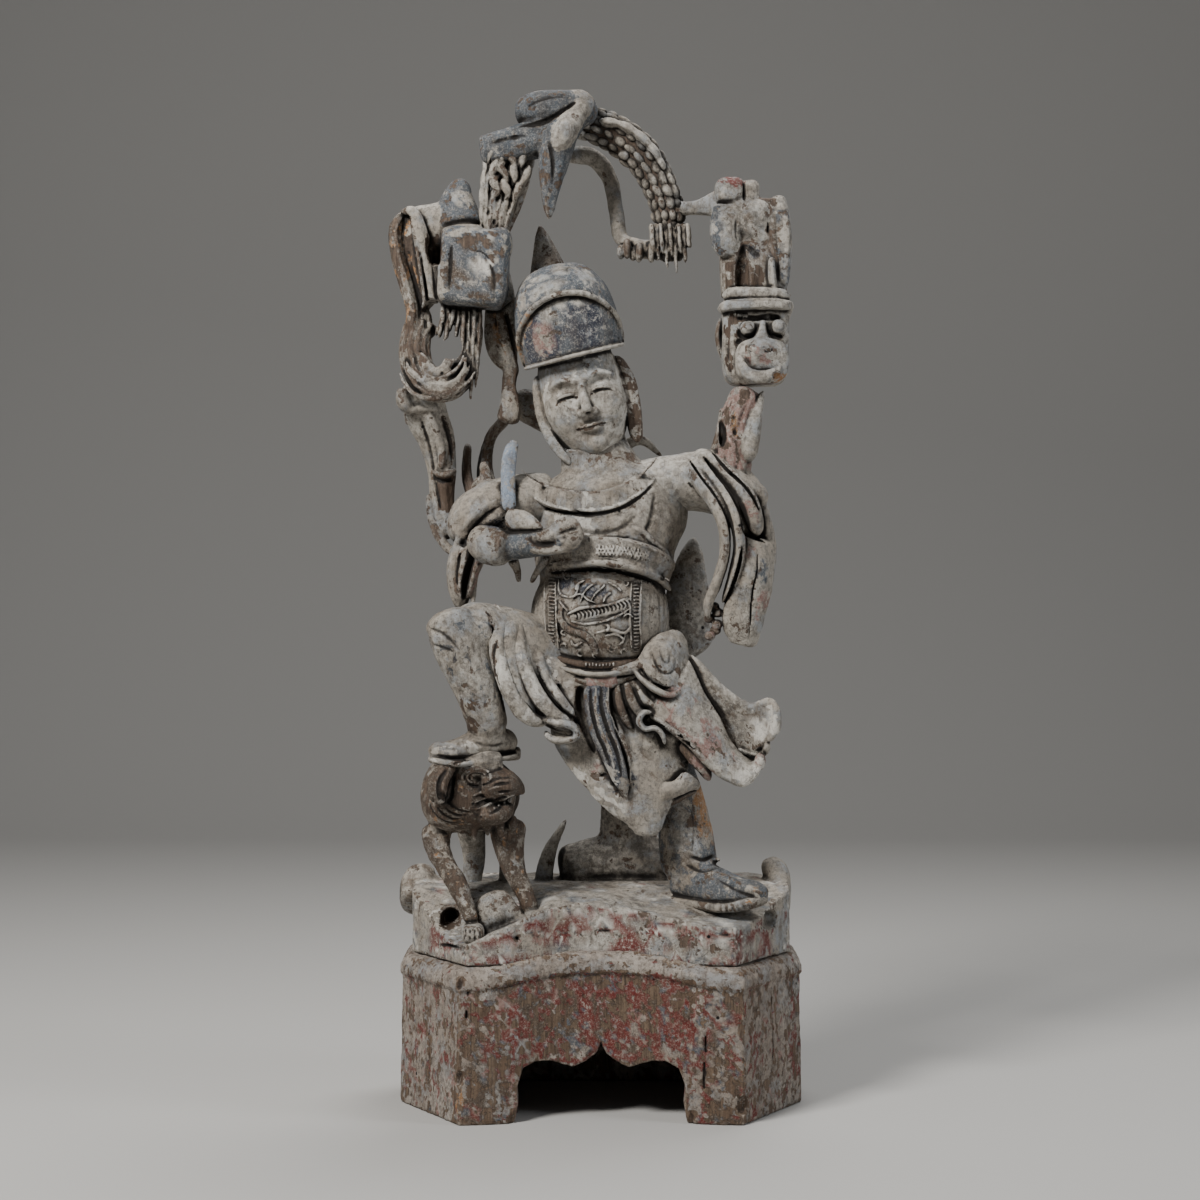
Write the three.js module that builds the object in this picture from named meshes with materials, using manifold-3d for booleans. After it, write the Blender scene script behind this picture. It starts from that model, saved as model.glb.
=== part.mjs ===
// A carved and painted wooden deity figure on its plinth, in millimetres, with +Z up and the front facing -Y.
// The figure, the beast underfoot, the rocky tier and the arch overhead are carved from one block.
import * as THREE from "three";
import { mergeVertices } from "three/addons/utils/BufferGeometryUtils.js";
import Module from "manifold-3d";

const wasm = await Module();
wasm.setup();

// Driving dimensions of the plinth.
const PLINTH_HALF_WIDTH = 90.5;
const PLINTH_HALF_DEPTH = 55;
const PLINTH_FRONT_HALF = 61.5;
const PLINTH_SIDE_Y = -4;
const PLINTH_BACK_Y = 32;
const PLINTH_BACK_HALF = 70;
const FRONT_HOLLOW = 14;
const LEDGE_LOW_Z = 61.5;
const LEDGE_SWELL = 5.5;
const LEDGE_BEVEL = 5.4;
const PLINTH_TOP_Z = 67;
const WALL = 12;
const UNDERSIDE_Z = 46;
const APRON_HALF = 37.5;
const APRON_SHOULDER_Z = 20;
const APRON_TOP_Z = 26;
const APRON_CUSP_Z = 33;

// Driving dimensions of the figure and its ground tier.
const GAP = 0.3;
const TIER_INSET = 6;
const TIER_BACK_Z = 97;
const HEAD_CENTRE = [-7.2, -6, 315.4];
const HEAD_LEAN = THREE.MathUtils.degToRad(-14);
const HEAD_NOD = THREE.MathUtils.degToRad(6);
const FACE_HALF_WIDTH = 17.5;
const FACE_HALF_DEPTH = 20;
const FACE_HALF_HEIGHT = 27;
const BELLY = { centre: [-0.4, -8, 217.4], radii: [31, 29, 30] };
const BELLY_RELIEF = 1.6;
// The leftmost lock reaches further out than the plinth does on the right, and the origin is midway.
const CENTRING_X = 1.35;

const FRONT = new THREE.Vector3(0, -1, 0);
const UP = new THREE.Vector3(0, 0, 1);

// The solid that a closed geometry bounds.
function solidOf(geometry) {
  geometry.deleteAttribute("normal");
  geometry.deleteAttribute("uv");
  const merged = mergeVertices(geometry, 1e-4);
  return new wasm.Manifold(
    new wasm.Mesh({
      numProp: 3,
      vertProperties: new Float32Array(merged.attributes.position.array),
      triVerts: new Uint32Array(merged.index.array),
    }),
  );
}

function joined(solids) {
  return solids.reduce((whole, next) => whole.add(next));
}

// The value of a list of evenly spread values at a place from 0 to 1.
function between(values, place) {
  if (typeof values === "number") return values;
  const scaled = THREE.MathUtils.clamp(place, 0, 1) * (values.length - 1);
  const first = Math.min(Math.floor(scaled), values.length - 2);
  return THREE.MathUtils.lerp(values[first], values[first + 1], scaled - first);
}

function curveThrough(points) {
  return new THREE.CatmullRomCurve3(points.map((point) => new THREE.Vector3(...point)));
}

// A round-ended body along a curve, with half widths across it and half depths towards its facing side.
function sweep(points, widths, depths, { facing = FRONT, sides = 6, steps = 5, blunt = 0.12 } = {}) {
  const curve = curveThrough(points);
  const shape = new THREE.SphereGeometry(1, sides, steps);
  const places = shape.attributes.position;
  const unit = new THREE.Vector3();
  for (let i = 0; i < places.count; i += 1) {
    unit.fromBufferAttribute(places, i);
    const ring = Math.acos(THREE.MathUtils.clamp(unit.y, -1, 1)) / Math.PI;
    const along = ring - (0.7 * Math.sin(2 * Math.PI * ring)) / (2 * Math.PI);
    const toEnd = Math.min(along, 1 - along) / blunt;
    const swell = toEnd >= 1 ? 1 : Math.sqrt(Math.max(0, 1 - (1 - toEnd) ** 2));
    const turn = Math.atan2(unit.z, unit.x);
    const tangent = curve.getTangent(along);
    const across = new THREE.Vector3().crossVectors(facing, tangent).normalize();
    const out = new THREE.Vector3().crossVectors(tangent, across).normalize();
    const point = curve.getPoint(along);
    point.addScaledVector(across, Math.cos(turn) * swell * between(widths, along));
    point.addScaledVector(out, Math.sin(turn) * swell * between(depths, along));
    if (ring < 1e-6 || ring > 1 - 1e-6) point.copy(curve.getPoint(along));
    places.setXYZ(i, point.x, point.y, point.z);
  }
  return solidOf(shape);
}

// An ellipsoid, or with a higher squareness a block with rounded edges.
function blob(centre, radii, { turn = [0, 0, 0], sides = 7, rings = 4, squareness = 2 } = {}) {
  const shape = new THREE.SphereGeometry(1, sides, rings);
  shape.rotateX(Math.PI / 2);
  const places = shape.attributes.position;
  const unit = new THREE.Vector3();
  for (let i = 0; i < places.count; i += 1) {
    unit.fromBufferAttribute(places, i);
    const sum = [unit.x, unit.y, unit.z].reduce((total, part) => total + Math.abs(part) ** squareness, 0);
    unit.multiplyScalar(sum ** (-1 / squareness));
    places.setXYZ(i, unit.x * radii[0], unit.y * radii[1], unit.z * radii[2]);
  }
  const [x, y, z] = turn.map(THREE.MathUtils.degToRad);
  shape.applyMatrix4(new THREE.Matrix4().makeRotationFromEuler(new THREE.Euler(x, y, z)));
  shape.translate(...centre);
  return solidOf(shape);
}

// A sheet of carved cloth through rows of points from its top edge to its hem.
function drape(rows, thickness, { across = 5, down = 4 } = {}) {
  const curves = rows.map(curveThrough);
  const shape = new THREE.BoxGeometry(1, 1, 1, across, down, 1);
  const places = shape.attributes.position;
  for (let i = 0; i < places.count; i += 1) {
    const u = places.getX(i) + 0.5;
    const v = 0.5 - places.getY(i);
    const point = new THREE.CatmullRomCurve3(curves.map((curve) => curve.getPoint(u))).getPoint(v);
    point.addScaledVector(FRONT, thickness * places.getZ(i));
    places.setXYZ(i, point.x, point.y, point.z);
  }
  return solidOf(shape);
}

// A prism with an outline in X and Z, from a back Y to a front Y.
function frontPrism(outline, backY, frontY) {
  const shape = new THREE.ExtrudeGeometry(
    outline,
    { depth: backY - frontY, bevelEnabled: false, curveSegments: 3 },
  );
  shape.rotateX(Math.PI / 2);
  shape.translate(0, backY, 0);
  return solidOf(shape);
}

// The plan of the plinth, drawn in by an inset: concave in front, oblique at the sides, cut corners behind.
function standPlan(inset) {
  const frontHalf = PLINTH_FRONT_HALF - inset * 0.6;
  const frontY = -PLINTH_HALF_DEPTH + inset;
  const middleY = frontY + FRONT_HOLLOW;
  const half = PLINTH_HALF_WIDTH - inset;
  const backHalf = PLINTH_BACK_HALF - inset * 0.4;
  const backY = PLINTH_HALF_DEPTH - inset;
  const sideBackY = PLINTH_BACK_Y - inset * 0.4;
  const plan = new THREE.Shape();
  plan.moveTo(-frontHalf, frontY);
  plan.bezierCurveTo(-frontHalf * 0.45, frontY + 2, -frontHalf * 0.4, middleY, 0, middleY);
  plan.bezierCurveTo(frontHalf * 0.4, middleY, frontHalf * 0.45, frontY + 2, frontHalf, frontY);
  plan.lineTo(half, PLINTH_SIDE_Y);
  plan.lineTo(half, sideBackY);
  plan.lineTo(backHalf, backY);
  plan.lineTo(-backHalf, backY);
  plan.lineTo(-half, sideBackY);
  plan.lineTo(-half, PLINTH_SIDE_Y);
  plan.lineTo(-frontHalf, frontY);
  return plan;
}

function planPrism(plan, bottomZ, topZ) {
  const shape = new THREE.ExtrudeGeometry(
    plan,
    { depth: topZ - bottomZ, bevelEnabled: false, curveSegments: 4 },
  );
  shape.translate(0, 0, bottomZ);
  return solidOf(shape);
}

// A block over the whole plan whose top follows a height that depends on X and Y.
function terrain(bottomZ, height, acrossCells, deepCells) {
  const shape = new THREE.BoxGeometry(200, 120, 1, acrossCells, deepCells, 1);
  const places = shape.attributes.position;
  for (let i = 0; i < places.count; i += 1) {
    const x = places.getX(i);
    const y = places.getY(i);
    places.setZ(i, places.getZ(i) > 0 ? height(x, y) : bottomZ);
  }
  return solidOf(shape);
}

function smooth(value) {
  return THREE.MathUtils.smoothstep(value, 0, 1);
}

// The bevelled ledge swells upwards in the middle of the front, as the hand-cut moulding does.
function ledgeZ(x, y) {
  return LEDGE_LOW_Z + LEDGE_SWELL * Math.exp(-((x / 40) ** 4)) * smooth((-y - 10) / 25);
}

// The stand's body as rings of its plan, one above another, each with its own inset and height.
function plinthBody(levels) {
  const plans = levels.map((level) => standPlan(level.inset).getPoints(5).slice(0, -1));
  const count = plans[0].length;
  const shape = new THREE.CylinderGeometry(1, 1, 1, count, levels.length - 1);
  const places = shape.attributes.position;
  for (let i = 0; i < places.count; i += 1) {
    const level = Math.round((0.5 - places.getY(i)) * (levels.length - 1));
    const onAxis = Math.hypot(places.getX(i), places.getZ(i)) < 0.5;
    const turn = Math.atan2(places.getX(i), places.getZ(i)) / (2 * Math.PI);
    const corner = plans[level][((Math.round(turn * count) % count) + count) % count];
    const { x, y } = onAxis ? { x: 0, y: 0 } : corner;
    places.setXYZ(i, x, y, levels[level].z(x, y));
  }
  return solidOf(shape);
}

function makePlinth() {
  const body = plinthBody([
    { inset: TIER_INSET - 1, z: (x, y) => ledgeZ(x, y) + LEDGE_BEVEL },
    { inset: 2.4, z: (x, y) => ledgeZ(x, y) + LEDGE_BEVEL * 0.72 },
    { inset: 0.3, z: ledgeZ },
    { inset: 0.3, z: (x, y) => ledgeZ(x, y) - 3.4 },
    { inset: 1.2, z: (x, y) => ledgeZ(x, y) - 4.6 },
    { inset: 0, z: () => 0 },
  ]);
  const seat = planPrism(standPlan(TIER_INSET - GAP), PLINTH_TOP_Z, PLINTH_TOP_Z + 20);
  const hollow = planPrism(standPlan(WALL), -1, UNDERSIDE_Z);
  const arch = new THREE.Shape();
  arch.moveTo(APRON_HALF, -1);
  arch.quadraticCurveTo(APRON_HALF - 3.5, 8, APRON_HALF - 1, APRON_SHOULDER_Z - 5);
  arch.quadraticCurveTo(APRON_HALF - 2, APRON_TOP_Z + 1, APRON_HALF * 0.62, APRON_TOP_Z);
  arch.quadraticCurveTo(APRON_HALF * 0.32, APRON_TOP_Z - 4, APRON_HALF * 0.16, APRON_TOP_Z);
  arch.quadraticCurveTo(1.5, APRON_TOP_Z + 2, 0, APRON_CUSP_Z);
  arch.quadraticCurveTo(-1.5, APRON_TOP_Z + 2, -APRON_HALF * 0.16, APRON_TOP_Z);
  arch.quadraticCurveTo(-APRON_HALF * 0.32, APRON_TOP_Z - 4, -APRON_HALF * 0.62, APRON_TOP_Z);
  arch.quadraticCurveTo(-APRON_HALF + 2, APRON_TOP_Z + 1, -APRON_HALF + 1, APRON_SHOULDER_Z - 5);
  arch.quadraticCurveTo(-APRON_HALF + 3.5, 8, -APRON_HALF, -1);
  arch.closePath();
  const opening = frontPrism(arch, 0, -PLINTH_HALF_DEPTH - 1);
  return body.subtract(seat).subtract(hollow).subtract(opening);
}

// The front edge of the tier is low under the beast, highest before the skirt, and falls again to the boot.
const TIER_FRONT_Z = [75, 77, 84, 92, 92.5, 90, 87.5, 85, 84];

function groundZ(x, y) {
  const front = between(TIER_FRONT_Z, (x + 75) / 140);
  return THREE.MathUtils.lerp(front, TIER_BACK_Z, smooth((y + 42) / 48));
}

function makeGround() {
  const slope = terrain(PLINTH_TOP_Z + GAP, groundZ, 9, 4);
  const tier = planPrism(standPlan(TIER_INSET), PLINTH_TOP_Z + GAP, TIER_BACK_Z + 10).intersect(slope);
  return [
    tier,
    blob([-45.8, -34, 86.8], [12, 10, 10], { sides: 7 }),
    sweep(
      [[-18.8, 22, 99.2], [-0.5, 24, 105.4], [17.9, 24, 105.4], [36.3, 24, 99.9]],
      [12, 11, 12, 10],
      [10, 12, 12, 10],
    ),
    sweep(
      [[-26.9, 14, 91.9], [-24.2, 16, 108.1], [-15.6, 18, 125.3]],
      [4.5, 3.4, 1],
      [4.5, 3, 1],
      { sides: 5, steps: 4 },
    ),
  ];
}

// The back of the robe, the rock trunk that carries it, and the grey upright leaf past the raised sleeve.
function makeBack() {
  return [
    sweep(
      [[2.3, 8, 277.6], [0.5, 12, 225], [5, 12, 184.1], [14.1, 8, 145.7]],
      [24, 29, 30, 22],
      [14, 16, 16, 13],
      { sides: 9, steps: 5 },
    ),
    sweep(
      [[12.4, 26, 90.5], [12.4, 24, 123.8], [10.5, 20, 165.4]],
      [14, 12.5, 16],
      [12, 11, 12],
      { sides: 7, steps: 3 },
    ),
    sweep(
      [[42.5, 16, 254.2], [39.9, 20, 231.9], [39.9, 20, 206.7], [43.4, 16, 177.1]],
      [3, 9.5, 11.5, 10],
      [4, 6, 8, 8],
    ),
  ];
}

function makeTorso() {
  return [
    sweep(
      [[5, 2, 287.2], [4.9, -4, 269.8], [2.2, -8, 249.6], [0.4, -8, 225]],
      [17, 34, 31, 31],
      [15, 23, 25, 27],
      { sides: 10, steps: 5, blunt: 0.2 },
    ),
    sweep(
      [[-5.9, 0, 303.8], [-3.1, -2, 292.4], [1.3, -4, 277.9]],
      [14.5, 15.5, 20],
      [14, 15, 18],
      { sides: 8, steps: 4 },
    ),
    blob([-1.3, -10, 286.5], [16.5, 14, 3], { turn: [0, -6, 0], sides: 8, rings: 3 }),
    sweep(
      [
        [-35.8, -6, 278.3],
        [-23.4, -21, 270.9],
        [-9.2, -28, 268],
        [4.8, -28, 269.3],
        [17.2, -21, 275.8],
        [25.5, -8, 284.4],
      ],
      3.8,
      2.4,
      { sides: 5, steps: 7 },
    ),
    sweep(
      [[13.6, -29, 260.1], [19.3, -30, 253.5], [24.6, -25, 246.5], [29.6, -20, 242.2]],
      2.2,
      2.6,
      { sides: 5, steps: 3 },
    ),
  ];
}

// The belt leans with the body: a wide band with a rolled edge below.
function makeBelt() {
  const band = [
    [-24.4, -16, 244.5],
    [-15.3, -29, 246.9],
    [-1.3, -35, 247.2],
    [14.4, -32, 245.5],
    [24.2, -24, 241.7],
    [30.8, -10, 237],
  ];
  const edge = [
    [-24.3, -18, 239.6],
    [-12.7, -32, 240.7],
    [1.3, -38, 241.1],
    [15.3, -34, 238.5],
    [24.2, -25, 235.1],
    [30.8, -10, 229.5],
  ];
  return [sweep(band, 5.4, 3, { sides: 5, steps: 7 }), sweep(edge, 2.2, 3, { sides: 5, steps: 7 })];
}

// The front of the belly panel at a place across and above its middle.
function onPanel(x, z, proud) {
  const [wide, deep, high] = BELLY.radii.map((radius) => radius + BELLY_RELIEF);
  const [centreX, centreY, centreZ] = BELLY.centre;
  const y = centreY - deep * Math.sqrt(1 - (x / wide) ** 2 - (z / high) ** 2) - proud;
  return [centreX + x, y, centreZ + z];
}

// The dragon of the belly panel, as raised strokes: body, tail, claws, horned head and clouds.
function makeDragon() {
  const strokes = [
    [[[-14, 1], [-4, 4], [10, 8]], [1.8, 2.8, 1.8]],
    [[[-16, 4], [-8, -6], [0, -16]], [1.4, 2.2, 0.9]],
    [[[-10, 9], [-4, 14], [2, 14]], [1.4, 1.8, 1]],
    [[[5, 1], [9, -6], [5, -14]], [1.6, 1.5, 0.9]],
  ];
  return strokes.map(([places, widths]) =>
    sweep(places.map(([x, z]) => onPanel(x, z, 0)), widths, 1.7, { sides: 4, steps: 4 }),
  );
}

function makeBelly() {
  const { centre, radii } = BELLY;
  const relief = radii.map((radius) => radius + BELLY_RELIEF);
  const outline = new THREE.Shape();
  outline.moveTo(-25, -19);
  outline.quadraticCurveTo(-4, -26, 18, -19);
  outline.lineTo(18, 20);
  outline.quadraticCurveTo(-4, 25, -24, 19);
  outline.quadraticCurveTo(-27.5, 0, -25, -19);
  const panelCut = frontPrism(outline, centre[1], -60).translate(centre[0], 0, centre[2]);
  return [
    blob(centre, radii, { sides: 12, rings: 8 }),
    blob(centre, relief, { sides: 12, rings: 8 }).intersect(panelCut),
    ...makeDragon(),
    sweep(
      [[-26.6, -16, 202.8], [-18, -28, 196.9], [-1.3, -34, 193.6], [14.5, -28, 196.1], [28, -12, 201.4]],
      [2.5, 3.4, 3.8, 3.4, 2.5],
      3,
      { sides: 5, steps: 6 },
    ),
    blob([-0.4, -29, 189.9], [7.5, 5, 4], { sides: 6, rings: 3, squareness: 4 }),
  ];
}

// The head in its own frame: X across the face, Y to the back, Z up, the middle of the face at its centre.
function makeHead() {
  const pose = new THREE.Matrix4().makeRotationFromEuler(new THREE.Euler(HEAD_NOD, HEAD_LEAN, 0));
  const front = -FACE_HALF_DEPTH;
  const pairs = [-1, 1].flatMap((side) => [
    sweep(
      [[side * 3, front + 0.6, 7.6], [side * 8, front + 1.2, 9.4], [side * 13.5, front + 6, 7]],
      [1.4, 1.7, 1],
      1.6,
      { sides: 5, steps: 3 },
    ),
    blob([side * 7.4, front + 3.2, 2.6], [4.2, 2.4, 2.2], { sides: 6, rings: 3 }),
    sweep(
      [[side * 18, 3, 17], [side * 18.6, 4, -4], [side * 15.5, 3, -22]],
      [2.4, 3, 2],
      [6, 6.4, 4],
      { sides: 5, steps: 3 },
    ),
  ]);
  const face = joined([
    blob(
      [0, 0, 2],
      [FACE_HALF_WIDTH, FACE_HALF_DEPTH, FACE_HALF_HEIGHT],
      { sides: 12, rings: 7, squareness: 2.3 },
    ),
    blob([0, -6, -18], [10, 11, 8], { sides: 7, rings: 4 }),
    sweep(
      [[0, front + 0.8, 6], [0, front - 1.4, -1.5], [0, front - 3, -5.2]],
      [1.7, 2.2, 3.4],
      [2, 2.4, 2.4],
      { steps: 4, blunt: 0.2 },
    ),
    sweep(
      [[-5.2, front + 2.8, -11.4], [0, front + 0.8, -11], [5.2, front + 2.8, -11.4]],
      1.2,
      1.8,
      { sides: 5, steps: 3 },
    ),
    sweep(
      [[-4.2, front + 3, -13.6], [0, front + 1, -14.2], [4.2, front + 3, -13.6]],
      1.3,
      2,
      { sides: 5, steps: 3 },
    ),
    ...pairs,
  ]);
  const dome = blob([0, 1.5, 31], [24, 25, 30.5], { sides: 12, rings: 7, squareness: 2.5 });
  const aboveBrim = frontPrism(boxOutline(-40, 40, 15.5, 80), 40, -40);
  const rim = [
    [-23.4, 1, 16],
    [-22, -11, 33],
    [-12, -20.5, 43],
    [0, -22, 46],
    [12, -20.5, 43],
    [22, -11, 33],
    [23.4, 1, 16],
  ];
  const hat = dome.intersect(aboveBrim).add(sweep(rim, 2.4, 2.4, { sides: 4, steps: 7 }));
  const place = new THREE.Matrix4().makeTranslation(...HEAD_CENTRE).multiply(pose);
  return [
    face.add(hat).transform(place.elements),
    sweep([[-20.5, 12, 341], [-23.3, 16, 368.8], [-27.9, 18, 396.1]], [11, 10, 2], [8, 7, 2], { steps: 4 }),
    sweep([[7.7, 2, 292.6], [17.6, 0, 297], [27.5, 2, 289.9]], [3, 2.4, 2], 2.6, { sides: 4, steps: 3 }),
    sweep(
      [[-5, 12, 309.2], [-19.7, 20, 308.4], [-40.7, 18, 316.5]],
      [10, 9, 7],
      [8, 8, 5],
      { sides: 5, steps: 4 },
    ),
  ];
}

function boxOutline(left, right, low, high) {
  const outline = new THREE.Shape();
  outline.moveTo(left, low);
  outline.lineTo(right, low);
  outline.lineTo(right, high);
  outline.lineTo(left, high);
  outline.closePath();
  return outline;
}

// The bent arm: a wide sleeve at the shoulder, its hanging cuff, and the covered hand held before the belt.
function makeBentArm() {
  const folds = [0, 1].map((i) =>
    sweep(
      [[-42.9, -20, 272.7], [-54.1, -25, 265.5], [-63.1, -22, 255.9]].map(([x, y, z]) => [
        x + 5 * i,
        y - 2 * i,
        z - 5 * i,
      ]),
      [1.4, 2, 1.4],
      2,
      { sides: 5, steps: 4 },
    ),
  );
  return [
    sweep(
      [[-22.1, 0, 269.1], [-42.5, -6, 266.2], [-56.5, -12, 259.7], [-60.9, -14, 247.2]],
      [13, 13, 12, 7],
      [16, 17, 15, 10],
      { sides: 8, steps: 6 },
    ),
    sweep(
      [
        [-59.1, -14, 251.7],
        [-42.4, -32, 247.7],
        [-28.6, -40, 250.6],
        [-16.9, -41, 253.6],
        [-6.5, -39, 255.4],
      ],
      [6, 6.4, 6.6, 8, 6],
      [7, 7, 6, 5.5, 3.5],
      { sides: 6, steps: 6 },
    ),
    sweep(
      [[-40.7, -30, 260], [-28.6, -42, 252.7], [-11.6, -46, 253.5]],
      [4, 2.5, 1.5],
      2.4,
      { sides: 5, steps: 4 },
    ),
    sweep(
      [[-60, -14, 251.7], [-61.2, -16, 240.5], [-62.9, -18, 229.4], [-62, -18, 220.1]],
      [8, 7.4, 5, 2],
      [11, 10, 8, 3],
      { sides: 6, steps: 5 },
    ),
    ...folds,
    sweep(
      [[-36.9, -12, 298], [-41.6, -18, 286.1], [-43.2, -22, 273.5], [-40.4, -26, 261.9]],
      [2.5, 3.4, 3.2, 2.2],
      2.6,
      { sides: 5, steps: 4 },
    ),
  ];
}

// The raised arm: the sleeve runs up to the bare forearm and hangs open behind a rolled front hem.
function makeRaisedArm() {
  const folds = [
    [[39.4, -18, 285.2], [47.2, -21, 274.9], [53.4, -21, 263.8], [57.5, -18, 248.9]],
    [[48.3, -16, 288.9], [56.1, -20, 278], [63.2, -20, 265.6], [65.1, -17, 251.6]],
  ];
  return [
    sweep(
      [[13, -2, 271.7], [31.8, -4, 277], [47.8, -8, 278.6], [60.2, -10, 273.2], [63.8, -10, 258.9]],
      [15, 13, 15, 14, 12],
      [18, 16, 15, 14, 13],
      { sides: 8, steps: 7 },
    ),
    sweep(
      [[61.2, -8, 267.4], [63.4, -8, 255.4], [62, -9, 238.4], [62.9, -10, 224.1], [63.6, -12, 207.2]],
      [10, 11, 12, 10.5, 2.5],
      [12, 12, 11, 8, 3],
      { sides: 7, steps: 6 },
    ),
    sweep(
      [[49.9, -20, 269.2], [53.4, -21, 249.3], [49, -21, 232.9], [50.1, -16, 212.6]],
      [3, 3.6, 4, 3.4],
      [4, 4, 4, 4],
    ),
    ...folds.map((points) => sweep(
      points,
      [1.6, 2.6, 2.6, 1.4],
      [2.6, 3.4, 3.2, 2],
      { sides: 5, steps: 4 },
    )),
    sweep(
      [[64.4, -14, 324.5], [62.7, -13, 313], [59.3, -10, 300.8], [57.6, -8, 276.4]],
      [6.8, 7.4, 9, 7.8],
      [8, 8.5, 9.5, 9],
      { sides: 7, steps: 4 },
    ),
  ];
}

// The beast head on the raised hand: ball eyes under a double brow, a snub snout and a wide grin.
function makeRaisedBeast() {
  return [
    blob([69.6, -10, 342.3], [15, 13.5, 22.5], { sides: 8, rings: 6, squareness: 3.6 }),
    sweep(
      [[54.3, -20, 356.7], [61.1, -25, 358.3], [75.2, -25, 358.3], [82.8, -18, 356]],
      4.4,
      3.4,
      { sides: 5, steps: 5 },
    ),
    ...[[63.9, -23, 344], [77.1, -23, 344.4]].map((centre) => blob(
      centre,
      [3.6, 3.8, 3.6],
      { sides: 5, rings: 3 },
    )),
    sweep(
      [[63.9, -22, 333.5], [69.9, -25, 336.7], [74.4, -24, 332.4], [68.3, -23, 328.1]],
      [3.4, 3.6, 3, 2],
      3,
      { sides: 5, steps: 4 },
    ),
    sweep(
      [[59.8, -18, 331.2], [65.6, -23, 323.7], [74.5, -23, 322.8], [82.4, -17, 329.6]],
      [2.2, 3.6, 3.8, 2.4],
      3.4,
      { sides: 5, steps: 4 },
    ),
    blob([67.5, -8, 373.3], [13, 12.5, 17], { squareness: 2.8 }),
    blob([63.6, -6, 390.6], [14.5, 14, 14], { squareness: 3.6 }),
    sweep(
      [[78.8, 0, 404.1], [79.5, -2, 384.5], [77.3, -8, 363.5]],
      [5, 6, 6],
      [10, 10, 7],
      { sides: 5, steps: 4 },
    ),
    blob([61.4, -4, 406.6], [9.4, 9.4, 7.4], { squareness: 3 }),
  ];
}

// A row of carved locks: a body whose thickness rises and falls along its length.
function lockRow(points, width, lumps) {
  const bulge = Array.from({ length: lumps * 2 + 1 }, (_, i) => width * (i % 2 === 0 ? 0.75 : 1.15));
  return sweep(points, bulge, bulge, { sides: 4, steps: lumps * 2, blunt: 0.05 });
}

// The arch over the head: lengthwise rows of lumpy locks, a smooth inner loop, and a bar to the raised beast.
function makeArch() {
  const middle = [
    [-10.3, -6, 439.8],
    [4.9, -4, 434.4],
    [18, -2, 424.9],
    [25.7, 0, 412.6],
    [30.2, 0, 398.7],
    [31.9, 0, 377.1],
  ];
  const rows = [-1, 0, 1].map((row) => {
    const shifted = middle.map(([x, y, z], i) => {
      const turn = (Math.PI / 2) * (i / (middle.length - 1));
      return [x + 4.4 * row * Math.sin(turn), y - (row === 0 ? 3.4 : 0.6), z + 4.4 * row * Math.cos(turn)];
    });
    return lockRow(shifted, 3.6, row === 0 ? 7 : 6);
  });
  return [
    ...rows,
    sweep(
      [
        [-17.6, 6, 425.9],
        [-4.1, 12, 426.1],
        [3.6, 12, 417],
        [6.8, 10, 402.1],
        [9.5, 6, 387.9],
        [17.6, 3, 383.4],
        [28.4, 2, 382.8],
      ],
      [5, 4, 3.6, 3.4, 4.8, 5.4, 5],
      [6, 4.4, 4, 4, 4.6, 5, 5],
      { sides: 5, steps: 8 },
    ),
    sweep(
      [[32.9, 0, 403.2], [42.7, -1, 402.1], [56.9, -4, 399]],
      [3.4, 3.6, 8],
      [3.5, 3.4, 5],
      { sides: 5, steps: 3 },
    ),
  ];
}

// The crest on top: a cloud-shaped cap, a wedge to the left and the long spike hanging over the hat.
function makeCrest() {
  return [
    blob([-20.1, -8, 443.4], [18.5, 16, 9], { sides: 8, rings: 5, squareness: 2.4 }),
    sweep(
      [[-53.2, -8, 424.7], [-39.6, -11, 427.3], [-17.4, -12, 433.3]],
      [6.6, 7.4, 9],
      [10, 11, 11],
      { sides: 6, steps: 4 },
    ),
    sweep(
      [[-10.2, -12, 442.2], [-18.1, -18, 430.8], [-21.2, -20, 417.2], [-22.5, -20, 406.1], [-23, -19, 393]],
      [6, 8, 6.6, 4.4, 1],
      [8, 9, 8, 5, 1.2],
      { sides: 6, steps: 6 },
    ),
  ];
}

// The mane falls in thick strands from under the wedge to the beast on the left.
function makeMane() {
  return [0, 1, 2, 3].map((strand) => {
    const [topX, topY, topZ] = [-49.1, -10, 424.8];
    const [lowX, lowY, lowZ] = [-53.3, -14, 386.7];
    const back = strand % 2;
    return sweep(
      [
        [topX + strand * 4.6, topY + back, topZ],
        [(topX + lowX) / 2 + strand * 4.6 + 1.4, (topY + lowY) / 2 - 3 + back, (topZ + lowZ) / 2],
        [lowX + strand * 3, lowY + back, lowZ],
      ],
      [2.9, 3.4, 2.6],
      [5, 5.5, 4],
      { sides: 4, steps: 4 },
    );
  });
}

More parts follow.
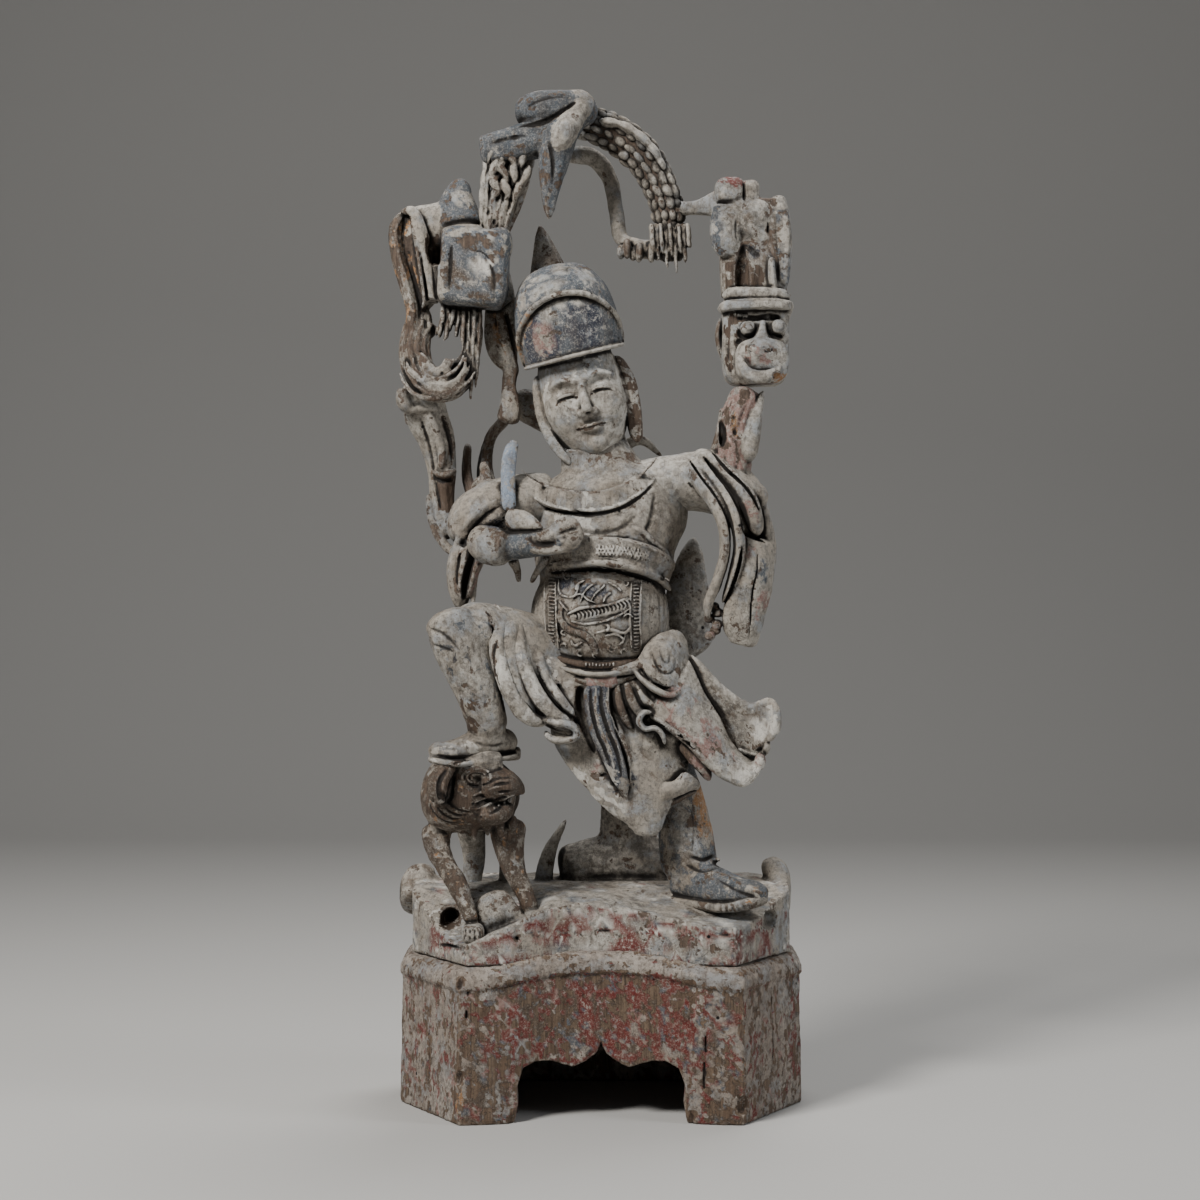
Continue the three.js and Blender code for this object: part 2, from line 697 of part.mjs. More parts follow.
// The beast on the left: locks over its neck, a blunt grey snout, and the rope-like curl below.
function makeLeftBeast() {
  const curl = [
    [-80.4, -8, 353.7],
    [-82, -10, 338.7],
    [-80.5, -13, 325.5],
    [-71.5, -14, 317.4],
    [-61.4, -13, 323.7],
    [-57, -12, 338.1],
    [-56.5, -12, 355],
  ];
  const [curlX, , curlZ] = [-67.1, -14, 338.3];
  const ridge = curl.map(([x, y, z]) => [curlX + (x - curlX) * 0.96, y - 4, curlZ + (z - curlZ) * 0.96]);
  const locks = [0, 1, 2].map((i) =>
    sweep(
      [[-87.3, -6, 397.8], [-89.6, -10, 385.5], [-85, -12, 367.4], [-81.6, -10, 347.2]].map(([x, y, z]) => [
        x + 4.6 * i,
        y - i,
        z,
      ]),
      [3.4, 3.6, 3.2, 2.8],
      [6, 6, 5, 5],
      { sides: 4, steps: 5 },
    ),
  );
  return [
    sweep(curl, [6.6, 8.4, 8.6, 8, 6, 4.4, 4.2], [5, 5.4, 5.6, 5.6, 5, 4.6, 4.4], { steps: 7 }),
    sweep(ridge, [2.4, 3.4, 3.6, 3.4, 2.6, 2, 1.8], 3.4, { sides: 4, steps: 7 }),
    ...locks,
    blob([-75.9, -2, 393], [17, 14, 10.5], { turn: [0, -8, 0], squareness: 3 }),
    sweep(
      [[-62.4, -2, 412.8], [-64.1, -4, 402.1], [-62.1, -8, 388.1]],
      [4.6, 8, 10],
      [8, 11, 12],
      { sides: 6, steps: 3 },
    ),
    blob([-57.4, -12, 371.9], [15.5, 13, 18], { turn: [0, 4, 0], squareness: 3.8 }),
    sweep(
      [[-49.9, -2, 382.2], [-45.5, 0, 360], [-44.1, 0, 337.5], [-39.1, 0, 326.7]],
      [7, 7.4, 7.4, 2.4],
      [6, 5.4, 5.4, 4],
      { sides: 5, steps: 4 },
    ),
    sweep(
      [[-40.1, 2, 332.3], [-41.4, 0, 321.8], [-40.9, -2, 311.2], [-42.2, -2, 304.1]],
      [4, 3.4, 5, 4.6],
      4,
      { sides: 4, steps: 4 },
    ),
  ];
}

// The ridged pole under the curl runs down behind the bent arm, with thin strips beside it.
function makePole() {
  return [
    sweep(
      [
        [-82.6, -9, 326.8],
        [-78.5, -4, 309.3],
        [-73.8, 0, 297],
        [-71.7, 2, 283.6],
        [-71.7, 2, 270.1],
        [-68.9, 0, 254.2],
      ],
      [9, 10, 8.4, 6.4, 5.4, 4.4],
      [8, 8, 7, 6, 5.4, 5],
      { sides: 7, steps: 7 },
    ),
    sweep([[-78.3, 0, 282.6], [-71.7, -5, 281.9], [-65.2, 0, 284.4]], 1.4, 1.8, { sides: 4, steps: 3 }),
    sweep(
      [[-77.4, 0, 272.7], [-75.6, 0, 260.1], [-68.6, -4, 248.3], [-60.4, -6, 244.7]],
      [2.2, 2.4, 2.4, 3],
      2.6,
      { sides: 4, steps: 4 },
    ),
    sweep(
      [[-41.6, 6, 308.7], [-50.6, 14, 297.9], [-52.5, 16, 280.7], [-43.6, 10, 261.3]],
      [3.4, 3.2, 4.4, 6],
      [4, 4, 5, 7],
      { sides: 5, steps: 5 },
    ),
    sweep(
      [[-60.4, 10, 296.3], [-60.8, 10, 280.4], [-53.6, 0, 264.6]],
      [2.2, 2.6, 4],
      [2.4, 3, 6],
      { sides: 4, steps: 3 },
    ),
  ];
}

// The raised leg stands on the beast, booted, with the thigh under the skirt.
function makeRaisedLeg() {
  return [
    sweep(
      [[-18.3, -8, 196], [-40.1, -22, 206.5], [-63, -38, 215.4]],
      [18, 15, 10],
      [18, 16, 11],
      { sides: 8, steps: 4 },
    ),
    sweep(
      [[-68.1, -40, 220.7], [-62.8, -41, 207.7], [-53.8, -40, 186], [-47.4, -36, 164.1]],
      [9.5, 11.6, 10, 8.6],
      [10, 12, 10, 9],
      { sides: 8, steps: 5 },
    ),
    sweep(
      [[-39.1, -26, 162.6], [-49.3, -34, 163.5], [-63.3, -40, 160], [-74.7, -44, 159.8]],
      [8, 9, 8.4, 4],
      [5, 6.5, 4.6, 3.4],
      { facing: UP, sides: 7, steps: 5 },
    ),
    sweep([[-70.8, -45, 206.9], [-62.7, -51, 204.4], [-53, -46, 206.9]], 1.4, 2.4, { sides: 4, steps: 3 }),
    blob([-39.5, -26, 158.2], [4.5, 6, 3.6], { sides: 6, rings: 3, squareness: 3 }),
  ];
}

// The standing boot under the hem, toe out and turned up, on a thick sole.
function makeStandingLeg() {
  return [
    sweep(
      [[17.5, -2, 180.1], [28.2, -4, 153.3], [36.3, -6, 133.3], [38, -6, 118.5], [40.2, -8, 99]],
      [16, 12, 10.8, 12.6, 13],
      [15, 12, 11, 12, 12],
      { sides: 8, steps: 6 },
    ),
    sweep(
      [[33.6, -4, 99.5], [44, -14, 99.3], [58.3, -28, 96.9], [71.7, -38, 97.7]],
      [9, 10, 9.4, 6.8],
      [8, 10, 7.4, 4.6],
      { facing: UP, sides: 8, steps: 5 },
    ),
    sweep(
      [[32.7, -4, 91.4], [46.6, -16, 91.1], [60, -30, 91.1], [70.7, -39, 95.7]],
      [9.8, 10.4, 9.8, 6.8],
      3.2,
      { facing: UP, sides: 6, steps: 5 },
    ),
    sweep([[29.7, -15, 110.5], [40.2, -19, 109.1], [51, -15, 110.5]], 1.4, 3, { sides: 4, steps: 3 }),
  ];
}

// The robe's skirt: pleats over the thigh, the pointed front panel with the sash, and the flying side panel.
function makeSkirt() {
  const thigh = [
    [[-46.8, -30, 223.2], [-35.5, -30, 214.1], [-23.3, -26, 202.2], [-9.2, -28, 196.1], [6.1, -30, 196.1]],
    [[-49.8, -42, 207.7], [-39.5, -40, 197.2], [-27.4, -35, 184.9], [-11.4, -32, 179.1], [4.8, -32, 179.1]],
    [[-40.4, -38, 185.9], [-30.9, -35, 174.5], [-19.7, -32, 165.6], [-8.3, -30, 164.6], [3.9, -32, 164.7]],
  ];
  const front = [
    [[-18, -24, 195.1], [-4.8, -26, 190.7], [8.3, -28, 190.8], [23.7, -26, 194.2], [36.8, -16, 197.5]],
    [[-21.9, -28, 165.8], [-10.1, -29, 160.2], [3.9, -32, 160.3], [21.4, -30, 162.8], [42, -20, 163.1]],
    [[-3.1, -27, 140.7], [4.8, -29, 137.4], [11.8, -31, 135.3], [21.5, -29, 137.4], [39.3, -20, 150.8]],
    [[12.7, -26, 127.5], [15.8, -27, 125.8], [18.9, -28, 124.1], [21.9, -27, 123.2], [25.1, -24, 131.7]],
  ];
  const flying = [
    [[29.8, -14, 200.6], [39.5, -14, 192.1], [52, -14, 181.5], [64.2, -17, 175.4], [76.3, -22, 180]],
    [[26.1, -20, 185.2], [37.6, -20, 175.5], [49.9, -20, 164.9], [63.1, -22, 157.1], [73.4, -26, 163.5]],
    [[21.6, -20, 173.7], [37.6, -20, 163.1], [48.2, -20, 153.4], [60.4, -22, 146.9], [69.9, -26, 152.1]],
  ];
  const pleats = [0, 1, 2].map((i) =>
    sweep(
      [[-52.7, -36, 218], [-44.5, -44, 203.4], [-35.9, -42, 185.2], [-23.1, -36, 170.2]].map(([x, y, z]) => [
        x + 6 * i,
        y + 2 * i,
        z + 2 * i,
      ]),
      [1.6, 2.4, 2.6, 1.8],
      [2, 3, 3, 2],
      { sides: 4, steps: 4 },
    ),
  );
  return [
    drape(thigh, 7, { across: 5, down: 2 }),
    ...pleats,
    sweep(
      [
        [-27.4, -36, 172.8],
        [-19.6, -37, 164.6],
        [-10.9, -36, 164.5],
        [-8.3, -34, 170.5],
        [-13.5, -34, 172.7],
      ],
      [2.4, 3, 3, 2.4, 1.6],
      3,
      { sides: 5, steps: 6 },
    ),
    drape(front, 8, { across: 5, down: 4 }),
    sweep(
      [[-1.3, -32, 189.2], [-1.3, -36, 171], [3.9, -37, 153.7], [10.9, -33, 139]],
      [7, 8, 7.5, 4],
      [3, 3.6, 3.6, 3],
      { sides: 5, steps: 5 },
    ),
    sweep(
      [[-1.7, -38, 181.6], [0.9, -41, 166.5], [9.1, -40, 146.9]],
      [1, 1.5, 1],
      2,
      { sides: 4, steps: 3 },
    ),
    drape(flying, 5, { across: 5, down: 2 }),
    sweep(
      [[30.5, -18, 202.9], [43.8, -18, 187.8], [57.1, -18, 178.1], [68.4, -22, 176], [77, -25, 180.1]],
      [2.4, 2.6, 2.6, 2.6, 1.8],
      3.2,
      { sides: 5, steps: 6 },
    ),
    sweep(
      [[19.8, -24, 173.1], [39.2, -22, 160.6], [51.6, -22, 147.4], [64.6, -25, 145.4], [70.7, -27, 152.1]],
      [2, 2.4, 2.6, 2.6, 2],
      3.2,
      { sides: 5, steps: 6 },
    ),
    sweep(
      [[23.7, -26, 137.1], [27.7, -27, 144.2], [32.1, -25, 140.6], [35.7, -24, 149.3], [41.1, -20, 150.8]],
      [2.4, 3.2, 3, 3.2, 2.4],
      4,
      { sides: 5, steps: 6 },
    ),
    sweep(
      [[14.4, -32, 172.6], [20.5, -34, 164.4], [27.6, -31, 169], [34.7, -26, 160.9]],
      [2, 2.8, 2.6, 1.8],
      3.2,
      { sides: 5, steps: 5 },
    ),
    sweep(
      [[14.4, -30, 195.2], [24.1, -30, 199.6], [33.9, -24, 195.1], [32.1, -24, 186.3], [22.4, -28, 189]],
      [3, 4.6, 4.6, 3.6, 2],
      3.6,
      { sides: 5, steps: 6 },
    ),
  ];
}

// The beast underfoot: a heavy head with a lop ear and wide mouth, on four thin legs.
function makeBeast() {
  const foreLegs = [
    [[-68.1, -26, 130.5], [-67, -36, 109.2], [-61.3, -38, 96.8], [-56.3, -41, 82]],
    [[-45.4, -22, 130.2], [-38.2, -26, 113], [-34.6, -28, 102.2], [-29.3, -31, 86.8]],
  ];
  const hindLegs = [
    [[-59.4, 8, 125.3], [-57.9, 14, 106.5], [-60.6, 14, 88.3]],
    [[-44, 10, 125.1], [-41.5, 16, 106.3], [-43.4, 16, 88]],
  ];
  return [
    blob([-58.5, -24, 138.7], [21, 19, 17.6], { turn: [0, 8, 0], sides: 9, rings: 6, squareness: 2.4 }),
    sweep(
      [[-56.3, -16, 138.5], [-52.6, 0, 136.8], [-51.7, 18, 130.8]],
      [17, 16, 13],
      [15, 14, 13],
      { facing: UP, sides: 7, steps: 3 },
    ),
    sweep(
      [[-57.8, -38, 150.3], [-45.5, -40, 146.9], [-35.3, -34, 142.1]],
      [5, 5.6, 4.4],
      [6, 6, 6],
      { sides: 5, steps: 3 },
    ),
    sweep(
      [[-55.2, -38, 131.2], [-43.8, -40, 133.9], [-37.5, -34, 137.3]],
      [4.4, 4.4, 3],
      6,
      { sides: 5, steps: 3 },
    ),
    sweep(
      [[-62.1, -38, 153.7], [-67, -43, 149.3], [-70.5, -43, 142], [-68, -41, 135.8]],
      [3, 4.6, 4.6, 2.4],
      3.6,
      { sides: 5, steps: 4 },
    ),
    ...foreLegs.map((points) => sweep(points, [7, 4.8, 3.8, 3.4], [8, 5, 4, 3.6], { steps: 4 })),
    ...hindLegs.map((points) => sweep(points, [7, 5, 4.4], [8, 5.4, 4.4], { sides: 5, steps: 3 })),
    ...[[-55.4, -42, 80.4], [-28.8, -32, 85.6]].map((centre) => blob(
      centre,
      [4.8, 5.6, 4.2],
      { sides: 6, rings: 3, squareness: 2.6 },
    )),
  ];
}

function makeFigure() {
  return joined([
    ...makeGround(),
    ...makeBack(),
    ...makeTorso(),
    ...makeBelt(),
    ...makeBelly(),
    ...makeHead(),
    ...makeBentArm(),
    ...makeRaisedArm(),
    ...makeRaisedBeast(),
    ...makeArch(),
    ...makeCrest(),
    ...makeMane(),
    ...makeLeftBeast(),
    ...makePole(),
    ...makeRaisedLeg(),
    ...makeStandingLeg(),
    ...makeSkirt(),
    ...makeBeast(),
  ]);
}

function meshOf(name, solid, color, roughness) {
  const { vertProperties, triVerts } = solid.getMesh();
  const geometry = new THREE.BufferGeometry();
  geometry.setAttribute("position", new THREE.BufferAttribute(vertProperties, 3));
  geometry.setIndex(new THREE.BufferAttribute(triVerts, 1));
  geometry.translate(CENTRING_X, 0, 0);
  const mesh = new THREE.Mesh(geometry, new THREE.MeshStandardMaterial({ color, roughness, metalness: 0 }));
  mesh.name = name;
  return mesh;
}

const group = new THREE.Group();
group.add(meshOf("plinth", makePlinth(), 0x6a3a36, 0.75));
group.add(meshOf("figure", makeFigure(), 0x9c9488, 0.8));

export default group;
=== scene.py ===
import math

import bpy
import mathutils
import numpy as np
import openvdb as vdb
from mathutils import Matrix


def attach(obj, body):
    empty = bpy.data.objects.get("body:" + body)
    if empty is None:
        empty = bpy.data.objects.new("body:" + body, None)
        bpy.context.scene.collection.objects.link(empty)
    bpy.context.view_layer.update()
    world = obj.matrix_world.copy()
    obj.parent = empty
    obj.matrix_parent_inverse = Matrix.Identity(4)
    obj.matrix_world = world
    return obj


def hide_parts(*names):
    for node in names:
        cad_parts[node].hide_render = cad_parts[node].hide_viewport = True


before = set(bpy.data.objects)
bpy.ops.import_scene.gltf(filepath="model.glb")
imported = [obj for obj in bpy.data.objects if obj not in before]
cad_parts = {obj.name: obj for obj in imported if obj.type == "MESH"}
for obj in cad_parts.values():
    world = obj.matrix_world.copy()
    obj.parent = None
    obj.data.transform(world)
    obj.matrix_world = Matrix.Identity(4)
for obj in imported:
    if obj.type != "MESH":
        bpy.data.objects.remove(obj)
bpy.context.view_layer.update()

METRES = 0.001
CENTRING_X = 1.35
FRONT = np.array((0.0, -1.0, 0.0))
UP = np.array((0.0, 0.0, 1.0))
# Spacing of the field of distances, and how far from a surface it is known, in cells.
CELL = 0.7
BAND = 5


def unit(vectors):
    """Vectors at a length of one."""
    return vectors / np.maximum(np.linalg.norm(vectors, axis=-1, keepdims=True), 1e-9)


def spline(points, places):
    """A centripetal curve through points, or through rows of points, at places from 0 to 1."""
    points = np.asarray(points, float)
    ends = np.concatenate([[2 * points[0] - points[1]], points, [2 * points[-1] - points[-2]]])
    gaps = np.sqrt(np.maximum(np.linalg.norm(np.diff(ends, axis=0), axis=-1, keepdims=True), 1e-4))
    scaled = np.clip(places, 0, 1) * (len(points) - 1)
    first = np.minimum(scaled.astype(int), len(points) - 2)
    part = (scaled - first).reshape(-1, *[1] * (points.ndim - 1))
    before, start, end, after = (ends[first + k] for k in range(4))
    d0, d1, d2 = (gaps[first + k] for k in range(3))
    leave = ((start - before) / d0 - (end - before) / (d0 + d1) + (end - start) / d1) * d1
    arrive = ((end - start) / d1 - (after - start) / (d1 + d2) + (after - end) / d2) * d1
    square = (3 * (end - start) - 2 * leave - arrive) * part**2
    cube = (2 * (start - end) + leave + arrive) * part**3
    return start + leave * part + square + cube


def profile(values, places):
    """A smooth run through evenly spread values, or one value all along."""
    if np.isscalar(values):
        return np.full(len(places), float(values))
    values = np.asarray(values, float)
    slopes = np.gradient(values)
    scaled = np.clip(places, 0, 1) * (len(values) - 1)
    first = np.minimum(scaled.astype(int), len(values) - 2)
    t = scaled - first
    a, b, da, db = values[first], values[first + 1], slopes[first], slopes[first + 1]
    run = a + da * t + (3 * (b - a) - 2 * da - db) * t**2 + (2 * (a - b) + da + db) * t**3
    return np.maximum(run, 0.3)


def sweep(points, widths, depths, facing=FRONT, blunt=0.12, relief=None, square=2.0, fine=0.8):
    """A round-ended closed body along a curve; relief lifts its surface by place along it and turn
    round it.
    """
    line = spline(points, np.linspace(0, 1, 80))
    length = np.linalg.norm(np.diff(line, axis=0), axis=1).sum()
    rings = int(max(14, length / fine))
    sides = int(max(14, 2 * math.pi * max(np.max(widths), np.max(depths)) / fine))
    ring = np.linspace(0, 1, rings + 1)
    along = ring - 0.5 * np.sin(2 * math.pi * ring) / (2 * math.pi)
    centre = spline(points, along)
    tangent = unit(spline(points, along + 0.002) - spline(points, along - 0.002))
    across = unit(np.cross(facing, tangent))
    out = unit(np.cross(tangent, across))
    to_end = np.minimum(np.minimum(along, 1 - along) / blunt, 1)
    swell = np.sqrt(np.clip(1 - (1 - to_end) ** 2, 0, 1))
    turn = np.linspace(0, 2 * math.pi, sides, endpoint=False)
    cos, sin = np.cos(turn), np.sin(turn)
    reach = (np.abs(cos) ** square + np.abs(sin) ** square) ** (-1 / square)
    wide, deep = profile(widths, along) * swell, profile(depths, along) * swell
    x = wide[:, None] * (cos * reach)[None, :]
    y = deep[:, None] * (sin * reach)[None, :]
    if relief is not None:
        lift = relief((along * length)[:, None], turn[None, :]) * swell[:, None]
        steer = np.stack([cos[None, :] / np.maximum(wide, 0.5)[:, None],
                          sin[None, :] / np.maximum(deep, 0.5)[:, None]])
        steer /= np.maximum(np.linalg.norm(steer, axis=0), 1e-9)
        x, y = x + lift * steer[0], y + lift * steer[1]
    body = centre[:, None, :] + across[:, None, :] * x[..., None] + out[:, None, :] * y[..., None]
    return capped(body)


def capped(body):
    """A closed form from rings of points: its first and last rings shrink to a point."""
    rings, sides = body.shape[:2]
    inner = body[1:-1].reshape(-1, 3)
    tips = np.stack([body[0].mean(axis=0), body[-1].mean(axis=0)])
    i, j = np.meshgrid(np.arange(rings - 3), np.arange(sides), indexing="ij")
    k = (j + 1) % sides
    quads = np.stack([i * sides + j, i * sides + k, (i + 1) * sides + k, (i + 1) * sides + j], axis=-1)
    j = np.arange(sides)
    k = (j + 1) % sides
    low, high, last = len(inner), len(inner) + 1, (rings - 3) * sides
    tris = np.concatenate([
        np.stack([np.full(sides, low), k, j], axis=-1),
        np.stack([np.full(sides, high), last + j, last + k], axis=-1),
    ])
    return np.concatenate([inner, tips]), tris, quads.reshape(-1, 4)


def turned(points, degrees):
    """Points turned about X, then Y, then Z as the solids' source does."""
    a, b, c = np.radians(degrees)
    about_x = np.array([[1, 0, 0], [0, math.cos(a), -math.sin(a)], [0, math.sin(a), math.cos(a)]])
    about_y = np.array([[math.cos(b), 0, math.sin(b)], [0, 1, 0], [-math.sin(b), 0, math.cos(b)]])
    about_z = np.array([[math.cos(c), -math.sin(c), 0], [math.sin(c), math.cos(c), 0], [0, 0, 1]])
    return points @ (about_x @ about_y @ about_z).T


def ball(centre, radii, turn=(0, 0, 0), square=2.0, relief=None, fine=0.8):
    """An ellipsoid, or with a higher squareness a block with rounded edges."""
    rings = int(max(12, math.pi * max(radii) / fine))
    polar = np.linspace(0, math.pi, rings + 1)[:, None]
    round_z = np.linspace(0, 2 * math.pi, 2 * rings, endpoint=False)[None, :]
    way = np.stack(np.broadcast_arrays(np.sin(polar) * np.cos(round_z), np.sin(polar) * np.sin(round_z),
                                       np.cos(polar)), axis=-1)
    way = way * (np.abs(way) ** square).sum(axis=-1, keepdims=True) ** (-1 / square)
    if relief is not None:
        way = way * (1 + relief(polar, round_z) / np.mean(radii))[..., None]
    body = turned(way * np.asarray(radii, float), turn) + np.asarray(centre, float)
    return capped(body)


def drape(rows, thickness, relief=None, fine=0.9):
    """A sheet of carved cloth through rows of points, from its top edge to its hem, with rounded rims."""
    rows = [np.asarray(row, float) for row in rows]
    edge = max(np.linalg.norm(np.diff(row, axis=0), axis=1).sum() for row in rows)
    fall = np.linalg.norm(np.diff([row[len(row) // 2] for row in rows], axis=0), axis=1).sum()
    u = np.linspace(0, 1, int(edge / fine) + 2)
    v = np.linspace(0, 1, int(fall / fine) + 2)
    grid = spline(np.stack([spline(row, u) for row in rows]), v)
    normal = unit(np.cross(np.gradient(grid, axis=1), np.gradient(grid, axis=0)))
    normal *= np.where(normal[..., 1:2] > 0, -1, 1)
    rim = np.minimum(np.minimum(u, 1 - u)[None, :] * edge, np.minimum(v, 1 - v)[:, None] * fall)
    roll = np.clip(rim / (thickness / 2), 0.02, 1)
    half = thickness / 2 * np.sqrt(1 - (1 - roll) ** 2)
    lift = 0 if relief is None else relief(u[None, :], v[:, None]) * np.clip(rim / 3, 0.35, 1)
    front = grid + normal * (half + lift)[..., None]
    back = grid - normal * (half - lift * 0.6)[..., None]
    down, over = grid.shape[:2]
    points = np.concatenate([front.reshape(-1, 3), back.reshape(-1, 3)])
    i, j = np.meshgrid(np.arange(down - 1), np.arange(over - 1), indexing="ij")
    corners = [i * over + j, i * over + j + 1, (i + 1) * over + j + 1, (i + 1) * over + j]
    one = np.stack(corners, -1).reshape(-1, 4)
    rim_path = np.concatenate([
        np.arange(over),
        np.arange(1, down) * over + over - 1,
        (down - 1) * over + np.arange(over - 2, -1, -1),
        np.arange(down - 2, 0, -1) * over,
    ])
    after = np.roll(rim_path, -1)
    shift = down * over
    wall = np.stack([rim_path, rim_path + shift, after + shift, after], axis=-1)
    quads = np.concatenate([one, one[:, ::-1] + shift, wall])
    return points, np.zeros((0, 3), int), quads


# Patterns cut into a body along its length or round it.
def strands(count, depth, wave=0.0, pitch=30.0, lean=0.0):
    """Lengthwise strands of hair or folds of cloth with a groove between each two."""
    def relief(along, turn):
        phase = count * (turn + wave * np.sin(2 * math.pi * along / pitch) + lean * along) / 2
        return -depth * (1 - np.abs(np.sin(phase))) ** 1.6
    return relief


def rings_round(pitch, depth, lean=0.0):
    """Ridges round the body, as on bamboo, rope or a scaly lock; lean makes them run in a spiral."""
    def relief(along, turn):
        return -depth * (1 - np.abs(np.sin(math.pi * along / pitch + lean * turn))) ** 1.6
    return relief


def both(first, second):
    """Two patterns one over the other."""
    return lambda a, b: first(a, b) + second(a, b)


def random_table(seed):
    """The random values that one noise is made of."""
    return np.random.default_rng(seed).random((32, 32, 32)).astype(np.float32)


def noise(points, size, seed=1):
    """Smooth values from 0 to 1 at points, with lumps of about one size."""
    table = random_table(seed)
    place = points / size
    whole = np.floor(place).astype(int)
    part = place - whole
    part = part * part * (3 - 2 * part)
    total = 0
    for corner in range(8):
        step = np.array([corner >> 2 & 1, corner >> 1 & 1, corner & 1])
        weight = np.prod(np.where(step, part, 1 - part), axis=-1)
        x, y, z = ((whole + step) % 32).T
        total = total + weight * table[x, y, z]
    return total


def sample(field, places):
    """The field between its cells, at places counted in cells."""
    places = np.clip(places, 0, np.array(field.shape) - 1.001)
    whole = places.astype(int)
    part = (places - whole).astype(np.float32)
    total = 0
    for corner in range(8):
        step = np.array([corner >> 2 & 1, corner >> 1 & 1, corner & 1])
        weight = np.prod(np.where(step, part, 1 - part), axis=-1)
        x, y, z = (whole + step).T
        total = total + weight * field[x, y, z]
    return total


class Carving:
    """One piece of wood as a field of distances, built up and cut with forms, each with the paint left
    on it.
    """

    def __init__(self, low, high, cell=CELL, reach=3.0, near=1.4, band=BAND):
        self.cell, self.reach, self.near, self.band = cell, reach, near, band
        self.low = np.floor(np.asarray(low, float) / cell).astype(int) - 2
        size = np.ceil(np.asarray(high, float) / cell).astype(int) + 3 - self.low
        self.far = band * cell
        self.field = np.full(size, self.far, np.float32)
        self.paint = np.zeros(size, np.uint8)

    def measure(self, form):
        """The part of the field that a form comes near, and the distances to the form there."""
        points, tris, quads = form
        places = (points / self.cell - self.low).astype(np.float32)
        start = np.maximum(np.floor(places.min(axis=0)).astype(int) - self.band - 1, 0)
        stop = np.minimum(np.ceil(places.max(axis=0)).astype(int) + self.band + 2, self.field.shape)
        if np.any(stop <= start):
            return None, None
        level = vdb.FloatGrid.createLevelSetFromPolygons(
            places, triangles=tris.astype(np.uint32), quads=quads.astype(np.uint32), halfWidth=self.band
        )
        window = tuple(slice(a, b) for a, b in zip(start, stop))
        near = np.zeros(stop - start, np.float32)
        level.copyToArray(near, ijk=tuple(int(a) for a in start))
        return window, near * self.cell

    def add(self, form, paint=None, blend=1.0):
        """Joins a form to the wood, with a fillet where they meet."""
        window, near = self.measure(form)
        if window is None:
            return
        old = self.field[window]
        if paint is not None:
            self.paint[window][near < old] = paint
        blend = min(blend, self.far)
        mix = np.maximum(blend - np.abs(old - near), 0) / max(blend, 1e-6)
        self.field[window] = np.minimum(old, near) - mix * mix * blend / 4

    def grow(self, path, widths, depths, paint=None, blend=1.0, **shape):
        """Joins a body along a curve."""
        self.add(sweep(path, widths, depths, **shape), paint, blend)

    def cut(self, form, paint=None, blend=0.5):
        """Cuts a form out of the wood, and paints the hollow it leaves."""
        window, near = self.measure(form)
        if window is None:
            return
        old, away = self.field[window], -near
        if paint is not None:
            self.paint[window][(away > old - self.cell) & (near < self.cell)] = paint
        blend = min(blend, self.far)
        mix = np.maximum(blend - np.abs(old - away), 0) / max(blend, 1e-6)
        self.field[window] = np.maximum(old, away) + mix * mix * blend / 4

    def coat(self, form, paint):
        """Changes the paint inside a form, without changing the shape."""
        window, near = self.measure(form)
        if window is not None:
            self.paint[window][near < 0] = paint

    def mottle(self, form, paint, size, share, seed):
        """Leaves a paint in blots of about one size inside a form, over a share of it."""
        window, near = self.measure(form)
        if window is None:
            return
        cells = np.argwhere(near < 0)
        places = (cells + [part.start for part in window] + self.low) * self.cell
        blots = 0
        for k, (part, weight) in enumerate(((1, 0.5), (0.4, 0.3), (0.17, 0.2))):
            blots = blots + noise(places, size * part, seed + k) * weight
        chosen = cells[blots > np.quantile(blots, 1 - share)]
        self.paint[window][tuple(chosen.T)] = paint

    def front(self, points):
        """Points brought along Y to the foremost surface behind them."""
        points = np.array(points, float)
        places = np.rint(points / self.cell - self.low).astype(int)
        places = np.clip(places, 0, np.array(self.field.shape) - 1)
        column = self.field[places[:, 0], :, places[:, 2]] < 0
        first = np.argmax(column, axis=1)
        found = (first + self.low[1]) * self.cell - self.cell / 2
        points[:, 1] = np.where(column.any(axis=1), found, points[:, 1])
        return points

    def along(self, points, steps=28):
        """A path laid on the foremost surface, evened out."""
        path = self.front(spline(points, np.linspace(0, 1, steps)))
        padded = np.concatenate([path[:1, 1], path[:1, 1], path[:, 1], path[-1:, 1], path[-1:, 1]])
        path[:, 1] = np.convolve(padded, np.ones(5) / 5, "valid")
        return path[::3] if len(points) > 2 or steps > 12 else path

    def score(self, points, width=1.6, depth=1.2, paint=None, blend=0.5):
        """Cuts a groove along a path on the front."""
        path = self.along(points)
        path[:, 1] += depth - width / 2
        reach = [0.25 * width, 0.5 * width, 0.5 * width, 0.5 * width, 0.2 * width]
        self.cut(sweep(path, reach, reach, fine=0.6), paint, blend)

    def ridge(self, points, width=2.4, height=1.4, paint=None, blend=1.0, relief=None):
        """Raises a ridge along a path on the front."""
        path = self.along(points)
        path[:, 1] += width / 2 - height
        reach = [0.3 * width, 0.5 * width, 0.5 * width, 0.5 * width, 0.3 * width]
        self.add(sweep(path, reach, reach, relief=relief, fine=0.6), paint, blend)

    def places(self):
        """Places of the cells in millimetres, as three full arrays."""
        axes = [((np.arange(n) + low) * self.cell).astype(np.float32)
                for n, low in zip(self.field.shape, self.low)]
        return np.meshgrid(*axes, indexing="ij")

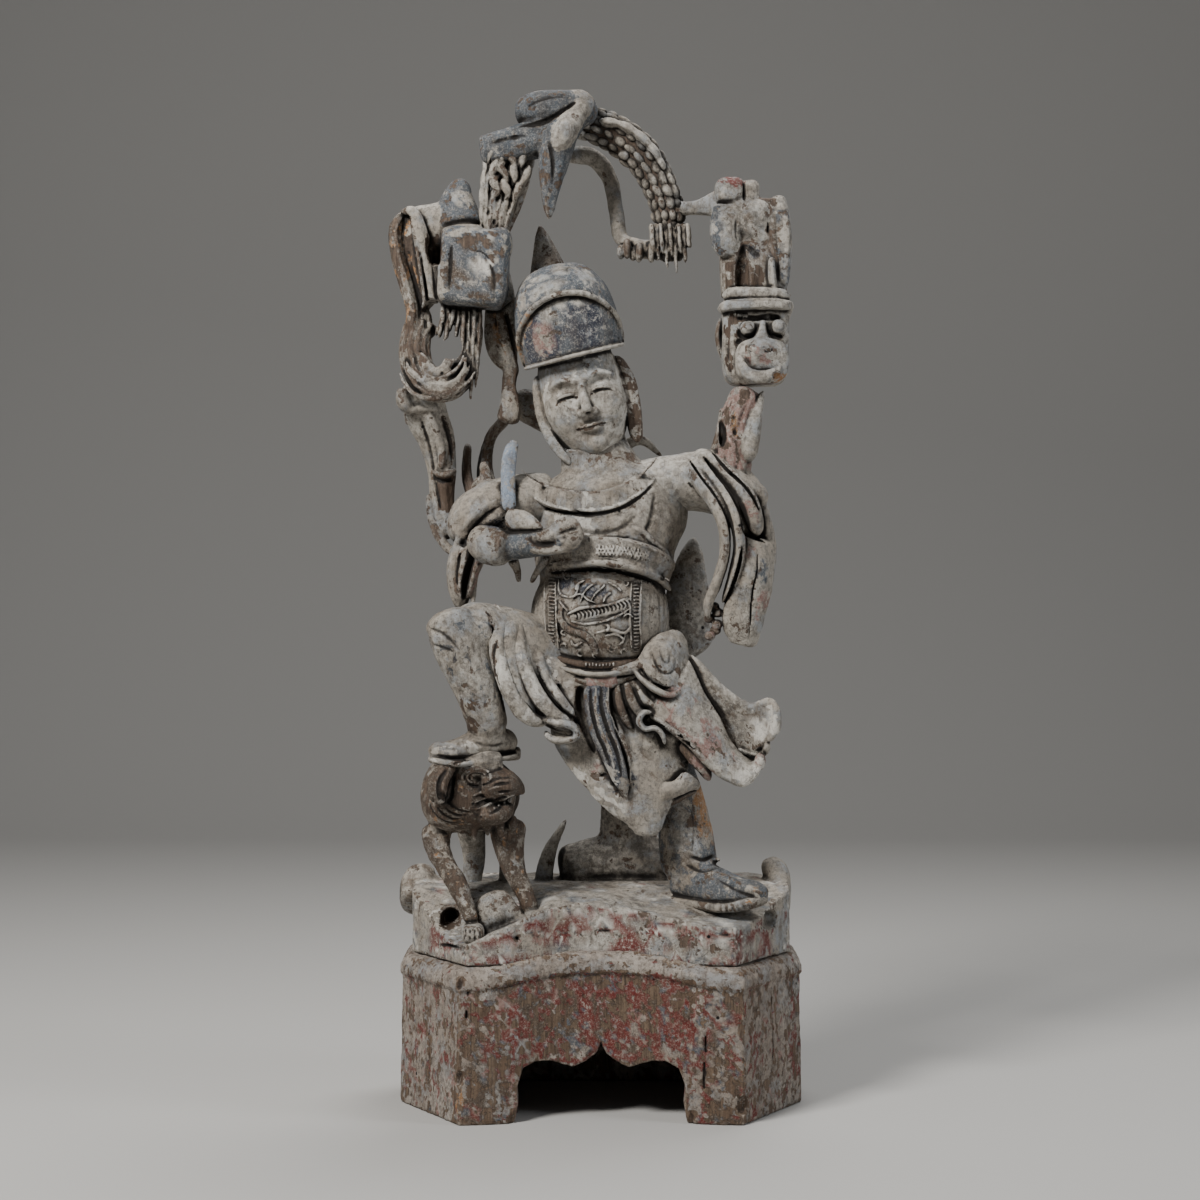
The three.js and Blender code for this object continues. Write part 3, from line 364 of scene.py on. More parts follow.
    def look(self, points):
        """The coat, hollow and bulge at points on the surface, as tables by name."""
        cells = points / self.cell - self.low
        steps = np.eye(3) * 0.6
        slope = np.stack([sample(self.field, cells + s) - sample(self.field, cells - s) for s in steps],
                         axis=-1)
        normal = unit(slope)
        # How closed in each point is, from the distance a little way out along its normal; the material
        # darkens by it as painted shade and dirt in recesses.
        far = self.reach / self.cell
        hollow = np.clip(1 - sample(self.field, cells + normal * far) / (far * self.cell), 0, 1)
        # How far the surface curves in or out round each point; the material darkens creases by it as painted
        # shade and lightens ridges by it as wear and painted highlight.
        near = self.near / self.cell
        around = sum(sample(self.field, cells + s * near / 0.6) + sample(self.field, cells - s * near / 0.6)
                     for s in steps)
        bulge = around / 6 / (near * self.cell)
        wander = np.stack([noise(points, 2.2, seed) - 0.5 for seed in (11, 12, 13)], axis=-1) * 1.8
        coat_cells = np.rint(cells - normal * 0.6 + wander * (1 - normal**2) / self.cell).astype(int)
        coat_cells = np.clip(coat_cells, 0, np.array(self.paint.shape) - 1)
        coat = self.paint[tuple(coat_cells.T)]
        return normal, coat, hollow, bulge

    def roughen(self, size, upright, depth, seed):
        """Leaves the small unevenness of worn boards on the whole skin."""
        skin = np.argwhere(np.abs(self.field) < 1.9 * self.cell)
        places = (skin + self.low) * self.cell / (1, 1, upright)
        self.field[tuple(skin.T)] += depth * (noise(places, size, seed) - 0.5)

    def finish(self, name, material, node="figure", turn=(0, 0, 0), move=(0, 0, 0), thin=0.03):
        """Turns the wood into one mesh piece that stands for a solid of the frame."""
        grid = vdb.FloatGrid(float(self.far))
        grid.copyFromArray(self.field, tolerance=0.0)
        points, tris, quads = grid.convertToPolygons(isovalue=0, adaptivity=thin)
        points = points.astype(float)
        places = (points + self.low) * self.cell
        faces = [tris.astype(np.int64), quads.astype(np.int64)]
        keep = whole_bodies(places, faces)
        renumber = np.cumsum(keep) - 1
        faces = [renumber[part[keep[part[:, 0]]]] if len(part) else part for part in faces]
        places = places[keep]
        normal, coat, hollow, bulge = self.look(places)
        tool = (noise(places * (1, 1, 0.35), 3.1, 5) - 0.5) * 0.42 + (noise(places, 1.3, 6) - 0.5) * 0.22
        places = places + normal * tool[:, None]
        places = turned(places, turn) + np.array(move)
        return make_piece(name, places, faces, coat, hollow, bulge, material, node)


def whole_bodies(points, faces):
    """Which points belong to outward-facing bodies bigger than a crumb."""
    edges = np.concatenate([part[:, [i, (i + 1) % part.shape[1]]]
                            for part in faces if len(part) for i in range(part.shape[1])])
    label = np.arange(len(points))
    while True:
        low = np.minimum(label[edges[:, 0]], label[edges[:, 1]])
        after = label.copy()
        np.minimum.at(after, edges[:, 0], low)
        np.minimum.at(after, edges[:, 1], low)
        after = after[after]
        if np.array_equal(after, label):
            break
        label = after
    volume = np.zeros(len(points))
    for part in faces:
        for i in range(1, part.shape[1] - 1):
            a, b, c = points[part[:, 0]], points[part[:, i]], points[part[:, i + 1]]
            volume += np.bincount(label[part[:, 0]], (a * np.cross(b, c)).sum(axis=1) / 6, len(points))
    if volume.sum() < 0:
        raise RuntimeError("The faces look inwards.")
    return volume[label] > 20


def make_piece(name, places, faces, coat, hollow, bulge, material, node):
    """A mesh piece in metres in the frame of the solids, with what its material reads kept at its points."""
    mesh = bpy.data.meshes.new(name)
    metres = ((places + (CENTRING_X, 0, 0)) * METRES).astype(np.float32)
    sizes = np.concatenate([np.full(len(part), part.shape[1]) for part in faces])
    corners = np.concatenate([part.ravel() for part in faces]).astype(np.int32)
    mesh.vertices.add(len(metres))
    mesh.vertices.foreach_set("co", metres.ravel())
    mesh.loops.add(len(corners))
    mesh.loops.foreach_set("vertex_index", corners)
    mesh.polygons.add(len(sizes))
    mesh.polygons.foreach_set("loop_start", (np.cumsum(sizes) - sizes).astype(np.int32))
    mesh.polygons.foreach_set("use_smooth", np.ones(len(sizes), bool))
    mesh.update(calc_edges=True)
    mesh.validate()
    table = np.array([linear(code) + (1,) for code, _, _ in COATS.values()])
    over = np.array([row[1] for row in COATS.values()])
    bare = np.array([row[2] for row in COATS.values()])
    for label, kind, values in (
        ("pigment", "FLOAT_COLOR", table[coat]),
        ("covered", "FLOAT", over[coat]),
        ("bare", "FLOAT", bare[coat]),
        ("hollow", "FLOAT", hollow),
        ("bulge", "FLOAT", bulge),
    ):
        data = mesh.attributes.new(label, kind, "POINT").data
        data.foreach_set("color" if kind == "FLOAT_COLOR" else "value",
                         np.asarray(values, np.float32).ravel())
    mesh.materials.append(material)
    piece = bpy.data.objects.new(name, mesh)
    bpy.context.scene.collection.objects.link(piece)
    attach(piece, "root")
    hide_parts(node)
    return piece


# The coats that are left on the wood, each by the number kept in a carving: its colour, how much of the gesso
# it covers, and how far it is bare wood.
COATS = {
    "gesso": ("#b9b4aa", 0.0, -0.08),
    "slate": ("#47515b", 0.9, 0.0),
    "deep_blue": ("#1a2538", 0.95, -0.1),
    "red": ("#621a15", 0.95, -0.08),
    "ochre": ("#9c6b33", 0.85, -0.02),
    "bare": ("#574535", 0.85, 0.35),
    "ribbon": ("#7d8c9e", 0.9, -0.1),
    "pink": ("#8f6c64", 0.85, 0.0),
    "grey": ("#74716c", 0.8, 0.0),
    # Near-black laid in cuts, grooves, mouths and gaps behind parts as painted shade; also the pupils of one
    # beast and a few dark specks on the plinth.
    "dark": ("#2a211a", 1.0, 0.4),
    "dust": ("#74675a", 0.8, 0.05),
    "pale": ("#c2beb4", 0.75, -0.16),
    # Black laid in the deepest cuts, the eye of a curl and the mouths, as painted shade.
    "black": ("#15110e", 1.0, 0.2),
    "umber": ("#4a3c2f", 0.9, 0.15),
    "white": ("#d2cec5", 0.9, -0.3),
}
(GESSO, SLATE, BLUE, RED, OCHRE, BARE, RIBBON, PINK,
 GREY, DARK, DUST, PALE, BLACK, UMBER, WHITE) = range(len(COATS))


def carve_crest():
    """The cloud-shaped cap on top, the wedge to the left and the long spike hanging over the hat."""
    wood = Carving((-63, -34, 386), (8, 14, 457), 0.6)
    wood.add(ball((-20.1, -8, 443), (18.5, 15.5, 9.2), square=2.4), SLATE)
    wood.add(ball((-10.7, -12, 444), (7.5, 9, 7.6), square=2.4), GESSO, 2)
    wood.add(ball((-27.1, -14, 443.6), (10, 8, 6)), SLATE, 2)
    wood.grow([(-53.2, -8, 424.7), (-39.6, -11, 427.3), (-17.4, -12, 433.3)], [6.8, 7.6, 9], [10, 11, 11],
              SLATE, 1.5, square=3.4, relief=strands(9, 0.5, 0.1))
    spine = [(-10.2, -12, 442.2), (-18.1, -18, 430.8), (-21.2, -20, 417.2), (-22.5, -20, 406.1),
             (-23, -19, 393)]
    wood.grow(spine, [6, 8, 6.6, 4.4, 1.4], [8, 9, 8, 5, 1.6], SLATE, 1.5, square=2.6,
              relief=strands(5, 0.8, 0.2))
    wood.grow([(-5.8, -16, 446.7), (-11, -22, 439.3), (-16.2, -27, 429.6), (-19.8, -25, 422)],
              [3.5, 4.5, 5, 2.5], [3, 4, 4.4, 2.5], GESSO, 2)
    for groove in (
        ([(-36.8, -16, 433.9), (-29.6, -20, 434.9), (-22.5, -22, 436.7), (-15.4, -22, 440.6),
          (-11, -20, 444.6)], 2.6, 2),
        ([(-34.2, -14, 441.8), (-27.1, -16, 445.4), (-19.1, -16, 447.2), (-12, -16, 446.3)], 2, 0.8),
        ([(-23.4, -20, 428.2), (-21.1, -24, 416.5), (-21.6, -24, 405.5)], 1.6, 1),
        ([(-49.3, -14, 426.7), (-41.2, -16, 428.5), (-32.3, -18, 429.9)], 1.4, 0.8),
    ):
        wood.score(*groove)
    return wood


def carve_mane():
    """Thick locks that fall from under the wedge to the beast on the left: long ones below, curly ones
    over them.
    """
    wood = Carving((-62, -30, 376), (-26, 8, 434), 0.5, reach=2.2, near=1.1)
    wood.grow([(-37, -5, 428), (-42, -7, 405), (-49, -6, 384)], [9, 7.6, 5], [4, 4, 3], DUST, 0.3)
    for i in range(8):
        sway = math.sin(2.4 * i)
        path = [
            (-50.5 + 2.5 * i, -10, 427.5 - 0.6 * i), (-51 + 2.4 * i + 0.8 * sway, -13 - i % 2, 418),
            (-52.3 + 2.1 * i - 0.7 * sway, -13.5, 408), (-52.9 + 1.7 * i, -13, 397 - 1.5 * (i % 3)),
            (-53.4 + 1.35 * i, -12, 387 - 2 * (i % 3)),
        ]
        lock = sweep(path, [1.2, 1.75, 1.8, 1.6, 0.7], [2.4, 3, 3, 2.6, 1.6],
                     relief=both(rings_round(7.5 + 0.4 * i, 0.7, 0.35), strands(3, 0.3)), fine=0.6)
        wood.add(lock, (GESSO, PALE)[i % 2], 0.3)
    for i in range(11):
        row, place = divmod(i, 4)
        x, z = -47.5 + 4.6 * place + 1.2 * row, 425.5 - 7.5 * row - 1.2 * place
        lean = 1.6 * math.sin(1.9 * i + 1)
        path = [(x, -15, z + 3), (x - 1.4 + lean, -17.5, z), (x - 1 - 0.6 * lean, -17, z - 4),
                (x - 2.4, -14.5, z - 7)]
        wood.grow(path, [1.3, 2.1, 1.8, 0.7], [1.8, 2.4, 2.2, 1], (PALE, GESSO, DUST)[i % 3], 0.3,
                  relief=strands(3, 0.35), fine=0.6)
    return wood


ARCH_MIDDLE = [(-10.3, -6, 439.8), (4.9, -4, 434.4), (18, -2, 424.9), (25.7, 0, 412.6), (30.2, 0, 398.7),
               (31.9, 0, 377.1)]


def carve_arch():
    """The body of the arch, its smooth inner loop, the strands at its end and the bar to the raised beast."""
    wood = Carving((-26, -22, 356), (66, 22, 448), 0.6, reach=2.2, near=1.1)
    # The body under the locks is near-black: painted shade that shows in the gaps between the locks.
    wood.grow(ARCH_MIDDLE, [7, 7.4, 7.4, 7, 6.4, 4.5], [4.2, 4.6, 5, 5, 4.6, 4], DARK, 0.5,
              relief=strands(12, 0.5, 0.1))
    top = [(-1.3, -9, 438.8), (8.9, -7, 436.9), (17.9, -6, 431.8), (24.7, -4, 424.5), (28.7, -3, 417.1)]
    wood.grow(top, [2.2, 2.5, 2.6, 2.4, 1.6], [5.4, 5.8, 5.8, 5.4, 4], PALE, 0.6,
              relief=both(rings_round(8, 0.7), strands(5, 0.4)))
    loop = [(-17.6, 6, 425.9), (-4.1, 10, 426.1), (3.6, 10, 417), (6.8, 8, 402.1), (9.5, 5, 387.9),
            (17.6, 2, 383.4), (28.4, 1, 382.8)]
    wood.grow(loop, [4.6, 4, 4, 3.4, 3.6, 4.2, 4.6], [6, 4.4, 4.2, 4, 4.2, 4.6, 4.6], GESSO, 1,
              relief=rings_round(26, 0.5))
    for i in range(7):
        x, z = 9 + 2.7 * i, 381.5 + 1.3 * math.sin(2 * i)
        wood.add(ball((x, -1 - 2 * (i % 2), z), (1.9, 3.4, 3.2 + 1.4 * (i % 2))), (GESSO, DUST)[i % 2], 0.4)
    for i in range(9):
        x = 23.2 + 2 * i
        drop = (11, 15, 12, 19, 14, 21, 12, 16, 9)[i]
        path = [(x - 0.6, -4 + i % 2, 394), (x, -5.5 + 1.5 * (i % 2), 385), (x + 0.7, -4, 392 - drop)]
        wood.grow(path, [1.3, 1.4, 0.7], [2.4, 2.6, 1.2], (GESSO, DUST, PALE)[i % 3], 0.3,
                  relief=rings_round(6, 0.4, 0.5), fine=0.6)
    wood.grow([(30, 0, 400.5), (42.7, -1, 401.4), (52, -3, 402.5), (58.9, -5, 402)],
              [3.6, 3.2, 6.2, 9.4], [4, 3.6, 5, 6], GREY, 2, square=2.6, relief=strands(3, 0.3))
    wood.mottle(ball((50, -4, 402), (12, 14, 12)), PALE, 4, 0.4, 41)
    return wood


def add_beast_face(wood):
    """The face under the cap: heavy brow, ball eyes, a flat snout and a broad grin, with one cheek
    split off.
    """
    wood.add(ball((69, -7, 342.4), (14.9, 11.5, 21.9), square=5), PALE, 0.4)
    wood.grow([(56, -14, 359.6), (58.5, -17, 360.6), (68.5, -19, 360.3), (78.9, -17, 360.1),
               (82.2, -14, 359.2)],
              [2.2, 2.8, 3, 2.8, 2.2], [3, 3.4, 3.6, 3.4, 3], PALE, 0.5, square=4, blunt=0.04)
    wood.grow([(54.7, -12, 354.5), (56.6, -18.5, 355.1), (68.4, -21, 355.7), (80, -19, 355.5),
               (83.1, -14, 354.7), (82.6, -14, 349.4)], [1.9, 2.3, 2.4, 2.3, 2, 1], [3, 3.6, 3.8, 3.6, 3, 2],
              PALE, 0.4, square=4, blunt=0.04)
    wood.score([(55.8, -26, 357.2), (61.9, -27, 357.1), (68.5, -27, 357.1), (75.1, -27, 357.1),
                (81, -24, 356.6)], 0.7, 0.7)
    wood.cut(sweep([(56.7, -25, 349.5), (62.8, -26, 350.2), (68.7, -24, 349.6), (74.3, -25, 350.3),
                    (80.9, -25, 349.5)], [1.6, 2.2, 1.6, 2.2, 1.6], [8, 9.4, 7, 9, 8], square=2.6), GREY, 0.5)
    # Near-black in the back of the grin and in the lower cheek hollows is painted shade.
    wood.coat(sweep([(56.7, -18, 350.3), (65.1, -17, 350.4)], 2.6, 5), DARK)
    wood.cut(ball((63.8, -25, 342.9), (5.4, 9, 4.6)), BARE, 0.6)
    wood.cut(ball((61.6, -25, 339.3), (4, 8, 3)), DARK, 0.6)
    wood.cut(ball((77.8, -25, 343.3), (4.8, 9, 4.6)), BARE, 0.6)
    wood.cut(ball((76.1, -25, 339.3), (2.2, 7, 2.4)), DARK, 0.6)
    for i in range(5):
        wood.add(ball((59.4 + 1.25 * i, -17.5, 351.7 - 0.25 * i), (0.7, 1.7, 1.5), fine=0.5), PALE, 0.2)
    for x, y, z in ((65.1, -17.5, 345.2), (78.4, -17.5, 345.7)):
        wood.add(ball((x, y, z), (3.7, 4.8, 3.6), fine=0.5), GESSO, 0.2)
        wood.score([(x - 2.6, -60, z - 0.6), (x, -60, z - 1.8), (x + 2.6, -60, z - 0.6)], 0.6, 0.4)
    wood.grow([(71.8, -17, 348.6), (71.2, -19, 343.5), (70.6, -21, 338.4)],
              [1.6, 2.4, 4.2], [2.6, 3.4, 4], PALE, 1)
    wood.add(ball((71.2, -18.5, 330.7), (11.9, 7, 10), square=3), PALE, 0.6)
    wood.add(ball((70.5, -23, 334.7), (8.2, 4.6, 5.8), square=2.2), GESSO, 1.6)
    wood.grow([(60.9, -22, 334.4), (61.6, -25, 328.8), (64.5, -27, 324.6), (69.3, -27.5, 322.8),
               (74.6, -27, 323.8), (79.2, -25, 327.5)], [1.4, 2.2, 2.7, 2.8, 2.5, 1.4],
              [1.6, 2, 2.2, 2.2, 2, 1.4], PALE, 1.2)
    # The slit of the lips is cut and laid black as painted shade.
    wood.cut(sweep([(62.7, -28, 333.3), (64, -29, 330.2), (67, -30, 327.6), (70.9, -30, 327.2),
                    (74.5, -29, 329.3), (75.9, -28, 332)], [0.5, 0.8, 1, 1, 0.8, 0.4], 3.2, fine=0.5),
             BLACK, 0.2)
    wood.mottle(ball((70.2, -27, 332.5), (7.4, 5, 5.4)), PINK, 2.6, 0.6, 58)
    wood.mottle(ball((70.2, -27, 336.1), (7.4, 5, 4.4)), GREY, 2.6, 0.5, 59)
    for x, start in ((66.71, 0.6), (73.3, 2.4)):
        z = 335.5
        ring = [(x + 2.1 * math.cos(start + a), -60, z + 1.7 * math.sin(start + a))
                for a in (0, 1.1, 2.2, 3.3, 4.2)]
        wood.score(ring, 0.7, 0.6, None, 0.2)
        wood.cut(ball((x, -28.2, z - 0.4), (0.7, 1, 0.5), fine=0.4), DARK, 0.2)
    for i in range(4):
        wood.score([(x + 1.15 * i, y, z - 0.8 * i)
                    for x, y, z in ((52.8, -60, 341.6), (52.8, -60, 334.8), (54.5, -60, 326.3))], 0.8, 0.7)
    wood.mottle(sweep([(54.9, -18, 348.1), (55.3, -18, 337.9), (57.5, -18, 325.9)], 1.8, 4), BARE, 3, 0.7, 47)
    wood.grow([(53.7, -6, 351.2), (52.4, -5, 343.7), (53.8, -4, 336.2), (56, -4, 329.9)],
              [1, 1.5, 1.5, 1], [2, 3, 3, 2], DUST, 0.6)
    wood.mottle(sweep([(60.2, -18, 319.7), (69.1, -18, 318.8), (77.5, -18, 319.3)], 2.6, 9),
                BARE, 2.4, 0.7, 56)
    wood.cut(ball((80.3, -33, 321), (5, 9.4, 3.8), square=6), OCHRE, 0.2)
    wood.coat(ball((81, -24, 321.8), (4.6, 9, 3.6), square=6), OCHRE)


def carve_raised_beast():
    """The beast head on the raised hand: a capped post with an ear, a heavy brow, ball eyes and a broad
    flat grin.
    """
    wood = Carving((46, -36, 312), (88, 16, 420), 0.5, reach=2.2, near=1.1)
    wood.grow([(68.2, -4, 403.4), (68.1, -5, 394.3), (68, -6, 376.3), (68.5, -6, 359.3)],
              [15, 15, 14.8, 14.6], [10.5, 11, 11, 10.5], DUST, square=3.4, blunt=0.05)
    wood.grow([(56.5, -13, 400.2), (55.1, -14.5, 391.1), (55.5, -14.5, 384), (56.9, -13, 378.4)],
              [6.4, 6.8, 6.4, 4.6], [5, 6, 5.6, 4], PALE, 1.6, square=2.8, blunt=0.06)
    wood.add(ball((65.4, -12, 395.5), (9.6, 7.4, 7.6), square=3), PALE, 3)
    wood.grow([(62.6, -14, 390.3), (68, -14, 388), (73.9, -12, 384.8)],
              [2.4, 2.6, 2.2], [4.6, 4.6, 4], PALE, 1.5, square=3)
    wood.mottle(sweep([(49.8, -14, 400), (48.8, -16, 388.2), (50.6, -14, 376.9)], 4, 14), SLATE, 5, 0.7, 51)
    wood.mottle(ball((62.4, -18, 393.2), (12, 8, 10)), DUST, 4, 0.3, 57)
    wood.grow([(78.6, 0, 403), (80.2, -3, 394), (80.9, -4, 378), (79.6, -5, 361.5)],
              [4.4, 4.6, 4.4, 3.6], [12, 13.4, 13, 11], GREY, 0.4, square=3)
    flank = sweep([(78.9, -16, 400.2), (80.3, -16, 384.6), (79.4, -16, 362.5)], 4.6, 14)
    wood.mottle(flank, SLATE, 6, 0.4, 52)
    wood.mottle(flank, GESSO, 3, 0.25, 53)
    wood.ridge([(82.2, -20, 396.4), (82.5, -22, 381.6), (81.7, -20, 364.2)], 2, 0.6, PALE, 0.4)
    # The two deep cuts down the post are laid black and dark as painted shade.
    wood.cut(sweep([(62.9, -24, 359.7), (62.5, -24, 369.4), (62.6, -23, 377.4), (64.1, -20, 385.4)],
                   [3.6, 3.6, 2.8, 0.6], [12, 12, 10, 5], square=2.8), BLACK, 0.3)
    wood.cut(sweep([(69.8, -27, 359.3), (69.8, -27, 369), (68.5, -26, 376.1), (66.5, -24, 382.1)],
                   [4.4, 4.4, 3.4, 1], [11, 10.5, 9, 5], square=2.8), DARK, 0.3)
    wood.mottle(sweep([(66.6, -22, 381.1), (69.8, -20, 371.7), (70.2, -20, 362)], [2, 4, 4], 9),
                GREY, 4, 0.3, 49)
    wood.score([(63.4, -60, 382.4), (66.8, -60, 379.9), (70.6, -60, 376.9)], 3, 0.9, BLUE, 0.2)
    wood.mottle(sweep([(57.6, -16, 374.9), (58.1, -16, 361.6)], 2.3, 6), BARE, 3, 0.75, 46)
    wood.grow([(75.4, -16, 376.7), (75.8, -17, 368.5), (76.7, -16, 360.7)],
              [1.4, 1.9, 1.6], [4, 4.4, 4], PALE, 0.5)
    wood.add(ball((57.6, -8, 406.8), (6.9, 9, 6.8), square=3), GREY, 1)
    wood.add(ball((66.6, -8, 406.4), (4.3, 8, 6), square=2.8), PALE, 1.2)
    wood.mottle(ball((58.8, -12, 410.2), (6.4, 9, 3.4)), RED, 3, 0.75, 54)
    wood.mottle(ball((57.3, -14, 403.6), (7, 8, 4)), PALE, 3, 0.5, 55)
    for groove in (
        ([(63.1, -14, 410.3), (63.5, -14, 405.4), (63.5, -14, 401.4)], 0.9, 1),
        ([(74.2, -14, 400.5), (73.6, -16, 390.9), (74.9, -16, 382), (77.3, -14, 377.8)], 1.1, 1.6),
        ([(60.1, -20, 395.5), (59.5, -22, 389.1), (60.5, -20, 382.3)], 0.9, 0.5),
    ):
        wood.score(*groove)
    wood.mottle(ball((66.2, -14, 392.9), (17, 12, 9)), GREY, 4, 0.3, 48)
    add_beast_face(wood)
    return wood


def add_blunt_snout(wood):
    """The grey block of the snout, with its upper lip, split side and the white chip on its front."""
    wood.add(ball((-56.4, -15, 371.9), (15.4, 12.5, 17.2), (0, 4, 0), square=6.5), SLATE, 0.8)
    wood.add(ball((-44.7, -18, 382.6), (5.6, 7, 7.2), square=2.6), SLATE, 1)
    wood.cut(ball((-43.1, -24, 349.1), (12, 20, 5), (0, -22, 0), square=4), GREY, 0.5)
    wood.cut(ball((-70.9, -24, 350.9), (9, 20, 5), (0, 30, 0), square=4), GREY, 0.5)
    wood.grow([(-69.8, -14, 386.7), (-61.6, -16, 388.2), (-51.9, -16, 388.2)],
              [3, 3.4, 3], [6, 8, 7], GREY, 2)
    for blots in (
        (ball((-55.9, -24, 370.3), (18, 14, 20)), UMBER, 6, 0.3, 62),
        (ball((-44.5, -24, 381.7), (7, 9, 8)), PALE, 2.6, 0.25, 63),
        (sweep([(-69.7, -22, 374.1), (-69.2, -22, 357.3)], 3.2, 7), PALE, 4, 0.7, 64),
    ):
        wood.mottle(*blots)
    for groove in (
        ([(-65.6, -24, 380.8), (-66, -24, 373.8), (-66.9, -24, 358.8)], 1.4, 0.9),
        ([(-49.1, -28, 373.2), (-46.9, -28, 367.1), (-46.9, -28, 356.6)], 1.2, 0.7),
        ([(-57.4, -28, 378.5), (-52.2, -28, 377.6), (-47.8, -28, 373.2)], 1, 0.4),
    ):
        wood.score(*groove)
    wood.coat(sweep([(-58, -26, 370.4), (-53.6, -26, 370.9), (-47.9, -26, 370)], [1.6, 3.2, 3], 6, square=6),
              WHITE)
    wood.coat(sweep([(-65.8, -20, 385.8), (-57.8, -22, 387.7), (-48.1, -22, 388.6)], 1.6, 8), PALE)
    wood.mottle(ball((-58.8, -28, 364), (3.4, 6, 2.4)), RED, 1.6, 0.6, 65)
    wood.cut(sweep([(-73.6, -22, 389.9), (-73.6, -22, 381.1), (-72.9, -20, 372.6)],
                   [2.4, 3.6, 2.8], [6, 9, 8]), BARE, 0.8)
    # The depth of the split is coated dark: painted shade.
    wood.coat(ball((-73.3, -14, 379.6), (3, 8, 8)), DARK)


def add_ropy_curl(wood):
    """The curl of ropes under the snout, and the strands that hang down in front of it."""
    curl = [(-78.1, -9, 355.3), (-81.9, -12, 344.3), (-82.6, -14, 333.4), (-79, -15, 324), (-71.5, -15, 320),
            (-64.4, -14, 323.2), (-59.6, -13, 331.7), (-57, -12, 342.5), (-57, -12, 353.2)]
    wood.grow(curl, [5.6, 6.8, 7.3, 7.6, 7.8, 7.2, 5.6, 4.6, 4.4],
              [5, 5.4, 5.8, 6.2, 6.2, 5.8, 5.2, 4.8, 4.6], DUST, 0.5, relief=strands(12, 1.3, 0.05, 22))
    hub_x, hub_z = -70.96, 334.988
    for i, (reach, paint, width) in enumerate(((8, DUST, 2.6), (12.2, UMBER, 1.2), (14.6, PALE, 1.5),
                                               (17.6, UMBER, 1.3), (20, DUST, 1.3))):
        rope = []
        for turn in np.linspace(-3.1 + 0.1 * i, 0.1 - 0.12 * i, 9):
            wave = reach + 0.8 * math.sin(3 * turn + 2 * i)
            rope.append((hub_x - 1.6 + wave * 0.92 * math.cos(turn), -20.4 + 0.18 * abs(reach - 14),
                         hub_z + wave * math.sin(turn) * 1.05))
        wood.grow(rope, [0.5 * width, width, width, width, 0.4 * width], [1, 1.3, 1.4, 1.3, 0.8], paint, 0.8,
                  relief=both(rings_round(6, 0.3, 1), strands(3, 0.3)), fine=0.6)
    for i in range(8):
        x = -70.52 + 2.306 * i
        drop = (12, 17, 9, 14, 30, 36, 40, 34)[i]
        path = [(x, -12 - i % 2, 357), (x + 0.5, -15.5 + i % 2, 352), (x - 0.4, -15.5, 353 - drop * 0.6),
                (x - 1.4, -14, 353 - drop)]
        wood.grow(path, [1, 1.25, 1.2, 0.6], [2, 2.6, 2.4, 1.4], (GESSO, DUST, PALE)[i % 3], 0.3,
                  relief=rings_round(6, 0.35, 0.6), fine=0.6)
    # A near-black body behind the strands fills the gap under the snout, and a black cut fills the eye of the
    # curl: both are painted shade.
    wood.grow([(-70.4, -4, 356.8), (-64.1, -4, 355), (-56.9, -4, 355)], 3, 7, DARK, 1)
    wood.cut(ball((-66.2, -14, 336.5), (4.6, 16, 5.4), (0, 20, 0)), BLACK, 0.5)


def add_strip_behind(wood):
    """The strip that hangs down behind the snout to the bent arm."""
    wood.grow([(-49.9, -2, 382.2), (-45.5, 0, 360), (-44.1, 0, 337.5), (-38.9, 0, 326.7)],
              [6.6, 7.2, 7.4, 1.8], [5, 4.6, 4.4, 2.4], DUST, 1, relief=strands(6, 0.4))
    wood.mottle(ball((-45, -2, 355), (10, 9, 30)), GREY, 7, 0.5, 66)
    wood.grow([(-51.5, -6, 378.1), (-45.1, -8, 367.1), (-42, -8, 357.2)], [4, 5, 3], [4, 4, 3], GREY, 1.5)
    wood.score([(-43.9, -6, 357.5), (-40.7, -6, 345.8), (-37.7, -4, 331.7)], 1.4, 1.2, BARE)
    wood.score([(-47.4, -6, 353.9), (-46.5, -6, 343.6), (-42.1, -4, 334)], 1.2, 0.6, OCHRE)
    wood.grow([(-40.1, 2, 332.3), (-41.4, 0, 321.8), (-40.9, -2, 311.2), (-42.2, -2, 304.1)],
              [3.8, 3.2, 4.8, 5], [4, 3.6, 4, 4], DUST, 0.8, square=3, relief=strands(6, 0.4))


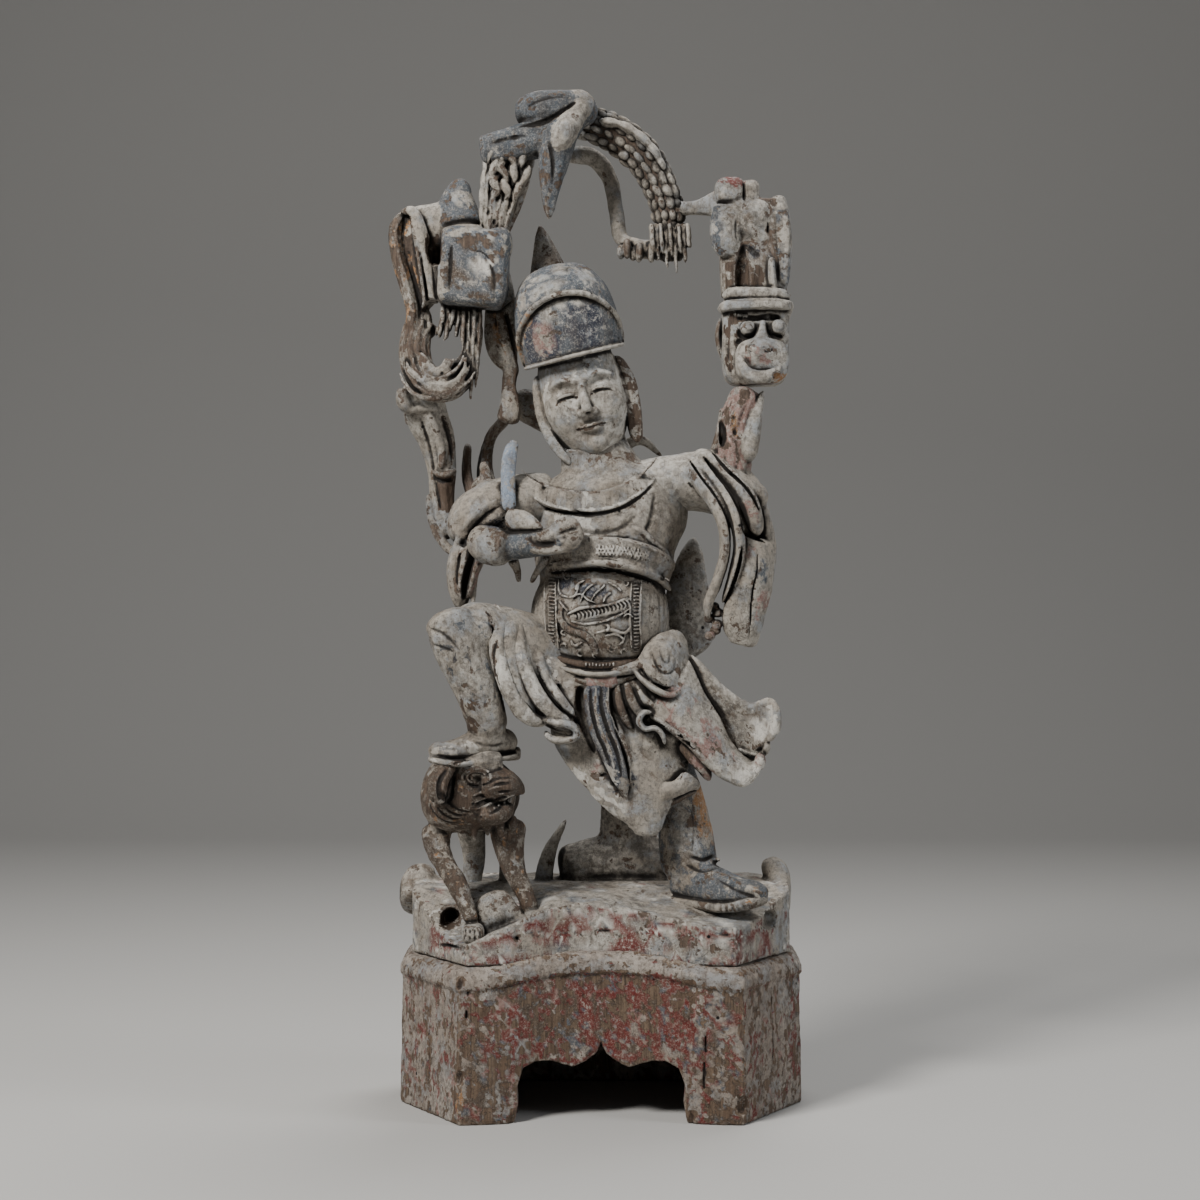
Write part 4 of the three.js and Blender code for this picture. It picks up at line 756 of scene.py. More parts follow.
def carve_left_beast():
    """The beast on the left: bands over its neck, a blunt grey snout, and the ropy curl that the bands
    run into.
    """
    wood = Carving((-94, -34, 298), (-34, 18, 418), 0.6, reach=2.4, near=1.2)
    wood.add(ball((-75.4, -2, 391), (15.5, 13, 11.5), (0, -8, 0), square=2.8), PALE)
    wood.grow([(-62.4, -2, 413.2), (-64.1, -4, 402.1), (-62.1, -8, 388.1)],
              [3.4, 8.2, 11], [7, 11, 12], SLATE, 2, square=2.6)
    wood.mottle(sweep([(-66, -18, 402.9), (-56.2, -18, 403.8)], 3.4, 18), PALE, 3, 0.6, 61)
    # A dark ball behind the snout and a dark ridged body under the bands are painted shade between the parts.
    wood.add(ball((-73.2, -2, 380.4), (7, 8, 13)), DARK, 1)
    wood.grow([(-83.6, -7, 394), (-83, -9, 379), (-80.3, -10, 365.5), (-78, -10, 352.1), (-80.7, -10, 340.9)],
              [8.2, 8, 6.6, 6, 6], [6, 6, 5.4, 5, 5], DARK, 1, relief=strands(10, 1, 0.05))
    outer = [(-88, -8, 397.9), (-91.4, -10, 390), (-89.9, -12, 377.2), (-86.3, -13, 364.6),
             (-83.6, -13, 353.1), (-85, -12, 342.5)]
    wood.grow(outer, [2.6, 3.2, 3.4, 3.4, 3.2, 3], [5, 6, 6, 6, 5.4, 5], DUST, 0.4,
              relief=strands(7, 0.6, 0.04))
    band = [(-88.7, -12, 397.522), (-83.378, -16, 397.078), (-80.273, -19, 388.208), (-77.169, -19, 376.677),
            (-75.395, -18, 365.146), (-74.508, -16, 355.389), (-76.725, -14, 343.858)]
    for shift, paint, width in ((0, PALE, 2.4), (3.326, GREY, 1.7), (-3.77, DUST, 1.3)):
        path = []
        for k, (x, y, z) in enumerate(band):
            aside = shift * min(1, k / 3)
            path.append((x + aside, y + 0.338 * abs(shift), z - 0.5 * aside))
        wood.grow(path, [0.6 * width, width, width, width, 0.9 * width, 0.9 * width, 0.8 * width], 3, paint,
                  0.4, relief=strands(4, 0.5, 0.06))
    wood.mottle(sweep(outer, 6, 12), OCHRE, 5, 0.3, 67)
    wood.mottle(sweep(outer, 6, 12), UMBER, 4, 0.3, 68)
    add_blunt_snout(wood)
    add_ropy_curl(wood)
    add_strip_behind(wood)
    return wood


def carve_pole():
    """The ridged pole under the curl runs down behind the bent arm, with thin strips beside it."""
    wood = Carving((-94, -22, 238), (-34, 26, 332), 0.6)
    shaft = [(-81.6, -9, 325.8), (-78.5, -4, 309.3), (-73.8, 0, 297), (-71.7, 2, 283.6), (-71.4, 2, 270.1),
             (-68.9, 0, 252.2)]
    wood.grow(shaft, [8.6, 9.8, 8.4, 6.6, 5.6, 4.6], [8, 8, 7, 6, 5.4, 5], GESSO,
              relief=strands(7, 0.7, 0.05))
    wood.grow([(-88.6, -12, 319.4), (-87.7, -12, 313.1), (-84.3, -10, 308.8)],
              [2.4, 3.4, 2.4], [5, 6, 4], GREY, 1.5)
    wood.ridge([(-84.6, -12, 309.1), (-78.6, -14, 310.3), (-73.3, -14, 310.3)], 3.2, 1.6, GESSO)
    wood.ridge([(-76.9, -14, 308.5), (-73.3, -14, 300.5), (-71.2, -12, 290.9), (-71.8, -10, 283.9)],
               3.4, 1.8, GESSO)
    wood.score([(-71.1, -14, 307.6), (-68, -14, 297.9), (-66.8, -12, 286.4)], 2, 1.2, BARE)
    wood.score([(-80.4, -14, 305.9), (-77, -12, 294.4), (-74.5, -10, 278.5), (-71.5, -8, 264.3)], 1.6, 1)
    wood.ridge([(-75.8, -10, 283), (-70.9, -10, 281.2), (-65.2, -8, 283.1)], 2.8, 1.6, DUST)
    wood.score([(-74.9, -10, 279.8), (-70.5, -10, 278.5), (-65.2, -8, 279.9)], 1.6, 1)
    wood.coat(sweep([(-68.6, -4, 281.5), (-68.7, -2, 264.5)], 5, 8), BARE)
    wood.grow([(-77.4, 0, 272.7), (-75.6, 0, 260.1), (-68.6, -4, 248.3), (-60.4, -6, 244.7)],
              [1.8, 2.2, 2.2, 2.6], 2.2, DUST, 1)
    wood.grow([(-87, -4, 309.3), (-86.2, -2, 304.1)], 1.6, 2, DUST, 1)
    wood.grow([(-41.6, 6, 308.7), (-50.6, 14, 297.9), (-52.5, 16, 280.7), (-43.6, 10, 261.3)],
              [2.8, 2.6, 4.2, 6], [4, 4, 5, 7], DUST, 1, relief=strands(5, 0.6))
    wood.grow([(-60.4, 10, 296.3), (-60.8, 10, 280.4), (-53.6, 0, 264.6)],
              [2.2, 2.6, 4], [2.4, 3, 6], BARE, 1, relief=strands(4, 0.4))
    wood.grow([(-57, -2, 273.5), (-55, -6, 277.8), (-51, -6, 279.6), (-48.9, -4, 275.2), (-49.9, -2, 271.7)],
              1.8, 2.4, GESSO, 0.8)
    return wood


def add_bare_forearm(wood):
    """The forearm up to the beast's neck, split and worn to bare wood."""
    forearm = [(64.7, -10, 319.5), (63.3, -11, 313.2), (60.2, -10, 300.8), (58.4, -10, 286.5),
               (57.5, -10, 278.5)]
    wood.grow(forearm, [6, 7.4, 8.6, 9, 8.6], [6.6, 7.4, 8.4, 9, 9], PINK, 1,
              relief=both(strands(9, 0.9, 0.12, 24), strands(17, 0.4, 0.05)))
    wood.grow([(72.1, -12, 318), (69.8, -14, 311.2), (67, -16, 299.5), (64.9, -14, 286.3)],
              [0.8, 2.4, 4, 4], [1.2, 3, 4.4, 4.4], PALE, 0.8)
    wood.grow([(54.5, -8, 310.8), (54, -10, 303), (51.7, -10, 293.7), (49.6, -8, 288.4)],
              [2, 2.4, 2.6, 2.6], [3, 3.4, 4, 4], DUST, 0.6, relief=strands(4, 0.6))
    wood.cut(sweep([(64.3, -24, 318.3), (63, -23, 314), (61.8, -21, 309.8)], [4, 4.2, 2], [7, 7, 4]),
             BARE, 0.6)
    wood.cut(sweep([(58.3, -20, 308.1), (58.7, -21, 302.7), (59.6, -20, 297)], [1, 1.9, 0.8], 3.6),
             OCHRE, 0.4)
    # The dark cut in the split is painted shade.
    wood.cut(sweep([(52.9, -14, 305), (53.7, -16, 298.6), (53.8, -14, 293.4)], [0.8, 1.9, 0.8], 3.6),
             DARK, 0.4)
    wood.cut(sweep([(60.4, -22, 299.1), (60.4, -22, 291.1), (61.3, -22, 283.2)], [0.4, 0.8, 0.3], 4),
             BARE, 0.3)
    wood.mottle(sweep([(56.4, -14, 316.1), (54.6, -14, 305), (52.1, -12, 292.7)], 5, 12), BARE, 4, 0.35, 75)
    wood.mottle(sweep([(59.6, -20, 309.8), (59.2, -20, 298.3)], 3, 8), OCHRE, 2.4, 0.16, 76)
    wood.grow([(42.5, 16, 253.6), (39.9, 18, 231.9), (39.9, 18, 206.7), (43.4, 15, 200)],
              [3, 9.2, 11, 10], [4, 5.4, 7, 6], GREY, 1)
    wood.mottle(ball((41, 14, 225), (12, 9, 28)), DUST, 5, 0.5, 77)


def carve_raised_arm():
    """The raised arm: a bare splintered forearm, and a sleeve in long folds that hangs open behind its
    rolled hem.
    """
    wood = Carving((-2, -34, 198), (80, 20, 330), 0.55, reach=2.4, near=1.2)
    wood.grow([(13, -2, 271.7), (31.8, -4, 277), (47.8, -6, 277.6), (60.2, -8, 271.2), (63.8, -9, 258.9)],
              [15, 13, 13.5, 12.5, 11], [18, 16, 14, 12, 11], PALE)
    wood.grow([(63.4, -6, 267.4), (66.5, -6, 255.4), (66.4, -7, 240)], [8, 8, 6.5], [10, 10, 8], PALE, 2)
    wood.cut(sweep([(43.7, -22, 260.3), (45.1, -18, 248), (43.1, -14, 225), (40.7, -8, 202.7)],
                   [4.5, 7.4, 8.5, 8], [14, 24, 26, 26]), DUST, 1.5)
    panel = [
        [(61.6, -16, 253.4), (65, -19, 252.9), (69, -19, 252.4), (74.3, -12, 251.7)],
        [(61.1, -18, 242.7), (64.4, -22, 241.8), (69.3, -21, 241.3), (74.8, -12, 240.6)],
        [(56.8, -16, 228.5), (61.9, -20, 226.8), (67.7, -19, 225.9), (73.4, -12, 225.9)],
        [(55.1, -14, 217), (59.4, -17, 214.4), (65.1, -17, 213.5), (70.4, -11, 215.2)],
        [(59.6, -12, 206.8), (62.2, -14, 205.5), (64.5, -13, 204.1), (66.4, -10, 204.9)],
    ]
    wood.add(drape(panel, 7, relief=lambda u, v: 0.5 * np.sin(2 * math.pi * (1.3 * u + 0.2 * v))), PALE, 1)
    folds = [
        ([(42.5, -6, 289.4), (47.7, -10, 288.3), (56.4, -15, 280.9), (64.6, -18, 275.5), (70.5, -16, 271.1),
          (70.7, -13, 265.9)], [3.2, 3.6, 4, 4.2, 3.8, 1.8], [5, 6, 6, 6, 5, 3], PALE),
        ([(46, -8, 289.8), (53.7, -15, 282.7), (60.5, -21, 275.3), (65.2, -23, 267.7), (68, -21, 259.4),
          (69.1, -17, 253.4)], [2.8, 3.9, 4.2, 4.2, 3.8, 1.6], [4, 5.4, 5.6, 5.6, 5, 3], GREY),
        ([(41.5, -10, 287.9), (49.2, -17, 279.5), (55.5, -23, 269.9), (59.3, -26, 260.1), (60.7, -25, 247.9),
          (58.2, -22, 234.7), (53.6, -17, 223.7)], [2.8, 3.7, 3.6, 2.9, 2.7, 2.6, 1.2],
         [4, 5, 5.4, 5.4, 5, 4.6, 3], PALE),
        ([(36.9, -12, 286.4), (43.8, -19, 277.2), (50.6, -24, 267.3), (54, -26, 256.6), (54.5, -25, 245.7),
          (51.2, -22, 233.4), (47.4, -18, 223.2), (47.5, -15, 215.2)], [2.4, 3.6, 3.6, 2.6, 2.4, 2.4, 2.2, 1],
         [4, 5, 5.4, 5.2, 5, 4.6, 4, 2.4], GESSO),
        ([(71.7, -12, 269.5), (72.9, -13, 259.7), (74.7, -13, 249), (74.3, -12, 236.6), (72.2, -11, 224.1),
          (67.4, -9, 206.3)], [2.2, 3.2, 3.4, 3, 2.6, 1], [4, 5, 5, 5, 4.4, 2], PALE),
    ]
    for path, widths, depths, paint in folds:
        wood.grow(path, widths, depths, paint, 0.7, fine=0.7)
    seams = [
        ([(38.7, -13, 287.7), (44.5, -22, 278.4), (50.4, -29, 270.1), (55.5, -32, 260), (57.3, -31, 248.6),
          (55.3, -28, 235.5), (51.2, -22, 224.1)], 0.6, 4.4),
        ([(45.8, -13, 288.1), (52, -23, 279.2), (57.8, -29, 271), (61.2, -31, 263), (62.6, -30, 255.6),
          (66.4, -25, 253.1), (71.3, -18, 250.7)], 1, 5.6),
        ([(49.9, -11, 289.6), (55.7, -20, 282.4), (62, -25, 276), (66.3, -26, 270.7), (69.2, -22, 264.7)],
         0.8, 5),
        ([(38, -20, 278), (42.6, -27, 272.4), (48.1, -31, 266.5)], 0.6, 4),
        ([(61.8, -28, 249.1), (60.5, -28, 239.9), (57.2, -25, 229.4), (54.3, -20, 222.3)], 0.8, 5),
        ([(68.5, -26, 247.8), (68.5, -26, 237.3), (66.8, -25, 229.4), (65.4, -20, 207.3)], 0.4, 3.4),
    ]
    for path, width, depth in seams:
        wood.cut(sweep(path, [0.5 * width] + [width] * (len(path) - 2) + [0.4 * width], depth, fine=0.5),
                 None, 0.4)
    for blots in (
        (sweep([(63.4, -24, 249.2), (62.9, -24, 229.4), (60.5, -20, 209.5)], 5, 10), GREY, 6, 0.35, 71),
        (sweep([(63.7, -26, 268.9), (65.5, -26, 258), (64.7, -24, 242.6)], 4, 9), PINK, 4, 0.5, 72),
        (ball((70.7, -20, 237.4), (3.4, 8, 6)), SLATE, 3, 0.6, 73),
        (sweep([(71.4, -16, 230.3), (69.8, -14, 216.1)], 4, 8), PINK, 3, 0.5, 74),
    ):
        wood.mottle(*blots)
    for i in range(6):
        wood.add(ball((50.2 + 2.2 * math.sin(2.3 * i), -14.5 - 0.8 * (i % 2), 222 - 2.6 * i), (2.5, 3, 2.2)),
                 (BARE, PINK)[i % 2], 0.4)
    add_bare_forearm(wood)
    return wood


def carve_bent_arm():
    """The bent arm: a wide sleeve at the shoulder, its hanging cuff, and the covered hand held before
    the belt.
    """
    wood = Carving((-80, -56, 214), (2, 20, 306), 0.65)
    wood.grow([(-19.1, 0, 269.1), (-41.5, -6, 267.2), (-56, -12, 260.7), (-60.9, -14, 248.2)],
              [14, 13, 12, 7.4], [16, 17, 15, 10.5], GESSO)
    wood.grow([(-58.1, -15, 248.1), (-61.1, -17, 238.3), (-62, -18, 228.5), (-62, -18, 220.1)],
              [8.4, 7.4, 5.4, 1.6], [11, 10, 8, 3], GESSO, 2)
    fold = [(-45.9, -22, 269.1), (-53.9, -28, 264), (-60.6, -26, 255.8), (-64.8, -22, 244.4),
            (-65.8, -20, 229.4)]
    for i in range(3):
        path = [(x + 4.6 * i, y - 1.4 * i, z - 4.4 * i) for x, y, z in fold]
        wood.ridge(path, 3.2, 1.3)
        wood.score([(x + 2.6, y, z - 2.2) for x, y, z in path], 1.5, 1.2, DUST if i == 0 else None)
    # The hollow under the folds is cut and laid dark as painted shade.
    wood.cut(sweep([(-53, -30, 249.1), (-56.9, -30, 240.3), (-59.6, -28, 230.3), (-60.6, -26, 223.7)],
                   [1.6, 2.6, 2.2, 0.8], [7, 8, 7, 4]), DARK, 0.6)
    wood.grow([(-52.3, -26, 247.8), (-55.5, -24, 237.3), (-58.8, -20, 225.9)],
              [1.6, 1.8, 1.2], [5, 5, 4], PINK, 0.6)
    wood.grow([(-54, -26, 251.4), (-47.6, -33, 248.6), (-40.4, -37, 247.2)],
              [7, 8.6, 7], [8, 8, 7], GREY, 1.5)
    wood.grow([(-59.1, -14, 251.7), (-42.4, -30, 248.7), (-28.6, -38, 249.6), (-16.9, -39, 250.6),
               (-8.5, -37, 250.4)], [6, 6.4, 6, 5.4, 4], [7, 7, 6.4, 6, 4], SLATE, 1.5)
    wood.grow([(-19.6, -38, 250.6), (-14.3, -42, 254), (-9.1, -40, 256.7)],
              [6.6, 7.4, 4.4], [4.6, 4.6, 3.6], GREY, 1.2, square=2.4)
    wood.grow([(-35.2, -38, 252.8), (-30.8, -41, 248), (-24.2, -43, 246.2), (-16.9, -43, 247.1),
               (-10.4, -40, 248.8)], 1.7, 2.2, GESSO, 0.5)
    # The dark cut under the cuff is painted shade.
    wood.cut(sweep([(-32.3, -46, 252.2), (-26.3, -46, 250.4), (-19.4, -46, 250.4)],
                   [1.6, 2.8, 1.6], [3, 4, 3]), DARK, 0.8)
    wood.grow([(-31.7, -38, 251.1), (-22.9, -42, 252.7), (-12.6, -42, 255.3)],
              [2, 3.4, 3.8], [3, 3.4, 3], GREY, 1)
    wood.grow([(-41, -34, 259.9), (-33.4, -39, 259.3), (-25.1, -43, 256.1)],
              [5, 4.4, 0.8], [3.4, 3, 1.4], GESSO, 0.8)
    for groove in (
        ([(-19.4, -44, 252.6), (-14.2, -46, 254.3), (-9.1, -44, 255.7)], 1.1, 0.8),
        ([(-19.4, -44, 250.76), (-14.2, -46, 252.46), (-9.1, -44, 253.76)], 1.1, 0.8),
        ([(-19.4, -44, 253.36), (-14.2, -46, 255.06), (-9.1, -44, 256.36)], 1.1, 0.8),
    ):
        wood.score(*groove)
    wood.coat(ball((-45.6, -28, 257), (6, 10, 4)), BLUE)
    ribbon = [(-38.7, -12, 296.2), (-40.7, -18, 286.1), (-41, -22, 275.7), (-40.4, -26, 263.7)]
    wood.grow(ribbon, [2.8, 3.5, 3.4, 3.2], [2.2, 2.4, 2.4, 2.4], RIBBON, 0.6, relief=strands(11, 0.55))
    wood.grow([(-52.2, -10, 271.8), (-51.4, -8, 278.6), (-52.9, -4, 286.9)], [4, 3, 1.6], [4, 3, 2], DUST, 1)
    wood.grow([(-23.3, -24, 243.9), (-27.8, -22, 238.2), (-31, -18, 232.5)],
              [2, 1.6, 1.2], [2, 2, 1.5], GESSO, 0.6)
    wood.grow([(-39.1, -26, 243.5), (-37, -22, 238.2), (-36.3, -18, 233)],
              [2.6, 1.8, 0.8], [3, 2, 1.2], GREY, 0.8)
    return wood


BELLY_CENTRE = (-0.4, -8, 217.4)
BELLY_RADII = (31, 29, 30)


def carve_torso():
    """Chest and collar, the belt, the round belly with its dragon panel, and the back of the robe."""
    wood = Carving((-42, -52, 176), (46, 30, 308), 0.55, reach=2.3, near=1.1)
    wood.grow([(2.3, 8, 277.6), (0.5, 12, 225), (5, 12, 184.1), (7, 9, 168)], [24, 29, 30, 24],
              [14, 16, 16, 13], GESSO, relief=strands(15, 1.5, 0.06, 60))
    wood.grow([(-30, 14, 243), (-14, 25, 246), (2, 28, 247), (18, 25, 245), (33, 14, 240)],
              5, 2.5, GREY, 0.6, square=3)
    wood.grow([(5, 2, 287.2), (4.9, -4, 269.8), (2.2, -8, 249.6), (0.4, -8, 225)],
              [17, 34, 31, 31], [15, 23, 25, 27], PALE, 3, blunt=0.2)
    wood.add(ball(BELLY_CENTRE, BELLY_RADII), GESSO, 3)
    wood.grow([(-5.9, 0, 303.8), (-3.1, -2, 292.4), (1.3, -4, 277.9)],
              [14.5, 15.5, 20], [14, 15, 18], GREY, 2)
    for i in range(6):
        wood.add(ball((-2.6 + 0.7 * i, -8.6 + 0.4 * i, 292 - 2.7 * i), (13.2 + 0.9 * i, 9.2 + 0.5 * i, 1.6),
                      (0, -7 + i, 0)), (GREY, DUST)[i % 2], 1.2)
    wood.mottle(ball((0, -16, 288), (20, 14, 8)), DUST, 2.6, 0.4, 80)
    collar = [(-35.8, -6, 278.3), (-23.4, -21, 270.9), (-9.2, -28, 268), (4.8, -28, 269.3),
              (17.2, -21, 275.8), (25.5, -8, 284.4)]
    wood.grow(collar, 4.6, 2.4, PALE, 1.2, square=2.8)
    wood.ridge([(x, -60, z - 3.8) for x, _, z in collar], 1.3, 0.9, WHITE, 0.4)
    wood.score([(x, -60, z - 5.4) for x, _, z in collar], 1.2, 0.9)
    wood.ridge([(x, -60, z + 4) for x, _, z in collar], 1.5, 0.7, DUST)
    folds = [
        ([(-19.5, -40, 261.4), (-11.7, -42, 256.6), (-1.3, -42, 254.4), (9.1, -40, 256.7), (17, -36, 264.2)],
         1.6, 0.6),
        ([(-13.4, -40, 264.9), (-4.8, -42, 261.8), (6.5, -40, 262.7), (17, -34, 268.6)], 1.3, 0.4),
        ([(23.7, -28, 272.4), (22.3, -32, 262.1), (18.8, -34, 252.9)], 1.8, 0.9),
    ]
    for path, width, depth in folds:
        wood.score(path, width, depth, None, 1.2)
    for rise in (0, 1.7):
        wood.score([(x, -60, z - rise) for x, _, z in ((-7.8, -42, 252.3), (-0.4, -42, 251.4),
                                                       (6.5, -42, 251.4), (12.6, -40, 252.3))], 0.7, 0.6)
    wood.ridge([(14.3, -40, 256.7), (19.1, -38, 254.1), (24.4, -34, 249), (30.7, -28, 244.3)], 2.6, 1.5, PALE)
    # The groove under the ridge is laid dark as painted shade.
    wood.score([(15.6, -40, 254.9), (20.4, -38, 251.9), (24.9, -34, 247.2), (29.4, -28, 242.5)],
               2, 2.6, DARK, 0.3)
    wood.score([(16, -40, 249.7), (20.4, -38, 246.7), (25.8, -30, 242.5)], 1.2, 1.4)
    wood.mottle(ball((6, -30, 262), (34, 20, 14)), DUST, 7, 0.16, 81)
    wood.mottle(ball((-14, -30, 262), (14, 20, 12)), WHITE, 6, 0.25, 82)
    belt = [(-24.4, -16, 244.5), (-15.3, -29, 246.9), (-1.3, -35, 247.2), (14.4, -32, 245.5),
            (24.2, -24, 241.7), (30.8, -10, 237)]
    wood.grow(belt, 5.6, 3.2, GREY, 0.4, square=3.4)
    for rise in (4.6, -4.4):
        wood.ridge([(x, -60, z + rise) for x, _, z in belt], 1.3, 0.9, PALE, 0.4)
    for i in range(15):
        x = -1.5 + 1.55 * i
        z = 246.4 - 0.0042 * (x - 2) ** 2 - max(x - 12, 0) * 0.12
        for lean in (-1.2, 1.2):
            wood.ridge([(x - lean, -60, z + 2.4), (x, -60, z), (x + lean, -60, z - 2.4)],
                       0.75, 0.55, WHITE, 0.15)
    wood.mottle(ball((-14, -30, 246), (13, 14, 6)), DUST, 2.4, 0.5, 83)
    edge = [(-24.3, -18, 239.6), (-12.7, -32, 240.7), (1.3, -38, 241.1), (15.3, -34, 238.5),
            (24.2, -25, 235.1), (30.8, -10, 229.5)]
    wood.grow(edge, 1.7, 2.4, PALE, 0.5)
    # The groove under the belt's edge is laid dark as painted shade.
    wood.score([(x, -60, z - 2.8) for x, _, z in edge], 2, 1.9, DARK)
    return wood


def on_belly(x, z, proud=0):
    """A place on the front of the belly panel."""
    across, up = (x - BELLY_CENTRE[0]) / BELLY_RADII[0], (z - BELLY_CENTRE[2]) / BELLY_RADII[2]
    deep = BELLY_RADII[1] * math.sqrt(max(1 - across**2 - up**2, 0.09))
    return (x, BELLY_CENTRE[1] - deep - proud, z)


def carve_belly():
    """The round belly and its panel in low relief: ladder borders, cloud scrolls, and a dragon with a
    ribbed back.
    """
    wood = Carving((-38, -48, 182), (38, 6, 244), 0.42, reach=1.9, near=0.9)
    wood.add(ball(BELLY_CENTRE, BELLY_RADII), PALE)
    rows = []
    for rise in np.linspace(0, 1, 7):
        row = []
        for across in np.linspace(0, 1, 9):
            x = -24.231 + 41.972 * across - 1.514 * math.sin(math.pi * rise) * (1 - across)
            bow = math.sin(math.pi * across)
            z = (236.25 + 3.462 * bow) * (1 - rise) + (201.202 - 3.462 * bow) * rise
            row.append(on_belly(x, z, 0.1))
        rows.append(row)
    wood.add(drape(rows, 2.4, fine=0.6), DUST, 0.2)

    def line(points, width, height=0.9, paint=PALE, **more):
        wood.ridge([on_belly(x, z, 3) for x, z in points], width, height, paint, 0.25, **more)

    for top, x in ((-24.88, -24.448), (-19.904, -19.472), (13.414, 12.548), (17.741, 16.875)):
        line([(top, 234.519), (x, 218.51), (x + 0.865, 202.5)], 1.1, 1)
    for i in range(21):
        z = 234.519 - 1.601 * i
        line([(-23.366, z), (-20.121, z - 0.346)], 1, 0.8, GREY)
        line([(13.846, z), (16.659, z + 0.26)], 1, 0.8, GREY)
    line([(-23.37, 236.25), (-13.41, 238.63), (-1.73, 239.5), (9.09, 238.63), (17.31, 236.25)], 1.2, 1)
    line([(-23.37, 201.2), (-13.41, 198.82), (-1.73, 197.96), (9.09, 198.82), (17.31, 201.2)], 1.3, 1)
    curls = (
        (-15.14, 235.38, 1.904, 0),
        (-8.22, 236.9, 2.163, 2),
        (-0.87, 237.33, 1.99, 0.4),
        (6.49, 236.47, 2.25, 2.4),
        (10.82, 231.92, 1.731, 4),
        (-9.09, 202.5, 2.163, 1),
        (-16.01, 204.66, 1.904, 3),
        (4.33, 204.23, 2.423, 0),
        (10.38, 202.5, 1.99, 2.2),
        (9.09, 208.99, 1.904, 4.4),
        (-2.16, 201.2, 1.731, 1.6),
        (-16.44, 211.15, 1.558, 0.8),
    )
    for x, z, reach, start in curls:
        curl = []
        for k in range(6):
            out, turn = reach * (1 - 0.16 * k), start + 0.95 * k
            curl.append((x + out * math.cos(turn), z - out * math.sin(turn)))
        line(curl, 1.05, 1)
    spine = [(-15.14, 218.51), (-9.09, 221.32), (-1.73, 222.19), (4.76, 223.05), (12.12, 226.3)]
    line(spine, 1.6, 1.4)
    line([(-12.55, 217.64), (-6.49, 218.51), (1.3, 219.81), (9.09, 222.4), (13.41, 225.87)], 5.6, 1.2, PALE)
    line([(-13.41, 215.91), (-7.36, 214.62), (1.3, 215.91), (8.22, 218.51), (13.41, 221.97)], 1.2, 1.1)
    for i in range(15):
        part = i / 14
        x, z = -11.683 + 23.366 * part, 219.808 + 3.894 * part + 1.298 * part * part
        rib = ((x, z), (x + 1.471, z - 1.471), (x + 1.298, z - 3.462 + 0.865 * part))
        wood.score([on_belly(*place, 3) for place in rib], 0.75, 0.8)
    tail = [(-16.44, 222.4), (-17.74, 217.21), (-14.28, 212.45), (-7.36, 209.86), (-3.46, 205.53),
            (-1.73, 199.9)]
    line(tail, 3.2, 1.8, DUST, relief=rings_round(2.2, 0.3))
    line([(-2.16, 210.72), (3.89, 212.02), (10.38, 210.72), (12.98, 213.32)], 1.6, 1.2)
    line([(1.3, 208.99), (5.63, 210.29), (9.95, 207.69), (7.36, 205.1)], 1.3, 1.1)
    for points in ([(-18.61, 235.82), (-17.74, 227.6), (-11.68, 226.73), (-9.09, 233.65)],
                   [(-12.55, 225.87), (-9.09, 227.6), (-5.63, 225), (-2.16, 223.7)],
                   [(-9.09, 223.7), (-7.79, 227.6), (-4.76, 231.06), (-1.73, 232.36)],
                   [(-4.76, 224.13), (-2.16, 228.03), (0.43, 230.19), (2.16, 232.36)],
                   [(0.87, 223.7), (2.16, 226.73), (4.76, 228.46)],
                   [(-18.61, 225), (-16.44, 222.4), (-14.28, 219.81)],
                   [(2.6, 232.79), (6.49, 231.06), (9.09, 228.46)],
                   [(-11.25, 229.33), (-9.95, 231.92), (-6.92, 233.65)],
                   [(-13.41, 207.69), (-11.68, 205.1), (-7.79, 206.83)],
                   [(1.3, 214.62), (3.46, 213.32), (2.16, 211.15)],
                   [(9.09, 217.21), (11.68, 218.94), (14.28, 217.21)],
                   [(-19.47, 215.48), (-19.04, 210.29), (-17.74, 205.96)]):
        line(points, 1.05, 1.15)
    for spot in ((-14.5, 232.14, 4.6, 4.2), (-5.41, 228.46, 4.8, 3.2), (0.87, 227.6, 3, 1.8)):
        x, z, half_width, half_height = spot
        wood.coat(ball(on_belly(x, z), (half_width, 2.6, half_height)), BLUE)
    for top, bottom, paint in ((232.395, 224.13, OCHRE), (222.39, 219.78, GREY), (219.78, 207.6, OCHRE)):
        wood.coat(sweep([(-29.145, -34, top), (-30.015, -34, bottom)], 3, 9), paint)
    wood.coat(sweep([(22.2, -36, 235.9), (23.9, -38, 225), (23.9, -36, 211.9)], 4.4, 9), PINK)
    wood.coat(sweep([(26.3, -30, 231.6), (28, -30, 220.6), (27.6, -30, 207.5)], 2.4, 9), BARE)
    for groove in (
        ([(20.4, -40, 235.8), (21.7, -40, 222.8), (21.2, -40, 207.7)], 1.1, 0.9),
        ([(23.7, -60, 237.1), (25.4, -60, 222.8), (24.5, -60, 207.7)], 1.1, 1.3),
        ([(26.12, -60, 237.1), (27.82, -60, 222.8), (26.92, -60, 207.7)], 1.1, 0.8),
    ):
        wood.score(*groove)
    lip = [(-26.6, -16, 202.2), (-18, -28, 196.5), (-1.3, -34, 193.4), (14.5, -28, 195.7), (28, -12, 200.8)]
    wood.grow([(x, y + 0.6, z + 2.6) for x, y, z in lip], [1.4, 1.8, 2, 1.8, 1.4], 2.2, BARE, 0.3)
    wood.grow([(x, y - 0.4, z - 0.8) for x, y, z in lip], [1.2, 1.4, 1.5, 1.4, 1.2], 2.4, PALE, 0.3)
